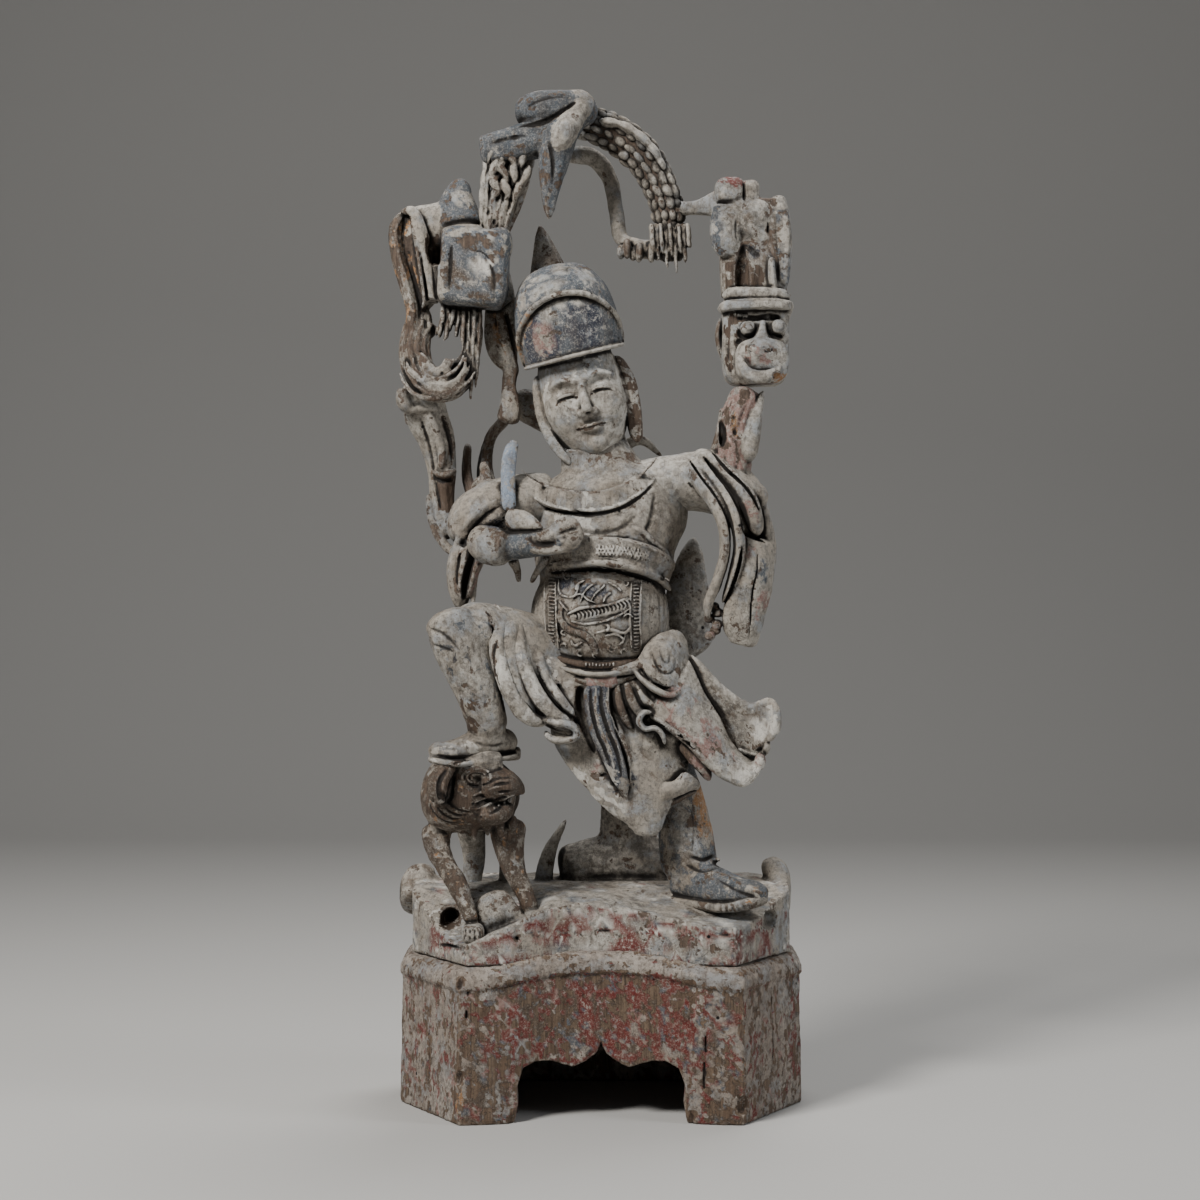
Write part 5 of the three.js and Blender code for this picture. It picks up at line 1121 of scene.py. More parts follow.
    wood.grow([(x, y + 1.6, z - 4.2) for x, y, z in lip], [1.4, 1.8, 2, 1.8, 1.4], 2.6, DUST, 0.8)
    for i in range(9):
        x = -6.491 + 1.471 * i
        wood.ridge([on_belly(x, z, 3) for z in (197.74, 196.875, 196.009)], 1, 0.8, BARE, 0.2)
    wood.add(ball((-0.4, -30.6, 189.9), (7.4, 4.2, 3.6), square=4.5), PINK, 0.3)
    return wood


def carve_head():
    """The head upright in its own frame: a calm, even face with lowered lids under a tall cap of office."""
    wood = Carving((-30, -30, -34), (30, 32, 66), 0.5, reach=1.7, near=0.8, band=12)
    wood.add(ball((-0.4, 0, 2), (19.4, 20, 27), square=2.3), PALE)
    wood.add(ball((0, -4.6, -16), (13, 12, 9.4)), PALE, 5)
    wood.add(ball((0, -13.4, -20.4), (5.2, 4.8, 4)), PALE, 4)
    for side in (-1, 1):
        wood.add(ball((side * 9.4, -12.2, -5), (6.4, 5.8, 7.2)), PALE, 6)
        wood.cut(ball((side * 7.8, -22.8, 5.2), (6.6, 4.4, 3.8)), None, 4)
        wood.add(ball((side * 7.6, -14.6, 3.4), (5.2, 4.5, 3.5)), PALE, 1.2)
        brow = [(side * 2.6, -19, 8), (side * 7.8, -19.6, 10.2), (side * 14, -15, 8)]
        wood.grow(brow, [0.4, 0.7, 0.4], [0.7, 0.9, 0.6], PALE, 3)
        lid = [(side * 3, -18.4, 2.4), (side * 5.4, -19.4, 3.3), (side * 7.8, -19.7, 3.5),
               (side * 10.2, -18.8, 3.1), (side * 12.6, -16.6, 2)]
        wood.grow(lid, [0.4, 0.7, 0.8, 0.7, 0.4], [0.6, 0.8, 0.8, 0.8, 0.5], PALE, 0.5, fine=0.5)
        slit = [(x, y - 0.7, z - 1.2) for x, y, z in lid]
        wood.cut(sweep(slit, [0.2, 0.3, 0.35, 0.3, 0.2], 1.1, fine=0.5), BARE, 0.2)
        wood.grow([(x, y + 0.6, z - 2.4) for x, y, z in lid], [0.4, 0.5, 0.6, 0.5, 0.4], 0.6, PALE, 1,
                  fine=0.5)
        wood.add(ball((side * 2.9, -19.5, -5.8), (2, 2.4, 1.8)), PALE, 1)
        wood.cut(ball((side * 1.7, -20.8, -7.9), (0.6, 0.9, 0.5)), None, 0.4)
        wood.grow([(side * 18.4, 3, 13), (side * 19.8, 2.4, 6), (side * 19.2, 2.2, -4),
                   (side * 17.8, 2, -13)], [1.8, 2.4, 2, 2.2], [5.4, 6, 4.4, 3.4], PALE, 0.8)
        wood.cut(sweep([(side * 21.6, -1.4, 9), (side * 21.8, -0.4, 2), (side * 21, 0.4, -4)],
                       [1.1, 1.3, 0.7], 1.6, fine=0.5), DUST, 0.5)
    wood.grow([(0, -18.4, 9), (0, -20.4, 2), (0, -22, -3.2), (0, -22.2, -5.8)],
              [1.4, 1.6, 2.2, 2.4], [1.6, 2, 2.4, 1.9], PALE, 1.6, blunt=0.2)
    upper = [(-6.4, -16.6, -12.2), (-3.4, -18.8, -11.9), (-1.1, -19.7, -11.6), (0, -19.6, -11.8),
             (1.1, -19.7, -11.6), (3.4, -18.8, -11.9), (6.4, -16.6, -12.2)]
    wood.grow(upper, [0.3, 0.8, 0.9, 0.85, 0.9, 0.8, 0.3], [0.5, 1, 1.1, 1, 1.1, 1, 0.5], PALE, 1.2, fine=0.5)
    wood.grow([(-5.2, -17, -13.1), (0, -18.9, -13.5), (5.2, -17, -13.1)],
              [0.5, 1.2, 0.5], [0.8, 1.5, 0.8], PALE, 1.4, fine=0.5)
    wood.cut(sweep([(-6.6, -17.2, -12.4), (-3.2, -20.2, -12.5), (0, -20.7, -12.6), (3.2, -20.2, -12.5),
                    (6.6, -17.2, -12.4)], [0.15, 0.2, 0.22, 0.2, 0.15], [0.6, 0.7, 0.7, 0.7, 0.6], fine=0.5),
             BARE, 0.3)
    wood.cut(ball((0, -20.6, -9), (0.6, 0.8, 1.2)), None, 1)
    wood.cut(sweep([(-3, -18.9, -16.6), (0, -19.8, -16.9), (3, -18.9, -16.6)], 0.5, 0.7), None, 1.8)
    wood.mottle(ball((0, -14, -4), (20, 12, 24)), DUST, 5, 0.12, 60)
    wood.mottle(ball((0, -14, -4), (20, 12, 24)), WHITE, 6, 0.2, 62)
    carve_cap(wood)
    lappet = [(17.6, -4, 15), (19.8, -5, 3), (19.4, -6, -11), (18.2, -7, -25)]
    wood.grow(lappet, [2.6, 4.2, 4, 2.6], [3, 3.4, 3, 2], DUST, 0.5, square=3, relief=strands(7, 0.6))
    wood.mottle(sweep(lappet, 5, 5), BARE, 3, 0.4, 63)
    strap = [(-18.2, -5, 15), (-20.2, -6, 0), (-18.8, -8, -14), (-13, -11, -27)]
    wood.grow(strap, [2.2, 2.8, 2.6, 1.8], [2.4, 2.6, 2.4, 1.8], GESSO, 0.6, square=2.8,
              relief=strands(5, 0.4))
    return wood


def carve_cap(wood):
    """The cap: a tall dome, a low rim that arches over the brow, and a dark panel inside the arch."""
    dome = Carving((-30, -30, 10), (30, 32, 66), 0.5, band=12)
    dome.add(ball((0, 1.5, 31), (23.2, 24.4, 30), square=2.5), SLATE)
    dome.mottle(ball((0, 0, 52), (26, 28, 20)), GREY, 5, 0.2, 64)
    dome.mottle(ball((-3, -10, 50), (20, 20, 8)), PALE, 2.2, 0.32, 65)
    dome.coat(ball((0, -19, 24), (20.6, 14, 22.4), square=2.3), BLUE)
    for blots in (
        (ball((4, -20, 30), (18, 12, 14)), SLATE, 5, 0.5, 68),
        (ball((1, -20, 42.5), (15, 12, 4)), GREY, 1.8, 0.4, 66),
        (ball((2, -20, 42), (14, 12, 4.4)), PALE, 1.5, 0.4, 67),
        (ball((-11.4, -20, 30), (4.2, 12, 8), (0, 10, 0)), PINK, 3, 0.75, 59),
    ):
        dome.mottle(*blots)
    rim = [(-23, -2, 20), (-21.4, -13, 34), (-12, -21.6, 44), (0, -23.2, 47), (12, -21.6, 44),
           (21.4, -13, 34), (23, -2, 20)]
    dome.grow(rim, 1.3, 1.5, GREY, 0.8)
    dome.mottle(sweep(rim, 2.6, 3), PALE, 3, 0.4, 69)
    dome.mottle(sweep(rim[:3], 2.6, 3), OCHRE, 2.4, 0.4, 58)
    dome.cut(ball((0, 0, -25), (60, 60, 43.5), square=12), None, 0.3)
    brim = [(-22.6, 0, 19.2), (-20.2, -12, 19.2), (-12, -20.2, 19.4), (0, -23, 19.6), (12, -20.2, 19.4),
            (20.2, -12, 19.2), (22.6, 0, 19.2)]
    dome.grow(brim, 0.9, 1.5, PALE, 0.6)
    window = tuple(slice(dome.low[k] - wood.low[k], dome.low[k] - wood.low[k] + dome.field.shape[k])
                   for k in range(3))
    window = tuple(slice(max(w.start, 0), min(w.stop, n)) for w, n in zip(window, wood.field.shape))
    part = tuple(slice(w.start + wood.low[k] - dome.low[k], w.stop + wood.low[k] - dome.low[k])
                 for k, w in enumerate(window))
    old, near = wood.field[window], dome.field[part]
    wood.paint[window][near < old] = dome.paint[part][near < old]
    wood.field[window] = np.minimum(old, near)


def carve_hat_tail():
    """The tail of the cap behind the dome, the band from the head to the curl, and the ribbon end at
    the neck.
    """
    wood = Carving((-52, -14, 284), (34, 34, 402), 0.65)
    wood.grow([(-20.5, 12, 341), (-23.3, 14, 368.8), (-27.9, 14, 396.1)],
              [11, 10, 1.6], [8, 7, 1.6], DUST, relief=strands(5, 0.5))
    wood.grow([(-5, 12, 309.2), (-19.7, 18, 308.4), (-40.7, 14, 316.5)], [10, 9, 7], [8, 8, 5], DUST, 2,
              relief=strands(9, 0.6, 0.1))
    wood.grow([(7.7, 2, 292.6), (17.6, 0, 297), (27.5, 2, 289.9)],
              [3, 2.4, 1], 2.6, GESSO, 0.6, relief=strands(4, 0.4))
    wood.grow([(-6, 10, 292), (-7, 12, 318), (-14, 14, 350)],
              [14, 15, 13], [9, 10, 8], GREY, 2, relief=strands(11, 0.5))
    return wood


def carve_raised_leg():
    """The raised leg under its cloth, and the flat boot that treads on the beast."""
    wood = Carving((-82, -58, 150), (-8, 4, 232), 0.6, reach=2.4, near=1.1)
    wood.grow([(-18.3, -8, 196), (-40.1, -22, 206.5), (-63, -38, 215.4)], [18, 15, 10], [18, 16, 11], PALE)
    wood.grow([(-68.1, -40, 220.7), (-62.8, -41, 207.7), (-53.8, -40, 186), (-47.4, -36, 164.1)],
              [9.5, 11.4, 9.8, 8.4], [10, 12, 10, 9], GESSO, 3)
    wood.grow([(-38.4, -34, 216.3), (-40.8, -38, 203.3), (-36, -40, 182.5), (-30, -38, 173.7)],
              [3, 5, 5, 3.6], [4, 6, 6, 4], PALE, 1.6)
    wood.grow([(-39.1, -26, 162.6), (-49.3, -34, 163.5), (-63.3, -40, 160), (-74.7, -44, 159.8)],
              [7.6, 8.6, 8, 3.6], [5, 6.5, 4.6, 3.4], PALE, 2.5, facing=UP)
    wood.grow([(-37.8, -25, 157.4), (-52, -35, 155.6), (-66, -42, 154.6), (-74.6, -45, 156.6)],
              [7.4, 8.4, 7.8, 4], 1.7, PALE, 0.8, facing=UP, square=3)
    wood.add(ball((-39.5, -26, 157.6), (4.2, 5.6, 3), square=4), DUST, 0.4)
    # The long groove down the shin is laid dark as painted shade.
    for groove in (
        ([(-74.2, -58, 213.1), (-68.5, -60, 211), (-64.2, -60, 207.6), (-60.1, -58, 202.8)],
         1.3, 0.8, None, 0.8),
        ([(-72.9, -58, 206.2), (-66.8, -60, 204.2), (-63.1, -58, 202.8)], 1.1, 0.6, None, 0.8),
        ([(-49.4, -50, 219.8), (-46, -50, 207.8), (-44.7, -50, 194.1), (-39.9, -50, 182),
          (-33.9, -50, 172.6)], 2, 2, DARK, 0.6),
        ([(-55.8, -58, 164.5), (-48.3, -56, 161.8), (-40.8, -50, 163.1)], 1.2, 0.6, None, 0.8),
        ([(-75.3, -60, 154.4), (-66.8, -60, 153.9), (-55.7, -60, 156.5), (-38.9, -56, 158.8)],
         0.9, 0.9, BARE),
    ):
        wood.score(*groove)
    for blots in (
        (sweep([(-59.8, -48, 216.4), (-52.9, -48, 194.9), (-47.1, -44, 168.8)], 13, 13), SLATE, 5, 0.2, 84),
        (sweep([(-51.7, -56, 207.9), (-49.6, -54, 186.5), (-46, -50, 167)], 9, 9), GREY, 1.8, 0.25, 85),
        (sweep([(-51.7, -56, 207.9), (-49.6, -54, 186.5), (-46, -50, 167)], 10, 9), DUST, 1.4, 0.1, 86),
        (sweep([(-59.8, -48, 190.6), (-57.3, -46, 177.6), (-54.9, -44, 166.7)], 3, 9), BARE, 3, 0.5, 87),
        (sweep([(-73.5, -50, 207.8), (-66.6, -50, 190.6), (-59.8, -48, 177.7)], 3, 9), DUST, 3, 0.5, 88),
    ):
        wood.mottle(*blots)
    wood.coat(ball((-62.4, -56, 199.8), (2, 8, 2.6)), BLUE)
    wood.mottle(sweep([(-73.3, -52, 156.4), (-56.3, -50, 159.7), (-41.4, -46, 161.2)], 5, 12),
                WHITE, 5, 0.4, 89)
    return wood


def carve_standing_leg():
    """The boot that stands: a wide shaft, a creased ankle, and a toe turned up on a thick sole."""
    wood = Carving((12, -48, 84), (84, 16, 196), 0.6, reach=2.4, near=1.1)
    wood.grow([(17.5, -2, 180.1), (28.2, -4, 153.3), (36.3, -6, 133.3), (38, -6, 118.5), (40.2, -8, 99)],
              [16, 12, 10.6, 12.4, 12.8], [15, 12, 11, 12, 12], SLATE)
    wood.grow([(33.6, -4, 99.5), (44, -14, 99.3), (58.3, -28, 96.9), (71.7, -38, 97.7)],
              [8.6, 9.6, 9, 6.4], [8, 10, 7.2, 4.2], SLATE, 3, facing=UP)
    wood.grow([(32.7, -4, 91.4), (46.6, -16, 91.1), (60, -30, 91.1), (70.7, -39, 95.7)],
              [9.8, 10.4, 9.8, 6.8], 2.6, GREY, 0.4, facing=UP, square=3.4)
    for path in ([(38.4, -22, 112.1), (44.9, -24, 109.7), (52, -22, 111.7)],
                 [(37.5, -22, 107.7), (44.8, -26, 105.5), (53.3, -24, 107.9)]):
        wood.score(path, 1.2, 0.8, None, 0.8)
    wood.ridge([(38.4, -22, 109.9), (45.3, -26, 107.7), (52.8, -24, 110.1)], 3, 1)
    wood.score([(39.3, -20, 136.6), (41.1, -20, 123.4), (40.2, -20, 111.9)], 1.2, 0.5)
    shaft = sweep([(35, -16, 140.7), (35, -16, 118.6), (36.7, -18, 96.6)], 8, 12)
    for blots in (
        (shaft, GREY, 6, 0.5, 90),
        (shaft, DUST, 3, 0.4, 91),
        (sweep([(39, -30, 102.4), (51.8, -36, 96.6), (68.9, -40, 94.9)], 12, 9, facing=UP), GREY, 5, 0.4, 92),
        (sweep([(42.9, -40, 94.9), (55.7, -44, 90.2), (70.3, -46, 93.5)], 7, 6), PALE, 3, 0.3, 93),
        (sweep([(63.5, -44, 98.4), (69.4, -46, 96.9)], 6, 6), OCHRE, 3, 0.4, 94),
    ):
        wood.mottle(*blots)
    for i in range(9):
        x = 51.88 + 2.442 * i
        wood.score([(x, -60, 92.5 + 0.1 * i), (x + 0.8, -60, 88.5 + 0.35 * i)], 0.8, 0.7, DUST)
    wood.ridge([(50.5, -26, 105.5), (60.7, -32, 100.9), (69.9, -38, 97.7)], 2.6, 1)
    wood.score([(50.4, -28, 103.1), (59.7, -34, 98.5), (68.1, -40, 95.8)], 1.1, 0.7)
    ochre = sweep([(44.3, -16, 146.1), (46.1, -16, 129.7), (47.4, -16, 115)], [3.8, 4.6, 3], 14)
    wood.coat(ochre, OCHRE)
    wood.mottle(ochre, DUST, 3, 0.3, 95)
    return wood


def add_front_and_sash(wood):
    """The hollow beside the thigh, small folds under the belt and the dark sash that tapers to a point."""
    wood.cut(sweep([(-9.1, -38, 188.5), (-8.3, -38, 178.1), (-5.6, -38, 166.3), (-2.2, -38, 157.2)],
                   [2.4, 3.2, 2.8, 1], [8, 9, 8, 6]), DUST, 1)
    wood.grow([(3.1, -31, 193.5), (13.6, -30, 195.2), (21.5, -29, 198.7)], 2.6, 4, GREY, 0.6)
    for path, paint in (([(6.6, -29, 189.1), (7.9, -32, 179.6), (13.5, -32, 168.2)], BARE),
                        ([(11, -29, 189.1), (13.5, -32, 180.4), (17.9, -32, 174.3)], DUST),
                        ([(15.8, -28, 188.2), (19.2, -31, 181.3), (23.6, -31, 177.8)], PALE),
                        ([(5.7, -29, 174.2), (9.2, -32, 163.8), (13.5, -32, 154.2)], DUST)):
        wood.grow(path, [2, 2.6, 1.6], [3, 3.6, 2.6], paint, 1)
    wood.mottle(ball((12.6, -34, 179.2), (11, 8, 13)), DUST, 3, 0.4, 102)
    sash = [(-2.2, -32, 190), (-1.7, -34, 179.2), (0.4, -36, 168.4), (4.3, -37, 158.9), (7.8, -37, 148.9),
            (11.3, -35, 138.7)]
    wood.grow(sash, [5.8, 5.6, 5.2, 4.8, 3.8, 0.9], [2.6, 3.2, 3.4, 3.2, 3, 2], SLATE, 0.3, square=3.2)
    wood.mottle(sweep(sash, 7, 6), BLUE, 3.4, 0.5, 103)
    wood.score([(-4.3, -44, 188.7), (-4.3, -44, 179.2), (-1.7, -44, 168), (2.2, -44, 158.5),
                (5.2, -42, 148.8)], 1.5, 0.9, BLUE, 0.3)
    wood.score([(0.4, -44, 188.7), (0, -44, 179.2), (3, -44, 168.4), (6.9, -44, 158.9), (9.1, -42, 147.1)],
               1.7, 1.1, BLUE, 0.3)
    wood.ridge([(-1.7, -44, 188.7), (-2.6, -44, 178.3), (0.4, -44, 167.5), (3.9, -44, 159.3),
                (6.1, -42, 149.7)], 1.1, 0.7, GREY, 0.3)
    wood.ridge([(3.5, -44, 188.7), (3, -44, 178.8), (6.5, -44, 168.4), (10.8, -44, 159.3), (12.6, -42, 150.6),
                (11.7, -40, 141.3)], 1.3, 0.9, PALE, 0.3)
    wood.cut(sweep([(-5.2, -38, 147.7), (-2.6, -38, 151.1), (-0.9, -38, 155.5)],
                   [3.6, 2.4, 0.6], [4.6, 4.6, 3.4]), PINK, 0.3)
    # The groove under the sash's point is laid dark as painted shade.
    wood.score([(-7.3, -44, 146.8), (-1.7, -44, 148.1), (3.5, -44, 148.5), (7.4, -42, 141.5),
                (11.3, -40, 138.3)], 1.1, 1.5, DARK, 0.3)
    for blots in (
        (ball((17, -32, 146.4), (12, 10, 20)), DUST, 5, 0.4, 104),
        (ball((-0.4, -34, 142.1), (16, 10, 14)), WHITE, 5, 0.4, 105),
        (ball((-12.6, -34, 158.7), (10, 10, 14)), GREY, 5, 0.4, 106),
    ):
        wood.mottle(*blots)


def add_petal(wood):
    """The turned petal of cloth under the belt on the right."""
    petal = [
        [(23.8, -24, 206.5), (27.7, -24, 210), (32.7, -21, 211.8), (36.4, -16, 207.3)],
        [(18.4, -28, 202.2), (24.5, -31, 202.7), (31.6, -28, 201.8), (38, -19, 196.7)],
        [(15.8, -29, 197), (22.3, -32, 194.4), (29.3, -30, 192.2), (37.5, -22, 189.3)],
        [(18, -29, 192.6), (22.7, -31, 188.7), (29.4, -29, 185.6), (35.7, -24, 185.4)],
    ]
    wood.add(drape(petal, 5), PALE, 1)
    wood.grow([(13.6, -30, 195.7), (18.3, -33, 190.1), (24, -34, 185.8), (30.1, -32, 183.5),
               (36.4, -27, 185.9)], [1, 1.4, 1.6, 1.5, 1], [2.4, 2.8, 3, 2.8, 2], PALE, 0.5)
    # The groove under the petal's rim is laid dark as painted shade.
    for groove in (
        ([(16.8, -46, 196.1), (20.7, -46, 191.4), (25.5, -44, 187.8), (31.2, -42, 186.5), (35.6, -38, 189.4)],
         1.5, 1.8, DARK, 0.4),
        ([(22, -46, 202.6), (23.7, -46, 197.4), (27.2, -44, 193), (31.6, -42, 193.8), (33, -40, 200.7)],
         1.2, 0.7, None, 0.8),
        ([(25.9, -46, 203.4), (27.2, -46, 198.7), (29.4, -44, 197.4), (30.3, -42, 202.5)], 1, 0.5, None, 0.8),
    ):
        wood.score(*groove)
    wood.mottle(ball((27.1, -30, 197), (12, 10, 13)), DUST, 5, 0.3, 107)


def add_flying_cloth(wood):
    """The cloth that flies out to the right: a lit panel in front and a darker flap behind."""
    panel = [
        [(38.3, -24, 198.6), (43.7, -22, 184.4), (49.9, -21, 173.8), (56.5, -21, 161), (62.2, -21, 154.8),
         (67, -22, 152.2), (70.9, -24, 154.6)],
        [(27.6, -29, 186.4), (35.9, -31, 176.5), (44.2, -30, 165), (52.2, -28, 155.3), (59.3, -27, 150.4),
         (65.4, -27, 149.1), (70.7, -27, 152.6)],
        [(19.7, -31, 176), (28.4, -33, 170.4), (38.4, -32, 163), (47.3, -30, 153.7), (54.8, -28, 147.8),
         (62.8, -27, 145.1), (69.8, -27, 150.4)],
    ]
    flap = [
        [(39.3, -20, 200.7), (46.3, -21, 192.8), (53.4, -21, 185.3), (60, -22, 180.5), (66, -24, 177.9),
         (71.2, -26, 179.3), (74.6, -28, 181.6)],
        [(40.3, -18, 194.9), (46.9, -19, 185.2), (53.2, -17, 177.2), (59.8, -17, 171.4), (66.7, -20, 168.4),
         (72.9, -26, 170.5), (76.6, -30, 175.1)],
        [(42.2, -14, 188.6), (47.6, -13, 177.9), (53.5, -10, 167.9), (59.3, -10, 160.8), (65.3, -14, 157.5),
         (69.7, -22, 158.4), (73.3, -27, 163.1)],
    ]
    # A body of bare brown wood behind the two sheets darkens the gap between them: painted shade.
    wood.grow([(43, -4, 189.1), (49.9, -2, 173.3), (60, -5, 160), (69.3, -14, 153)],
              [7, 9, 7, 3], [3.4, 3.6, 3.4, 2.6], BARE, 0.4)
    wood.add(drape(flap, 4.2), DUST, 0.6)
    wood.add(drape(panel, 4.6), PALE, 0.6)
    wood.grow(flap[0], [1.6, 2, 2, 2, 2, 2.2, 1.6], 2.2, PALE, 0.8)
    wood.grow([flap[0][6], flap[1][6], (76.2, -30, 168.5), flap[2][6]], [1.6, 2.2, 2.4, 1.4], 2.4, PALE, 0.8)
    wood.grow([flap[2][6], (72.2, -24, 158.1), (66.8, -18, 156.8), (60.9, -14, 159.2)],
              [1.4, 1.5, 1.3, 0.8], 1.8, PALE, 0.6)
    wood.grow(panel[0], [1.4, 1.8, 1.9, 1.9, 1.9, 1.9, 1.6], 2.2, PALE, 0.8)
    wood.grow(panel[2], [1.6, 1.8, 2, 2.2, 2.2, 2.1, 1.6], 2.6, PALE, 0.8)
    wood.add(ball((69.9, -26, 154.3), (2.4, 3.4, 3.6)), PINK, 0.8)
    for blots in (
        (sweep([(28, -32, 185.7), (43.3, -32, 168.2), (56.5, -30, 152.8)], 10, 9), PINK, 8, 0.62, 108),
        (sweep([(56.5, -30, 152.8), (65.2, -30, 148), (73.2, -28, 151.3)], 6, 9), WHITE, 4, 0.5, 109),
        (sweep([(63.3, -26, 174), (71.9, -28, 170.2), (77.3, -32, 171.7)], 8, 9), WHITE, 5, 0.5, 110),
        (sweep([(43.7, -22, 189.7), (54.7, -22, 175.6), (63.6, -20, 165.4)], 8, 9), GREY, 6, 0.45, 111),
    ):
        wood.mottle(*blots)


def add_hook_and_corner(wood):
    """The hooked fold in the middle and the turned-up corner of the hem over the boot."""
    hook = [(22.2, -34, 176.2), (18.3, -35, 175.8), (16.5, -36, 172.3), (19.2, -36, 168.8),
            (23.5, -36, 169.3), (26.6, -35, 166.6), (27.9, -33, 161.7)]
    wood.grow(hook, [1, 1.2, 1.3, 1.3, 1.3, 1.3, 0.8], [2.4, 2.8, 3, 3, 3, 3, 2.4], PALE, 1.2)
    wood.score([(22.4, -46, 174.6), (19.4, -46, 174.1), (19, -46, 172), (22, -46, 172)], 1, 1, DUST, 0.3)
    # The groove under the hook is laid dark as painted shade.
    wood.score([(22.9, -44, 172.3), (29.4, -44, 169.7), (36.8, -42, 164), (45.1, -40, 155.6)],
               1.8, 2.2, DARK, 0.5)
    wood.grow([(35.6, -27, 162.7), (40.8, -27, 157), (45.3, -26, 150.7), (48, -24, 145.3)],
              [3, 3.8, 3.2, 1], [3, 3, 3, 1.6], PINK, 0.6)
    corner = [
        [(23.7, -28, 141.7), (26.7, -29, 144.8), (32, -29, 146.1), (36.4, -28, 149.6), (42.7, -25, 146.3)],
        [(23.7, -28, 138.2), (27.6, -31, 141), (33.3, -30, 142.7), (38.2, -28, 144.3), (43.6, -24, 143.6)],
        [(24.2, -26, 134.1), (28.5, -28, 136.9), (33.4, -27, 139), (38.3, -25, 141.4), (42.8, -22, 142.1)],
    ]
    wood.add(drape(corner, 3), PALE, 0.6)
    # The dark bodies under the turned corner and the dark groove beside it are painted shade.
    wood.grow([(24.2, -23, 132.9), (31.3, -24, 136.5), (42.4, -20, 141.5)], [1.4, 2, 1.2], 2.6, DARK, 0.4)
    wood.score([(34.2, -42, 153.2), (38.1, -42, 153.6), (41.6, -40, 150.8), (45.6, -38, 145.5)],
               1.4, 1.8, DARK, 0.4)
    wood.grow([(23.9, -20, 135.3), (24.8, -18, 126.7), (23.9, -18, 119.7)], [1.2, 1.6, 0.8], 3, DARK, 0.4)


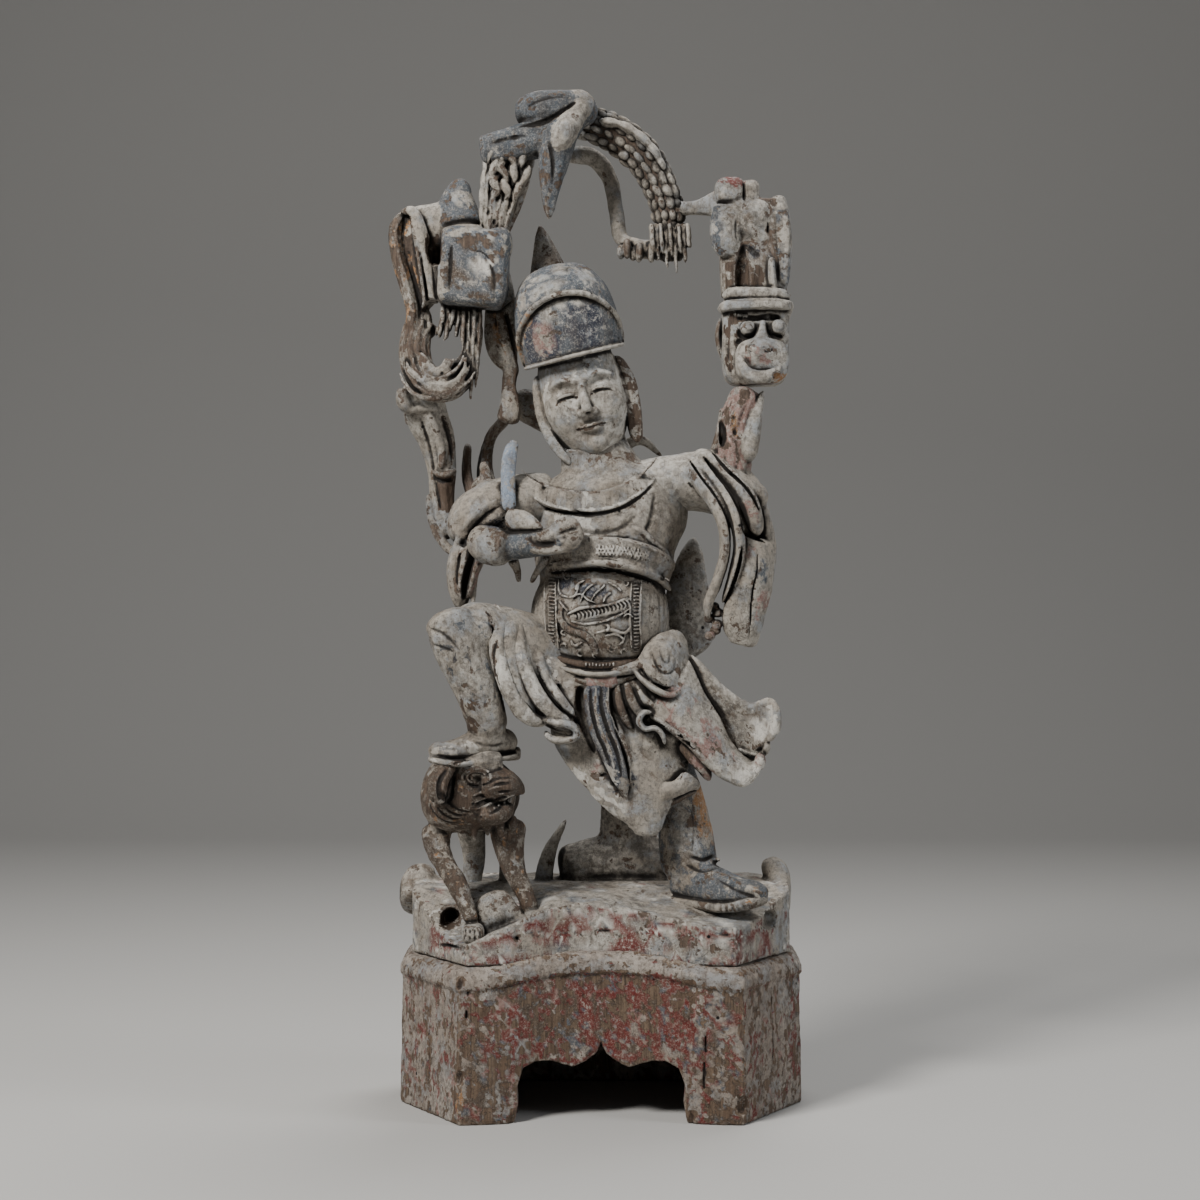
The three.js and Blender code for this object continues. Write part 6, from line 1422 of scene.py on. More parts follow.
def carve_skirt():
    """The robe's skirt: pleats over the thigh, the pointed front with its sash, and the part that flies
    out.
    """
    wood = Carving((-58, -56, 118), (84, 14, 230), 0.55, reach=2.6, near=1.2)
    thigh = [
        [(-46.8, -30, 223.2), (-35.5, -30, 214.1), (-23.3, -26, 202.2), (-9.2, -28, 196.1),
         (6.1, -30, 196.1)],
        [(-46, -40, 205.7), (-37.5, -39, 197.2), (-27.4, -35, 184.9), (-11.4, -30, 179.1), (4.8, -30, 179.1)],
        [(-38, -37, 184.5), (-29.9, -35, 174.5), (-19.7, -32, 167.6), (-8.3, -29, 164.6), (3.9, -30, 164.7)],
    ]
    wood.add(drape(thigh, 7), PALE)
    wood.grow([(2, 2, 192), (6, 0, 168), (14, -2, 142)],
              [26, 27, 14], [14, 14, 10], GREY, 1, relief=strands(13, 0.8))
    front = [
        [(-18, -24, 195.1), (-4.8, -26, 190.7), (8.3, -27, 190.8), (23.7, -25, 194.2), (36.8, -16, 197.5)],
        [(-21.9, -28, 165.8), (-10.1, -29, 162.2), (3.9, -30, 160.3), (21.4, -28, 162.8), (38, -20, 163.1)],
        [(-6.1, -28, 143.7), (3.8, -30, 138.4), (11.8, -31, 135.3), (21.5, -29, 137.4), (37.3, -20, 148.8)],
        [(12.7, -28, 127.5), (16.8, -28, 124.8), (20.4, -28, 121.6), (22.6, -27, 121.4), (24.4, -24, 133.7)],
    ]
    wood.add(drape(front, 7), PALE, 0.6)
    pleats = (
        ([(-42.7, -36, 217.2), (-45, -42, 204.2), (-39.7, -44, 187), (-32, -42, 174.8), (-23.9, -40, 171.2)],
         [2, 3.4, 4, 3.6, 2], [2.4, 4, 4.4, 4, 2.4]),
        ([(-35.4, -33, 215.4), (-35.2, -39, 202.4), (-28.6, -42, 185.2), (-20.4, -41, 175.6),
          (-13.5, -39, 172)], [1.6, 3.2, 3.6, 3, 1.8], [2, 3.6, 4, 3.2, 2.2]),
        ([(-27.6, -31, 203.1), (-24.4, -36, 191.9), (-17.8, -38, 181.6), (-10.9, -37, 174.6)],
         [1.6, 2.4, 2.6, 1.8], [2, 3, 3.2, 2]),
    )
    for path, widths, depths in pleats:
        wood.grow(path, widths, depths, PALE, 1.4, square=2.4)
    grooves = (
        ([(-38.4, -44, 211.2), (-40, -48, 199.2), (-34.5, -46, 183.6), (-25.9, -44, 174)], 1.8, 2),
        ([(-27.7, -42, 197.3), (-24.2, -44, 188.7), (-18.6, -44, 180.1), (-10.4, -42, 172.2),
          (-9.5, -40, 166.5)], 2, 2.6),
        ([(-23.4, -40, 197.2), (-19.5, -42, 188.6), (-13, -42, 179.1), (-7.4, -40, 172.1)], 2.2, 3),
        ([(-44.8, -46, 207.8), (-46.5, -48, 197.5), (-43, -48, 185.4)], 1.2, 1),
    )
    # The grooves between the pleats are laid dark as painted shade.
    for path, width, depth in grooves:
        wood.score(path, width, depth, DARK, 0.8)
    hem = [(-26.1, -38, 173.7), (-19.5, -42, 172.2), (-12.1, -41, 170), (-10.4, -40, 166.5),
           (-15.2, -40, 164.3), (-21.3, -39, 164.7), (-24.4, -37, 168)]
    wood.grow(hem, [1.4, 1.8, 2, 1.9, 1.8, 1.6, 1.2], [3, 3.6, 3.6, 3.4, 3, 3, 2.4], PALE, 0.5)
    # The dark cut under the hem is painted shade.
    wood.cut(ball((-17.7, -44, 168.4), (4.8, 7, 1.5), (0, 10, 0)), DARK, 0.4)
    wood.mottle(ball((-30.8, -40, 186), (20, 16, 22)), GREY, 6, 0.22, 100)
    wood.mottle(ball((-30.8, -40, 186), (20, 16, 22)), WHITE, 4, 0.3, 101)
    add_front_and_sash(wood)
    add_petal(wood)
    add_flying_cloth(wood)
    add_hook_and_corner(wood)
    return wood


def add_beast_legs(wood):
    """Four thin legs, of which the two in front stand on blunt toed feet."""
    left = [(-72.5, -26, 126.6), (-71.7, -31, 117.4), (-67.5, -35, 109.1), (-62.6, -38, 101.6),
            (-58.5, -40, 92.3), (-55, -41, 83.8)]
    right = [(-41.4, -24, 129), (-40.4, -27, 117), (-37.7, -28, 105.7), (-33.7, -29, 97.1),
             (-29.7, -31, 87.7)]
    wood.grow(left, [7.6, 6, 4.8, 4.8, 3.8, 3.4], [8, 6, 5, 4.8, 4.2, 3.6], UMBER, 1.2,
              relief=both(rings_round(6, 0.3), strands(4, 0.4)))
    wood.grow(right, [9.4, 7, 5.2, 4.2, 3.6], [9, 6.6, 5.2, 4.4, 3.8], UMBER, 1.2, relief=strands(4, 0.4))
    for blots in (
        (sweep(left, 9, 10), OCHRE, 2, 0.06, 123),
        (sweep(left, 9, 10), DUST, 5, 0.25, 124),
        (sweep(right, 10, 10), OCHRE, 2, 0.06, 125),
        (sweep(right, 10, 10), DUST, 5, 0.25, 126),
    ):
        wood.mottle(*blots)
    for path in ([(-59.4, 8, 125.3), (-57.9, 14, 106.5), (-60.6, 14, 88.3)],
                 [(-44, 10, 125.1), (-41.5, 16, 106.3), (-43.4, 16, 88)]):
        wood.grow(path, [7, 5, 4.4], [8, 5.4, 4.4], GREY, 1)
    for x, y, z in ((-55.4, -42, 80.8), (-28.8, -32, 85.6)):
        wood.add(ball((x, y, z), (4.9, 5.4, 4.6), square=2.8), GREY, 0.8)
        for i in (-1.5, -0.5, 0.5, 1.5):
            wood.score([(x + 1.8 * i, -60, z + 3), (x + 2.1 * i, -60, z), (x + 2.2 * i, -60, z - 3.4)],
                       0.8, 0.8)


def carve_beast():
    """The beast underfoot: a heavy wrinkled head with lop ears and a wide mouth, on thin legs."""
    wood = Carving((-88, -54, 74), (-22, 36, 164), 0.55, reach=2.2, near=1)
    wood.add(ball((-58, -24, 140.2), (20.6, 19, 16.4), (0, 6, 0), square=2.6), UMBER)
    wood.add(ball((-64.5, -28, 137.5), (14, 17, 14), square=2.3), UMBER, 4)
    wood.grow([(-56.3, -16, 138.5), (-52.6, 0, 136.8), (-51.7, 18, 130.8)],
              [17, 16, 13], [15, 14, 13], UMBER, 3, facing=UP, relief=strands(9, 0.6))
    wood.grow([(-65, -34, 152.6), (-53.4, -38, 154.6), (-43.1, -36, 153.6)], [6, 7, 5], [7, 8, 7], GREY, 4)
    wood.grow([(-49.9, -40, 144.3), (-42.4, -42, 145.4), (-37, -36, 142.3)],
              [6.4, 6.6, 4.4], [8, 8, 7], UMBER, 3)
    wood.grow([(-52.5, -40, 133.1), (-45.5, -40, 132.2), (-40, -36, 134.5)],
              [4.6, 4.8, 3.2], [8, 7.4, 6], UMBER, 2)
    for blots in (
        (ball((-58, -30, 140), (24, 22, 18)), DUST, 5, 0.4, 120),
        (ball((-58, -30, 140), (24, 22, 18)), BARE, 3, 0.14, 121),
        (ball((-66, -34, 138), (12, 20, 14)), OCHRE, 2, 0.08, 122),
    ):
        wood.mottle(*blots)
    # The mouth is cut and laid black as painted shade.
    wood.cut(sweep([(-52.6, -54, 132.6), (-46.7, -52, 134.1), (-40.9, -48, 137.6), (-35.2, -38, 139.4)],
                   [0.7, 1.2, 1.5, 1.2], [5, 6, 7, 6]), BLACK, 0.5)
    wood.ridge([(-51.1, -50, 135.2), (-46, -50, 137.4), (-41, -46, 140.1), (-36.9, -40, 140.9)],
               2, 1.1, GREY, 0.6)
    for i in range(5):
        wood.add(ball((-48.3 + 2.1 * i, -46 + 1.1 * i, 134 + 1.15 * i), (0.75, 1.5, 0.9), fine=0.5),
                 GREY, 0.2)
    ear = [(-62.9, -40, 155.6), (-66.5, -45, 152.5), (-70.1, -49, 146.7), (-70.1, -49, 141.2),
           (-67.6, -47, 138)]
    wood.grow(ear, [2.2, 3.8, 4.6, 4.2, 2], [2.4, 3.4, 3.8, 3.4, 2], UMBER, 0.7)
    wood.score([(x + 1, -60, z + 0.6) for x, _, z in ear[1:]], 2, 1.2, BARE, 0.8)
    wood.score([(-63.6, -50, 151.1), (-63.9, -52, 146.1), (-64.7, -52, 140.1), (-67.4, -50, 136.1)], 1.5, 1.5)
    for i, reach in enumerate((5.6, 3.8, 1.9)):
        turns = np.linspace(-0.6 + 0.5 * i, 3.9 + 0.5 * i, 8)
        ring = [(-53.7 + reach * 1.12 * math.cos(a), -60, 148.5 + reach * 0.72 * math.sin(a)) for a in turns]
        wood.ridge(ring, 1.5, 0.9, (GREY, UMBER, GREY)[i], 0.4)
    wood.score([(-57.9, -52, 145.3), (-53.6, -52, 144.4), (-49, -50, 146)], 1.1, 0.9)
    for i in range(5):
        line = [(-50.3, -50, 149), (-44.8, -48, 151.8), (-39.4, -42, 152.3)]
        wood.score([(x + 0.4 * i, -60, z - 3 * i - 0.5 * (i % 2)) for x, _, z in line], 1, 0.8)
    for i in range(4):
        line = [(-56.2, -52, 140.1), (-51.9, -52, 141.8), (-46.8, -50, 144.2), (-42.3, -46, 144.8)]
        wood.ridge([(x + 1 * i, -60, z - 2.9 * i) for x, _, z in line], 1.5, 0.8, UMBER, 0.5)
    # The folds of the jaw are cut and laid dark as painted shade.
    for i in range(5):
        z = 142 - 2.9 * i
        x = -60.5 + 1.1 * i
        wood.cut(sweep([(x, -46, z + 1.6), (x + 2.2, -47, z), (x + 4.6, -46, z + 1.2)],
                       [0.4, 0.8, 0.3], [3, 3.4, 3]), DARK, 0.3)
    for i in range(4):
        line = [(-74.7, -44, 142.1), (-72.7, -48, 136.3), (-67.4, -50, 132.2), (-60.5, -51, 131.4)]
        wood.score([(x + 2.2 * i, -60, z + 1.6 * i - 3) for x, _, z in line], 1, 0.7)
    # The dark cut under the jaw is painted shade.
    wood.cut(sweep([(-71.8, -36, 124), (-65.4, -42, 122.4), (-58.2, -46, 121.5), (-50.4, -46, 122.4)],
                   [1.6, 2.2, 2.2, 1.4], [7, 7, 7, 6]), DARK, 1)
    for i in range(7):
        x = -73 + 5.6 * i
        drop = (4, 6.5, 4.5, 7, 5, 6, 3.5)[i]
        deep = 31 + 1.2 * (3 - abs(i - 3))
        wood.grow([(x, -deep, 130.5 - 0.5 * (i % 3)), (x + 0.8, -deep - 1.5, 127),
                   (x + 1.2, -deep, 127 - drop)], [2.2, 2.2, 0.5], [2.6, 2.4, 0.8], UMBER, 1.2, fine=0.6)
    add_beast_legs(wood)
    return wood


PLINTH_HALF_WIDTH = 90.5
PLINTH_HALF_DEPTH = 55
PLINTH_FRONT_HALF = 61.5
PLINTH_SIDE_Y = -4
PLINTH_BACK_Y = 32
PLINTH_BACK_HALF = 70
FRONT_HOLLOW = 14
LEDGE_LOW_Z = 61.5
LEDGE_SWELL = 5.5
LEDGE_BEVEL = 5.4
PLINTH_TOP_Z = 67
WALL = 12
UNDERSIDE_Z = 46
TIER_INSET = 6
TIER_BACK_Z = 97
TIER_FRONT_Z = (75, 77, 84, 92, 92.5, 90, 87.5, 85, 84)


def stand_plan(inset):
    """The stand's outline seen from above: a hollowed front, oblique corners and straight sides."""
    front_half = PLINTH_FRONT_HALF - inset * 0.6
    front_y = -PLINTH_HALF_DEPTH + inset
    half = PLINTH_HALF_WIDTH - inset
    back_half = PLINTH_BACK_HALF - inset * 0.4
    back_y = PLINTH_HALF_DEPTH - inset
    side_back_y = PLINTH_BACK_Y - inset * 0.4
    place = np.linspace(0, 1, 13)[:, None]
    bend = np.array([(-front_half, front_y), (-front_half * 0.45, front_y + 2),
                     (-front_half * 0.4, front_y + FRONT_HOLLOW), (0, front_y + FRONT_HOLLOW)])
    left = ((1 - place) ** 3 * bend[0] + 3 * (1 - place) ** 2 * place * bend[1]
            + 3 * (1 - place) * place**2 * bend[2] + place**3 * bend[3])
    corners = [(half, PLINTH_SIDE_Y), (half, side_back_y), (back_half, back_y), (-back_half, back_y),
               (-half, side_back_y), (-half, PLINTH_SIDE_Y)]
    return np.concatenate([left, (left * (-1, 1))[-2::-1], corners])


def outline_distance(outline, x, y):
    """Distance to a closed outline, below 0 inside it."""
    near = np.full(x.shape, 1e9)
    inside = np.zeros(x.shape, bool)
    for (ax, ay), (bx, by) in zip(outline, np.roll(outline, -1, axis=0)):
        along_x, along_y = bx - ax, by - ay
        part = np.clip(((x - ax) * along_x + (y - ay) * along_y) / (along_x**2 + along_y**2), 0, 1)
        near = np.minimum(near, np.hypot(x - ax - part * along_x, y - ay - part * along_y))
        crosses = (ay > y) != (by > y)
        with np.errstate(divide="ignore", invalid="ignore"):
            inside ^= crosses & (x < ax + (y - ay) * along_x / (along_y if along_y else 1e-9))
    return np.where(inside, -near, near)


def ground_z(x, y):
    """Height of the ground tier's top: uneven along the front, level behind."""
    front = np.interp((x + 75) / 140 * 8, range(9), TIER_FRONT_Z)
    rise = np.clip((y + 42) / 48, 0, 1)
    return front + (TIER_BACK_Z - front) * rise * rise * (3 - 2 * rise)


def ledge_z(x, y):
    """Height of the plinth's ledge, which swells up over the opening in the front."""
    rise = np.clip((-y - 10) / 25, 0, 1)
    return LEDGE_LOW_Z + LEDGE_SWELL * np.exp(-((x / 40) ** 4)) * rise * rise * (3 - 2 * rise)


def speckle(wood, paints):
    """Paints the skin of a carving in blots: a paint, the blot size, how drawn out it is upright, and
    its share.
    """
    skin = np.argwhere(np.abs(wood.field) < 2 * wood.cell)
    places = (skin + wood.low) * wood.cell
    for i, (paint, size, upright, share) in enumerate(paints):
        drawn = places / (1, 1, upright)
        blots = 0
        for k, (part, weight) in enumerate(((1, 0.48), (0.38, 0.3), (0.16, 0.22))):
            blots = blots + noise(drawn, size * part, 130 + 3 * i + k) * weight
        rank = blots.argsort().argsort() / len(blots)
        kept = rank > 1 - (share(*places.T) if callable(share) else share)
        wood.paint[tuple(skin[kept].T)] = paint


def carve_ground():
    """The rocky tier under the figure, with the log and the rock behind, a curved horn, hollows and
    worn edges.
    """
    wood = Carving((-91, -50, 66), (89, 52, 174), 0.8)
    x, y, z = wood.places()
    plan = outline_distance(stand_plan(TIER_INSET), x[:, :, 0], y[:, :, 0])[..., None]
    level = np.stack([x[:, :, 0], y[:, :, 0], 0 * x[:, :, 0]], -1)
    rough = 1.6 * (noise(level.reshape(-1, 3), 9, 3).reshape(x.shape[:2]) - 0.5)[..., None]
    top = (z - ground_z(x, y) - rough) * 0.86
    wood.field[:] = np.clip(np.maximum(np.maximum(top, plan), PLINTH_TOP_Z + 0.3 - z), -wood.far, wood.far)
    wood.paint[:] = PALE
    front = lambda x, y, z: (y < -18) & (z < ground_z(x, y) - 1.6)
    speckle(wood, (
        (GREY, 5, 1, lambda x, y, z: 0.34 + 0.2 * front(x, y, z)),
        (DUST, 2.4, 1, lambda x, y, z: 0.18 + 0.1 * front(x, y, z)),
        (PINK, 6, 0.5, lambda x, y, z: 0.03 + 0.45 * front(x, y, z)),
        (RED, 6, 0.35, lambda x, y, z: 0.01 + 0.45 * front(x, y, z)),
        (GREY, 2, 0.6, 0.12),
        (SLATE, 2, 1, 0.05),
        (WHITE, 1.6, 0.6, 0.08),
    ))
    wood.grow([(-52, -30, 84), (-44, -31, 88.5), (-34, -30, 84)], [6, 8, 4], [8, 9, 6], GREY, 3)
    wood.grow([(-56, -30, 82.7), (-50.3, -31, 90.3), (-42.9, -30, 92.8), (-37.6, -30, 84.9)],
              [3, 5, 5, 3], [6, 8, 8, 5], DUST, 2)
    wood.grow([(-18.8, 22, 99.2), (-0.5, 24, 105.4), (17.9, 24, 105.4), (36.3, 24, 99.9)], [12, 11, 12, 10],
              [10, 12, 12, 10], GREY, 3, relief=strands(11, 0.7, 0.1))
    wood.grow([(12.4, 26, 92), (12.4, 25, 112), (11.6, 22, 136), (10.5, 20, 168)], [14, 13, 13, 14],
              [12, 11, 11, 11], GREY, 3, relief=both(strands(7, 1, 0.3, 40), rings_round(23, 1)))
    wood.grow([(-26.9, 14, 91.9), (-24.2, 16, 108.1), (-15.6, 18, 125.3)],
              [4.5, 3.4, 0.8], [4.5, 3, 0.8], GESSO, 1.5)
    wood.grow([(-84, 18, 84), (-84, 26, 96), (-80, 30, 98)], [8, 7, 5], [12, 10, 8], DUST, 2, square=3)
    wood.grow([(82, 16, 80), (81, 24, 96), (80, 28, 99)], [4, 6, 4], [16, 14, 10], GESSO, 2, square=3)
    # Hollows and a crack in the rock are cut and laid dark as painted shade.
    wood.cut(ball((-66.7, -20, 84.5), (4.6, 14, 4), (0, -30, 0)), DARK, 1)
    wood.cut(sweep([(-51.4, -26, 94.9), (-41.9, -22, 95.3), (-35.6, -26, 91.9), (-31.1, -30, 84.9)],
                   [1, 2, 3, 1.6], [6, 6, 8, 6]), DARK, 1)
    wood.cut(sweep([(-36.8, -30, 77), (-35.7, -60, 81.2)], 0.8, 0.8), DARK, 0.2)
    wood.coat(sweep([(-53.1, -44, 70.3), (-0.4, -42, 77.8), (34.3, -40, 76.7), (57.9, -44, 72.1)], 1.6, 9),
              DUST)
    wood.cut(ball((75, -22, 83.9), (4, 8, 4), square=3), GESSO, 0.4)
    for i in range(9):
        start = -70 + 17 * i
        wood.score([(start, -60, 79 + 2 * (i % 3)), (start + 6, -60, 80.5), (start + 11, -60, 78 + (i % 2))],
                   0.8, 0.6)
    for i in range(4):
        wood.score([(-76 + 2 * i, -60, 72.5 + 0.4 * i), (-66 + 3 * i, -60, 74.6), (-58, -60, 72)], 0.8, 0.7)
    return wood


def carve_plinth():
    """The stand: a bevelled ledge on leaning sides, hollow below, with a cusped opening in the front."""
    wood = Carving((-92, -56, -1), (92, 56, 74), 0.75)
    x, y, z = wood.places()
    base = ledge_z(x, y)
    plan = outline_distance(stand_plan(0), x[:, :, 0], y[:, :, 0])[..., None]
    levels = np.stack([0 * base, base - 4.6, base - 3.4, base, base + LEDGE_BEVEL * 0.72, base + LEDGE_BEVEL])
    insets = (0.6, 1.6, 0.5, 0.5, 2.4, TIER_INSET - 1)
    inset = np.full(x.shape, insets[0])
    for k in range(5):
        part = np.clip((z - levels[k]) / (levels[k + 1] - levels[k]), 0, 1)
        inset = np.where(z > levels[k], insets[k] + (insets[k + 1] - insets[k]) * part, inset)
    body = np.maximum(np.maximum(plan + inset, z - base - LEDGE_BEVEL), 0.05 - z)
    seat = np.maximum(outline_distance(stand_plan(TIER_INSET - 0.3), x[:, :, 0], y[:, :, 0])[..., None],
                      PLINTH_TOP_Z - z)
    hollow = np.maximum(outline_distance(stand_plan(WALL), x[:, :, 0], y[:, :, 0])[..., None],
                        z - UNDERSIDE_Z)
    half = np.array([(37.5, -4), (37.5, -1), (35.7, 8), (36.2, 16), (33.6, 23.4), (28, 26.2), (22, 26),
                     (12, 22.6), (6.2, 25.4), (2.2, 28.4), (0, 33)])
    apron = np.concatenate([half, (half * (-1, 1))[-2::-1]])
    opening = np.maximum(outline_distance(apron, x[:, 0, :], z[:, 0, :])[:, None, :], y)
    field = np.maximum(np.maximum(np.maximum(body, -seat), -hollow), -opening)
    wood.field[:] = np.clip(field, -wood.far, wood.far)
    wood.roughen(2.6, 1.3, 0.4, 160)
    wood.field[:] = np.maximum(wood.field, 0.05 - z)
    wood.paint[:] = PALE
    side = lambda x, y, z: (z < ledge_z(x, y) - 2.5) * 1.0
    front = lambda x, y, z: side(x, y, z) * (y < -30) * (np.abs(x) < 61)
    middle = lambda x, y, z: front(x, y, z) * np.exp(-((x / 44) ** 4)) * np.clip((z - 8) / 20, 0.3, 1)
    speckle(wood, (
        (GREY, 7, 1.3, lambda x, y, z: 0.36 + 0.1 * side(x, y, z)),
        (DUST, 4, 1.8, lambda x, y, z: 0.12 + 0.14 * side(x, y, z)),
        (PINK, 6, 1,
         lambda x, y, z: 0.04 + 0.12 * side(x, y, z) + 0.1 * front(x, y, z) + 0.3 * middle(x, y, z)),
        (RED, 11, 0.8,
         lambda x, y, z: 0.01 + 0.14 * side(x, y, z) + 0.2 * front(x, y, z) + 0.45 * middle(x, y, z)),
        (GREY, 4, 1.4, lambda x, y, z: 0.12 + 0.06 * side(x, y, z)),
        (UMBER, 7, 1.4, lambda x, y, z: 0.04 + 0.08 * side(x, y, z) + 0.2 * front(x, y, z)),
        (RED, 3.4, 1, lambda x, y, z: 0.01 + 0.08 * side(x, y, z) + 0.2 * middle(x, y, z)),
        (SLATE, 3, 1, lambda x, y, z: 0.02 + 0.06 * front(x, y, z)),
        (BARE, 2.4, 5, lambda x, y, z: 0.01 + 0.03 * side(x, y, z)),
        (DARK, 2, 1.4, lambda x, y, z: 0.01 + 0.02 * side(x, y, z)),
    ))
    cracks = [
        ([(-57, -60, 60), (-58, -60, 38), (-56.6, -60, 14)], 1),
        ([(-27, -60, 56), (-28.2, -60, 42), (-27.6, -60, 30)], 0.8),
        ([(12, -60, 58), (13.2, -60, 46), (12.6, -60, 34)], 0.7),
        ([(44, -60, 58), (45, -60, 36), (43.6, -60, 6)], 1),
        ([(55, -60, 40), (55.8, -60, 24), (55.2, -60, 8)], 0.7),
        ([(-47, -60, 30), (-46.4, -60, 16), (-47, -60, 3)], 0.8),
        ([(74, -60, 55), (75, -60, 30), (74, -60, 10)], 0.8),
        ([(-74, -60, 50), (-75, -60, 30), (-74.5, -60, 12)], 0.8),
    ]
    for path, width in cracks:
        wood.score(path, width, 1.4, None, 0.2)
    chips = [(-62, -54, 20, 2.4), (61.6, -55, 44, 2), (62, -54, 9, 3), (-37, -52, 3, 2.6), (38, -52, 2, 2.4),
             (-61, -55, 61, 2.2), (30, -43, 68, 2)]
    for cx, cy, cz, reach in chips:
        wood.cut(ball((cx, cy, cz), (reach, reach, reach * 1.5), (10, 20, 30), square=2.6), BARE, 0.3)
    for edge_x in (-61.6, 61.6):
        corner = sweep([(edge_x, -54, 4), (edge_x, -55, 30), (edge_x, -55, 58)], 1.8, 3)
        wood.mottle(corner, BARE, 6, 0.6, 150)
        wood.mottle(corner, OCHRE, 4, 0.45, 151)
    wood.coat(sweep([(-60, -55, 63.5), (-30, -46, 65), (0, -40, 70), (30, -46, 65), (60, -55, 63.5)], 1, 3),
              PALE)
    return wood


def node(tree, kind, values=(), out=0, **settings):
    """Adds a node with its settings and links, and gives one of its outputs."""
    made = tree.nodes.new(kind)
    for key, value in settings.items():
        setattr(made, key, value)
    for key, value in values.items() if isinstance(values, dict) else enumerate(values):
        if isinstance(value, bpy.types.NodeSocket):
            tree.links.new(value, made.inputs[key])
        else:
            made.inputs[key].default_value = value
    return made.outputs[out] if made.outputs else None


def aged_wood(name, tint, grain_way, patch_mm, wear, loss, paint_kept):
    """Carved wood under gesso and pigment: thin on edges, dark in hollows and creases by dirt and painted
    shade, lighter on ridges by wear and painted highlight, with grain, fine cracks and wormholes.
    """
    material = bpy.data.materials.new(name)
    material.use_nodes = True
    tree = material.node_tree
    shader = tree.nodes["Principled BSDF"]
    where = node(tree, COORDINATES, out="Object")
    along = node(tree, MAPPING, {"Vector": where, "Scale": grain_way})
    downward = node(tree, MAPPING, {"Vector": where, "Scale": (1, 1, 0.16)})
    grain = node(tree, NOISE, {"Vector": along, "Scale": 1000 / 0.9, "Detail": 6, "Roughness": 0.7})
    figure = node(tree, NOISE, {"Vector": along, "Scale": 1000 / 4.5, "Detail": 4, "Roughness": 0.6})
    streaks = node(tree, NOISE, {"Vector": downward, "Scale": 1000 / 3.4, "Detail": 6, "Roughness": 0.72})
    blots = ((42, 3, 0.5), (15, 5, 0.65), (patch_mm, 8, 0.68), (5.5, 8, 0.72), (2.6, 7, 0.75), (0.8, 5, 0.7))
    soft, clouds, patches, paint_blots, chips, fine = (
        node(tree, NOISE, {"Vector": where, "Scale": 1000 / size_mm, "Detail": detail, "Roughness": rough})
        for size_mm, detail, rough in blots)
    bulge, hollow, bare, covered = (node(tree, ATTRIBUTE, out="Fac", attribute_name=label)
                                    for label in ("bulge", "hollow", "bare", "covered"))
    pigment = node(tree, ATTRIBUTE, out="Color", attribute_name="pigment")
    raised = node(tree, MATH, (bulge, 0.0), operation="MAXIMUM")
    edge = node(tree, MATH, (raised, wear), operation="MULTIPLY")

    wood = node(tree, MIX,
                {0: node(tree, RANGE, (grain, 0.3, 0.7, 0, 1)), 6: tint["wood_dark"], 7: tint["wood_pale"]},
                2, **COLOUR)
    wood = node(tree, MIX,
                {0: node(tree, RANGE, (figure, 0.4, 0.62, 0, 0.65)), 6: wood, 7: tint["wood_warm"]},
                2, **COLOUR)
    stained = node(tree, MIX, {0: 0.75, 6: pigment, 7: wood}, 2, data_type="RGBA", blend_type="OVERLAY")
    wood = node(tree, MIX, {0: node(tree, MATH, (bare, 0.6), operation="MULTIPLY"), 6: wood, 7: stained},
                2, **COLOUR)

    ragged = node(tree, MIX, {0: 0.38, 2: patches, 3: chips})
    lost = node(tree, MATH, (bare, 0.42, edge), operation="MULTIPLY_ADD")
    left = node(tree, MATH, (ragged, lost), operation="SUBTRACT")
    gesso_left = node(tree, RANGE, (left, loss, loss + 0.035, 0, 1), **SMOOTH)
    gesso = tint["gesso"]
    for pattern, low, high, most, other in ((soft, 0.38, 0.62, 0.9, "gesso_warm"),
                                            (clouds, 0.48, 0.62, 0.75, "gesso_cool"),
                                            (chips, 0.42, 0.6, 0.8, "gesso_dull"),
                                            (streaks, 0.5, 0.7, 0.6, "stain")):
        amount = node(tree, RANGE, (pattern, low, high, 0, most), **SMOOTH)
        gesso = node(tree, MIX, {0: amount, 6: gesso, 7: tint[other]}, 2, **COLOUR)
    worn = node(tree, MATH, (soft, 0.25, edge), operation="MULTIPLY_ADD")
    held = node(tree, MATH, (covered, 1.6, -1.36), operation="MULTIPLY_ADD")
    held = node(tree, MATH, (node(tree, MATH, (paint_blots, held), operation="ADD"), worn),
                operation="SUBTRACT")
    paint_left = node(tree, RANGE, (held, paint_kept, paint_kept + 0.06, 0, 1), **SMOOTH)
    faded = node(tree, MIX,
                 {0: node(tree, RANGE, (streaks, 0.35, 0.7, 0, 0.4), **SMOOTH), 6: pigment, 7: tint["stain"]},
                 2, **COLOUR)
    faded = node(tree, MIX,
                 {0: node(tree, RANGE, (fine, 0.5, 0.66, 0, 0.35), **SMOOTH), 6: faded, 7: tint["rubbed"]},
                 2, **COLOUR)
    flakes = node(tree, RANGE, (chips, 0.4, 0.45, 0.3, 1), **SMOOTH)
    flakes = node(tree, MATH, (flakes, covered), operation="MULTIPLY")
    coat = node(tree, MIX,
                {0: node(tree, MATH, (paint_left, flakes), operation="MULTIPLY"), 6: gesso, 7: faded},
                2, **COLOUR)
    colour = node(tree, MIX, {0: gesso_left, 6: wood, 7: coat}, 2, **COLOUR)

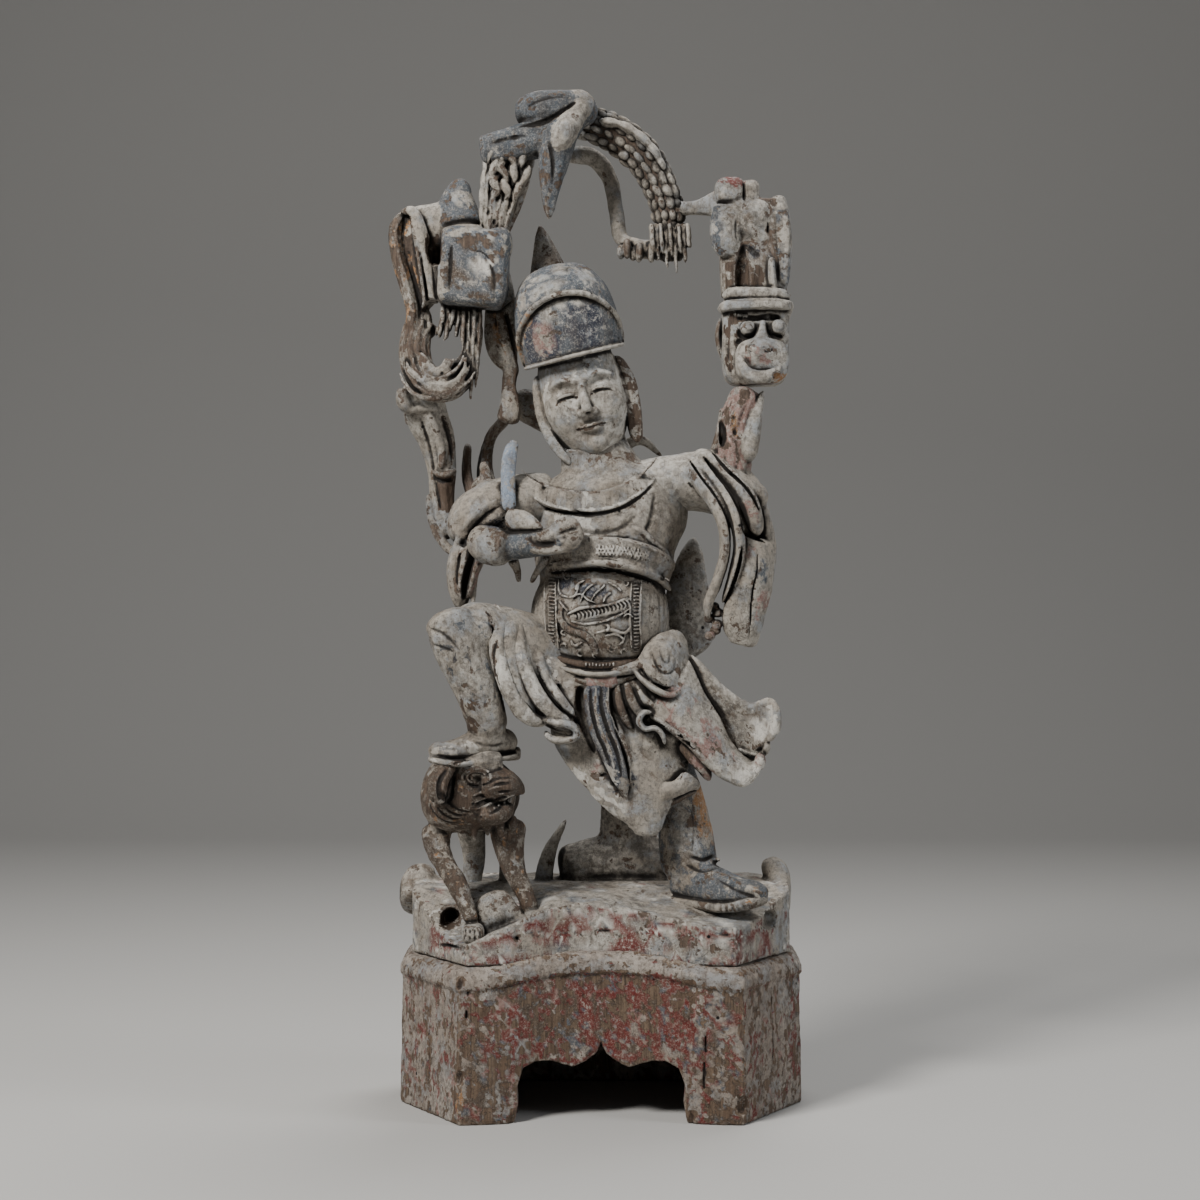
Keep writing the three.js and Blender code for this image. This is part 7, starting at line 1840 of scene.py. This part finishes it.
    # A brownish film multiplied over closed-in hollows and patches: partly grime, partly painted shade in
    # recesses.
    film = node(tree, RANGE,
                (node(tree, MATH, (hollow, 0.5, patches), operation="MULTIPLY_ADD"), 0.52, 0.74, 0, 0.5),
                **SMOOTH)
    colour = node(tree, MIX, {0: film, 6: colour, 7: tint["film"]},
                  2, data_type="RGBA", blend_type="MULTIPLY")
    specks = node(tree, RANGE, (fine, 0.6, 0.68, 0, 0.6), **SMOOTH)
    # Near-black settled in closed-in hollows, partly dirt and partly painted shade; the same dark tint marks
    # fine specks and cracks.
    settled_dirt_and_shade = node(tree, MATH, (chips, 0.7, node(tree, MATH, (hollow, 0.35), operation="SUBTRACT")),
                   operation="MULTIPLY_ADD")
    dirt = node(tree, RANGE, (settled_dirt_and_shade, 0.24, 0.72, 0, 0.95), **SMOOTH)
    # Painted shade: inward-curving creases and grooves darkened toward near-black.
    crease_shade = node(tree, RANGE, (bulge, -0.02, -0.24, 0, 0.92), **SMOOTH)
    for amount in (specks, dirt, crease_shade):
        colour = node(tree, MIX, {0: amount, 6: colour, 7: tint["dirt"]}, 2, **COLOUR)
    # Ridges lightened in patches: partly gesso rubbed by wear, partly painted highlight on the raised edges.
    rubbed = node(tree, MATH, (node(tree, RANGE, (bulge, 0.06, 0.36, 0, 0.7), **SMOOTH),
                               node(tree, RANGE, (chips, 0.4, 0.6, 0, 1), **SMOOTH)), operation="MULTIPLY")
    colour = node(tree, MIX, {0: rubbed, 6: colour, 7: tint["rubbed"]}, 2, **COLOUR)

    distance, chosen = (node(tree, CELLS, {"Vector": where, "Scale": 1000 / 13}, label)
                        for label in ("Distance", "Color"))
    chosen = node(tree, RANGE, (node(tree, "ShaderNodeSeparateColor", (chosen,)), 0.6, 0.61, 0, 1))
    holes = node(tree, MATH, (node(tree, RANGE, (distance, 0.07, 0.045, 0, 1)), chosen), operation="MULTIPLY")
    web = node(tree, CELLS, {"Vector": where, "Scale": 1000 / 2.8}, "Distance", feature="DISTANCE_TO_EDGE")
    opened = node(tree, RANGE, (chips, 0.45, 0.6, 0, 0.4), **SMOOTH)
    crack = node(tree, MATH, (node(tree, RANGE, (web, 0.05, 0.01, 0, 1)), opened), operation="MULTIPLY")
    for amount, other in ((holes, "hole"), (crack, "dirt")):
        colour = node(tree, MIX, {0: amount, 6: colour, 7: tint[other]}, 2, **COLOUR)
    tree.links.new(colour, shader.inputs["Base Color"])

    smoothness = node(tree, RANGE, (gesso_left, 0, 1, 0.54, 0.7))
    tree.links.new(node(tree, MATH, (fine, 0.3, smoothness), operation="MULTIPLY_ADD"),
                   shader.inputs["Roughness"])
    shader.inputs["Specular IOR Level"].default_value = 0.36
    height = 0.0
    for pattern, share in ((grain, 0.5), (chips, 1.0), (gesso_left, 0.55), (fine, 0.4), (paint_left, 0.12),
                           (holes, -2.2), (crack, -0.9)):
        height = node(tree, MATH, (pattern, share, height), operation="MULTIPLY_ADD")
    bump = node(tree, "ShaderNodeBump", {"Strength": 0.8, "Distance": 0.0007, "Height": height})
    tree.links.new(bump, shader.inputs["Normal"])
    return material


def linear(code):
    """A colour code as linear red, green and blue."""
    parts = [int(code[i:i + 2], 16) / 255 for i in (1, 3, 5)]
    return tuple(c / 12.92 if c <= 0.04045 else ((c + 0.055) / 1.055) ** 2.4 for c in parts)


def tints(**codes):
    """Colour codes by name, each as a shader's colour."""
    return {name: linear(code) + (1,) for name, code in codes.items()}


COORDINATES = "ShaderNodeTexCoord"
MAPPING = "ShaderNodeMapping"
ATTRIBUTE = "ShaderNodeAttribute"
NOISE = "ShaderNodeTexNoise"
CELLS = "ShaderNodeTexVoronoi"
MATH = "ShaderNodeMath"
RANGE = "ShaderNodeMapRange"
MIX = "ShaderNodeMix"
COLOUR = {"data_type": "RGBA"}
SMOOTH = {"interpolation_type": "SMOOTHSTEP"}

# Dry old gesso over a brown wood: chalky and warm grey, rubbed away and lightened by painted highlight on
# edges, with brown dirt and painted shade in recesses.
figure_wood = aged_wood("aged_gesso_over_carved_wood", tints(
        wood_dark="#241b15", wood_pale="#7a6858", wood_warm="#4e3f34", gesso="#b4afa5", gesso_warm="#9b9285",
        gesso_cool="#8b9196", gesso_dull="#817b72", stain="#675e55", film="#8d8072", dirt="#17120e",
        rubbed="#d8d4cb", hole="#0d0806"), (1, 1, 0.07), 11, 0.42, 0.41, 0.3)
# Thin dark red paint over gesso on a coarser board: worn in upright streaks, and ochre where hands wore the
# corners.
plinth_wood = aged_wood("worn_red_paint_over_board", tints(
        wood_dark="#2c211a", wood_pale="#84705c", wood_warm="#5f4a3a", gesso="#a39b91", gesso_warm="#8f8377",
        gesso_cool="#868889", gesso_dull="#766d64", stain="#62544a", film="#98887a", dirt="#1c1410",
        rubbed="#bfb4a6", hole="#0d0806"), (1, 1, 0.05), 6, 0.3, 0.43, 0.33)


def lock_tree():
    """Lays carved locks end to end along guide lines: a tree with the sizes of the locks as named inputs."""
    tree = bpy.data.node_groups.new("locks_along_guides", "GeometryNodeTree")
    tree.interface.new_socket("Guides", in_out="INPUT", socket_type="NodeSocketGeometry")
    for label, kind in (("Spacing", "NodeSocketFloat"), ("Lock size", "NodeSocketVector"),
                        ("Seed", "NodeSocketInt"), ("Material", "NodeSocketMaterial")):
        tree.interface.new_socket(label, in_out="INPUT", socket_type=kind)
    tree.interface.new_socket("Locks", in_out="OUTPUT", socket_type="NodeSocketGeometry")
    given = tree.nodes.new("NodeGroupInput").outputs
    lines = node(tree, "GeometryNodeMeshToCurve", {"Mesh": given["Guides"]})
    even = node(tree, "GeometryNodeResampleCurve", {"Curve": lines, "Length": given["Spacing"]},
                mode="LENGTH")
    lock = node(tree, "GeometryNodeMeshUVSphere", {"Segments": 8, "Rings": 6, "Radius": 1.0})
    way = node(tree, "GeometryNodeInputTangent")
    along = node(tree, "FunctionNodeAlignRotationToVector", {"Vector": way}, axis="Z")
    outward = node(tree, "GeometryNodeInputNamedAttribute", {"Name": "outward"}, data_type="FLOAT_VECTOR")
    facing = node(tree, "FunctionNodeAlignRotationToVector", {"Rotation": along, "Vector": outward},
                  axis="X", pivot_axis="Z")
    tilt = node(tree, "FunctionNodeRandomValue",
                {0: (-0.25, -0.32, -0.3), 1: (0.25, 0.14, 0.3), "Seed": given["Seed"]},
                data_type="FLOAT_VECTOR")
    turned_lock = node(tree, "FunctionNodeRotateRotation", {"Rotation": facing, "Rotate By": tilt},
                       rotation_space="LOCAL")
    vary = node(tree, "FunctionNodeRandomValue",
                {0: (0.75, 0.75, 0.8), 1: (1.25, 1.2, 1.3), "Seed": given["Seed"]}, data_type="FLOAT_VECTOR")
    size = node(tree, "ShaderNodeVectorMath", {0: vary, 1: given["Lock size"]}, operation="MULTIPLY")
    placed = node(tree, "GeometryNodeInstanceOnPoints",
                  {"Points": even, "Instance": lock, "Rotation": turned_lock, "Scale": size})
    real = node(tree, "GeometryNodeRealizeInstances", {"Geometry": placed})
    smooth = node(tree, "GeometryNodeSetShadeSmooth", {"Geometry": real})
    coated = node(tree, "GeometryNodeSetMaterial", {"Geometry": smooth, "Material": given["Material"]})
    node(tree, "NodeGroupOutput", {"Locks": coated})
    return tree


def lay_locks(name, guides, outwards, spacing, size, seed, wood, paints):
    """Locks along guide lines on a carving, made into one piece whose roots are darkened by dirt and painted
    shade where they sink into the carving.
    """
    mesh = bpy.data.meshes.new(name + "_guides")
    points = np.concatenate(guides)
    starts = np.cumsum([0] + [len(line) for line in guides])
    edges = [(k, k + 1) for a, b in zip(starts, starts[1:]) for k in range(a, b - 1)]
    mesh.from_pydata(points * METRES, edges, [])
    mesh.attributes.new("outward", "FLOAT_VECTOR", "POINT").data.foreach_set(
            "vector", np.concatenate(outwards).astype(np.float32).ravel())
    holder = bpy.data.objects.new(name + "_guides", mesh)
    bpy.context.scene.collection.objects.link(holder)
    tree = lock_tree()
    modifier = holder.modifiers.new("locks", "NODES")
    modifier.node_group = tree
    wanted = {"Spacing": spacing * METRES, "Lock size": [s * METRES for s in size],
              "Seed": seed, "Material": figure_wood}
    for socket in tree.interface.items_tree:
        if socket.in_out == "INPUT" and socket.name in wanted:
            modifier[socket.identifier] = wanted[socket.name]
    depsgraph = bpy.context.evaluated_depsgraph_get()
    made = bpy.data.meshes.new_from_object(holder.evaluated_get(depsgraph))
    bpy.data.objects.remove(holder)
    places = np.empty(len(made.vertices) * 3, np.float32)
    made.vertices.foreach_get("co", places)
    places = places.reshape(-1, 3).astype(float) / METRES
    corners = np.empty(len(made.loops), np.int32)
    made.loops.foreach_get("vertex_index", corners)
    sizes = np.empty(len(made.polygons), np.int32)
    made.polygons.foreach_get("loop_total", sizes)
    begins = np.cumsum(sizes) - sizes
    faces = [corners[begins[sizes == count][:, None] + np.arange(count)].astype(np.int64) for count in (3, 4)]
    bpy.data.meshes.remove(made)
    depth = sample(wood.field, places / wood.cell - wood.low)
    # Points sunk in the carving count as closed in, so the roots darken as painted shade and dirt; points
    # standing out count as ridges, lightened as wear and painted highlight.
    hollow = np.clip(0.75 - depth / 3.0, 0, 1)
    bulge = np.clip((depth - 1.5) / 6, -0.1, 0.3)
    coat = np.where(noise(places, 6.5, 21) < 0.42, paints[1], paints[0])
    return make_piece(name, places, faces, coat, hollow, bulge, figure_wood, "figure")


def arch_guides(rows=6):
    """Lines along the arch's front and rim, one for each row of locks, and the way out of the wood at
    each place.
    """
    place = np.linspace(0.02, 0.97, 60)
    middle = spline(ARCH_MIDDLE, place)
    tangent = unit(spline(ARCH_MIDDLE, place + 0.01) - spline(ARCH_MIDDLE, place - 0.01))
    across = unit(np.cross(FRONT, tangent))
    wide = profile([7.0, 7.4, 7.4, 7.0, 6.2, 4.2], place)[:, None]
    deep = profile([4.6, 5, 5.4, 5.4, 5, 4], place)[:, None]
    guides, outwards = [], []
    for row in range(rows):
        turn = math.pi * (0.02 + 0.96 * row / (rows - 1))
        out = unit(across * math.cos(turn) * deep + FRONT * math.sin(turn) * wide)
        shift = 1 + row % 2
        rim = middle + across * math.cos(turn) * wide * 0.96 + FRONT * math.sin(turn) * deep * 0.9
        guides.append(rim[shift:])
        outwards.append(out[shift:])
    return guides, outwards


def area_light(name, place, target, width, height, power, colour):
    """A soft light that faces a place."""
    light = bpy.data.lights.new(name, "AREA")
    light.shape = "RECTANGLE"
    light.size, light.size_y = width, height
    light.energy, light.color = power, colour
    holder = bpy.data.objects.new(name, light)
    way = np.array(target) - np.array(place)
    holder.location = place
    holder.rotation_euler = mathutils.Vector(way).to_track_quat("-Z", "Y").to_euler()
    bpy.context.scene.collection.objects.link(holder)


def make_stage():
    """A plain pale floor that curves up into its backdrop, soft studio light, and a level camera."""
    bend = [(-3.0, 0.0), (1.2, 0.0)] + [(1.2 + 0.8 * math.sin(a), 0.8 - 0.8 * math.cos(a))
                                        for a in np.linspace(0.1, 1.57, 15)] + [(2.0, 4.0)]
    points = [(x, y, z) for y, z in bend for x in (-5, 5)]
    floor_mesh = bpy.data.meshes.new("floor")
    floor_mesh.from_pydata(points, [],
                           [(2 * i, 2 * i + 1, 2 * i + 3, 2 * i + 2) for i in range(len(bend) - 1)])
    floor_mesh.polygons.foreach_set("use_smooth", [True] * len(floor_mesh.polygons))
    floor = bpy.data.objects.new("floor", floor_mesh)
    # Pale matt paper: an even, dull grey that takes soft shadows.
    paper = bpy.data.materials.new("pale_matt_paper")
    paper.use_nodes = True
    shader = paper.node_tree.nodes["Principled BSDF"]
    shader.inputs["Base Color"].default_value = linear("#b4b2ae") + (1,)
    shader.inputs["Roughness"].default_value = 0.9
    floor_mesh.materials.append(paper)
    bpy.context.scene.collection.objects.link(floor)
    world = bpy.data.worlds.new("studio")
    world.use_nodes = True
    world.node_tree.nodes["Background"].inputs["Color"].default_value = linear("#b9bcc2") + (1,)
    world.node_tree.nodes["Background"].inputs["Strength"].default_value = 0.17
    bpy.context.scene.world = world
    area_light("key", (-0.6, -0.75, 1.0), (0, 0, 0.26), 0.3, 0.3, 21, (1.0, 0.985, 0.965))
    area_light("side", (0.95, -0.35, 0.55), (0, 0, 0.25), 0.3, 0.6, 4, (0.93, 0.96, 1.0))
    area_light("top", (0.15, 0.3, 1.1), (0, 0, 0.3), 0.4, 0.4, 6, (1, 1, 1))
    lens = bpy.data.cameras.new("camera")
    camera = bpy.data.objects.new("camera", lens)
    photo_width, distance, level, px_to_mm = 1200, 1100, 225, 0.45
    lens.lens = lens.sensor_width * distance / (photo_width * px_to_mm)
    camera.location = ((CENTRING_X - px_to_mm) * METRES, -distance * METRES, level * METRES)
    camera.rotation_euler = (math.pi / 2, 0, 0)
    bpy.context.scene.collection.objects.link(camera)
    bpy.context.scene.camera = camera


HEAD_PLACE = (-7.2, -6, 315.4)
HEAD_TURN = (6, -14, 0)

arch = carve_arch()
guides, outwards = arch_guides()
lay_locks("arch_locks", guides, outwards, 5.4, (1.7, 2.0, 3.3), 7, arch, (GESSO, GREY))
arch.finish("arch", figure_wood)
carve_crest().finish("crest", figure_wood)
carve_mane().finish("mane", figure_wood)
carve_raised_beast().finish("raised_beast", figure_wood)
carve_raised_arm().finish("raised_arm", figure_wood)
carve_left_beast().finish("left_beast", figure_wood)
carve_pole().finish("pole", figure_wood)
carve_bent_arm().finish("bent_arm", figure_wood)
carve_head().finish("head", figure_wood, turn=HEAD_TURN, move=HEAD_PLACE)
carve_hat_tail().finish("hat_tail", figure_wood)
carve_torso().finish("torso", figure_wood)
carve_belly().finish("belly", figure_wood)
carve_skirt().finish("skirt", figure_wood)
carve_raised_leg().finish("raised_leg", figure_wood)
carve_standing_leg().finish("standing_leg", figure_wood)
carve_beast().finish("beast", figure_wood)
carve_ground().finish("ground", figure_wood, thin=0.02)
carve_plinth().finish("plinth_wood", plinth_wood, node="plinth", thin=0.005)
make_stage()
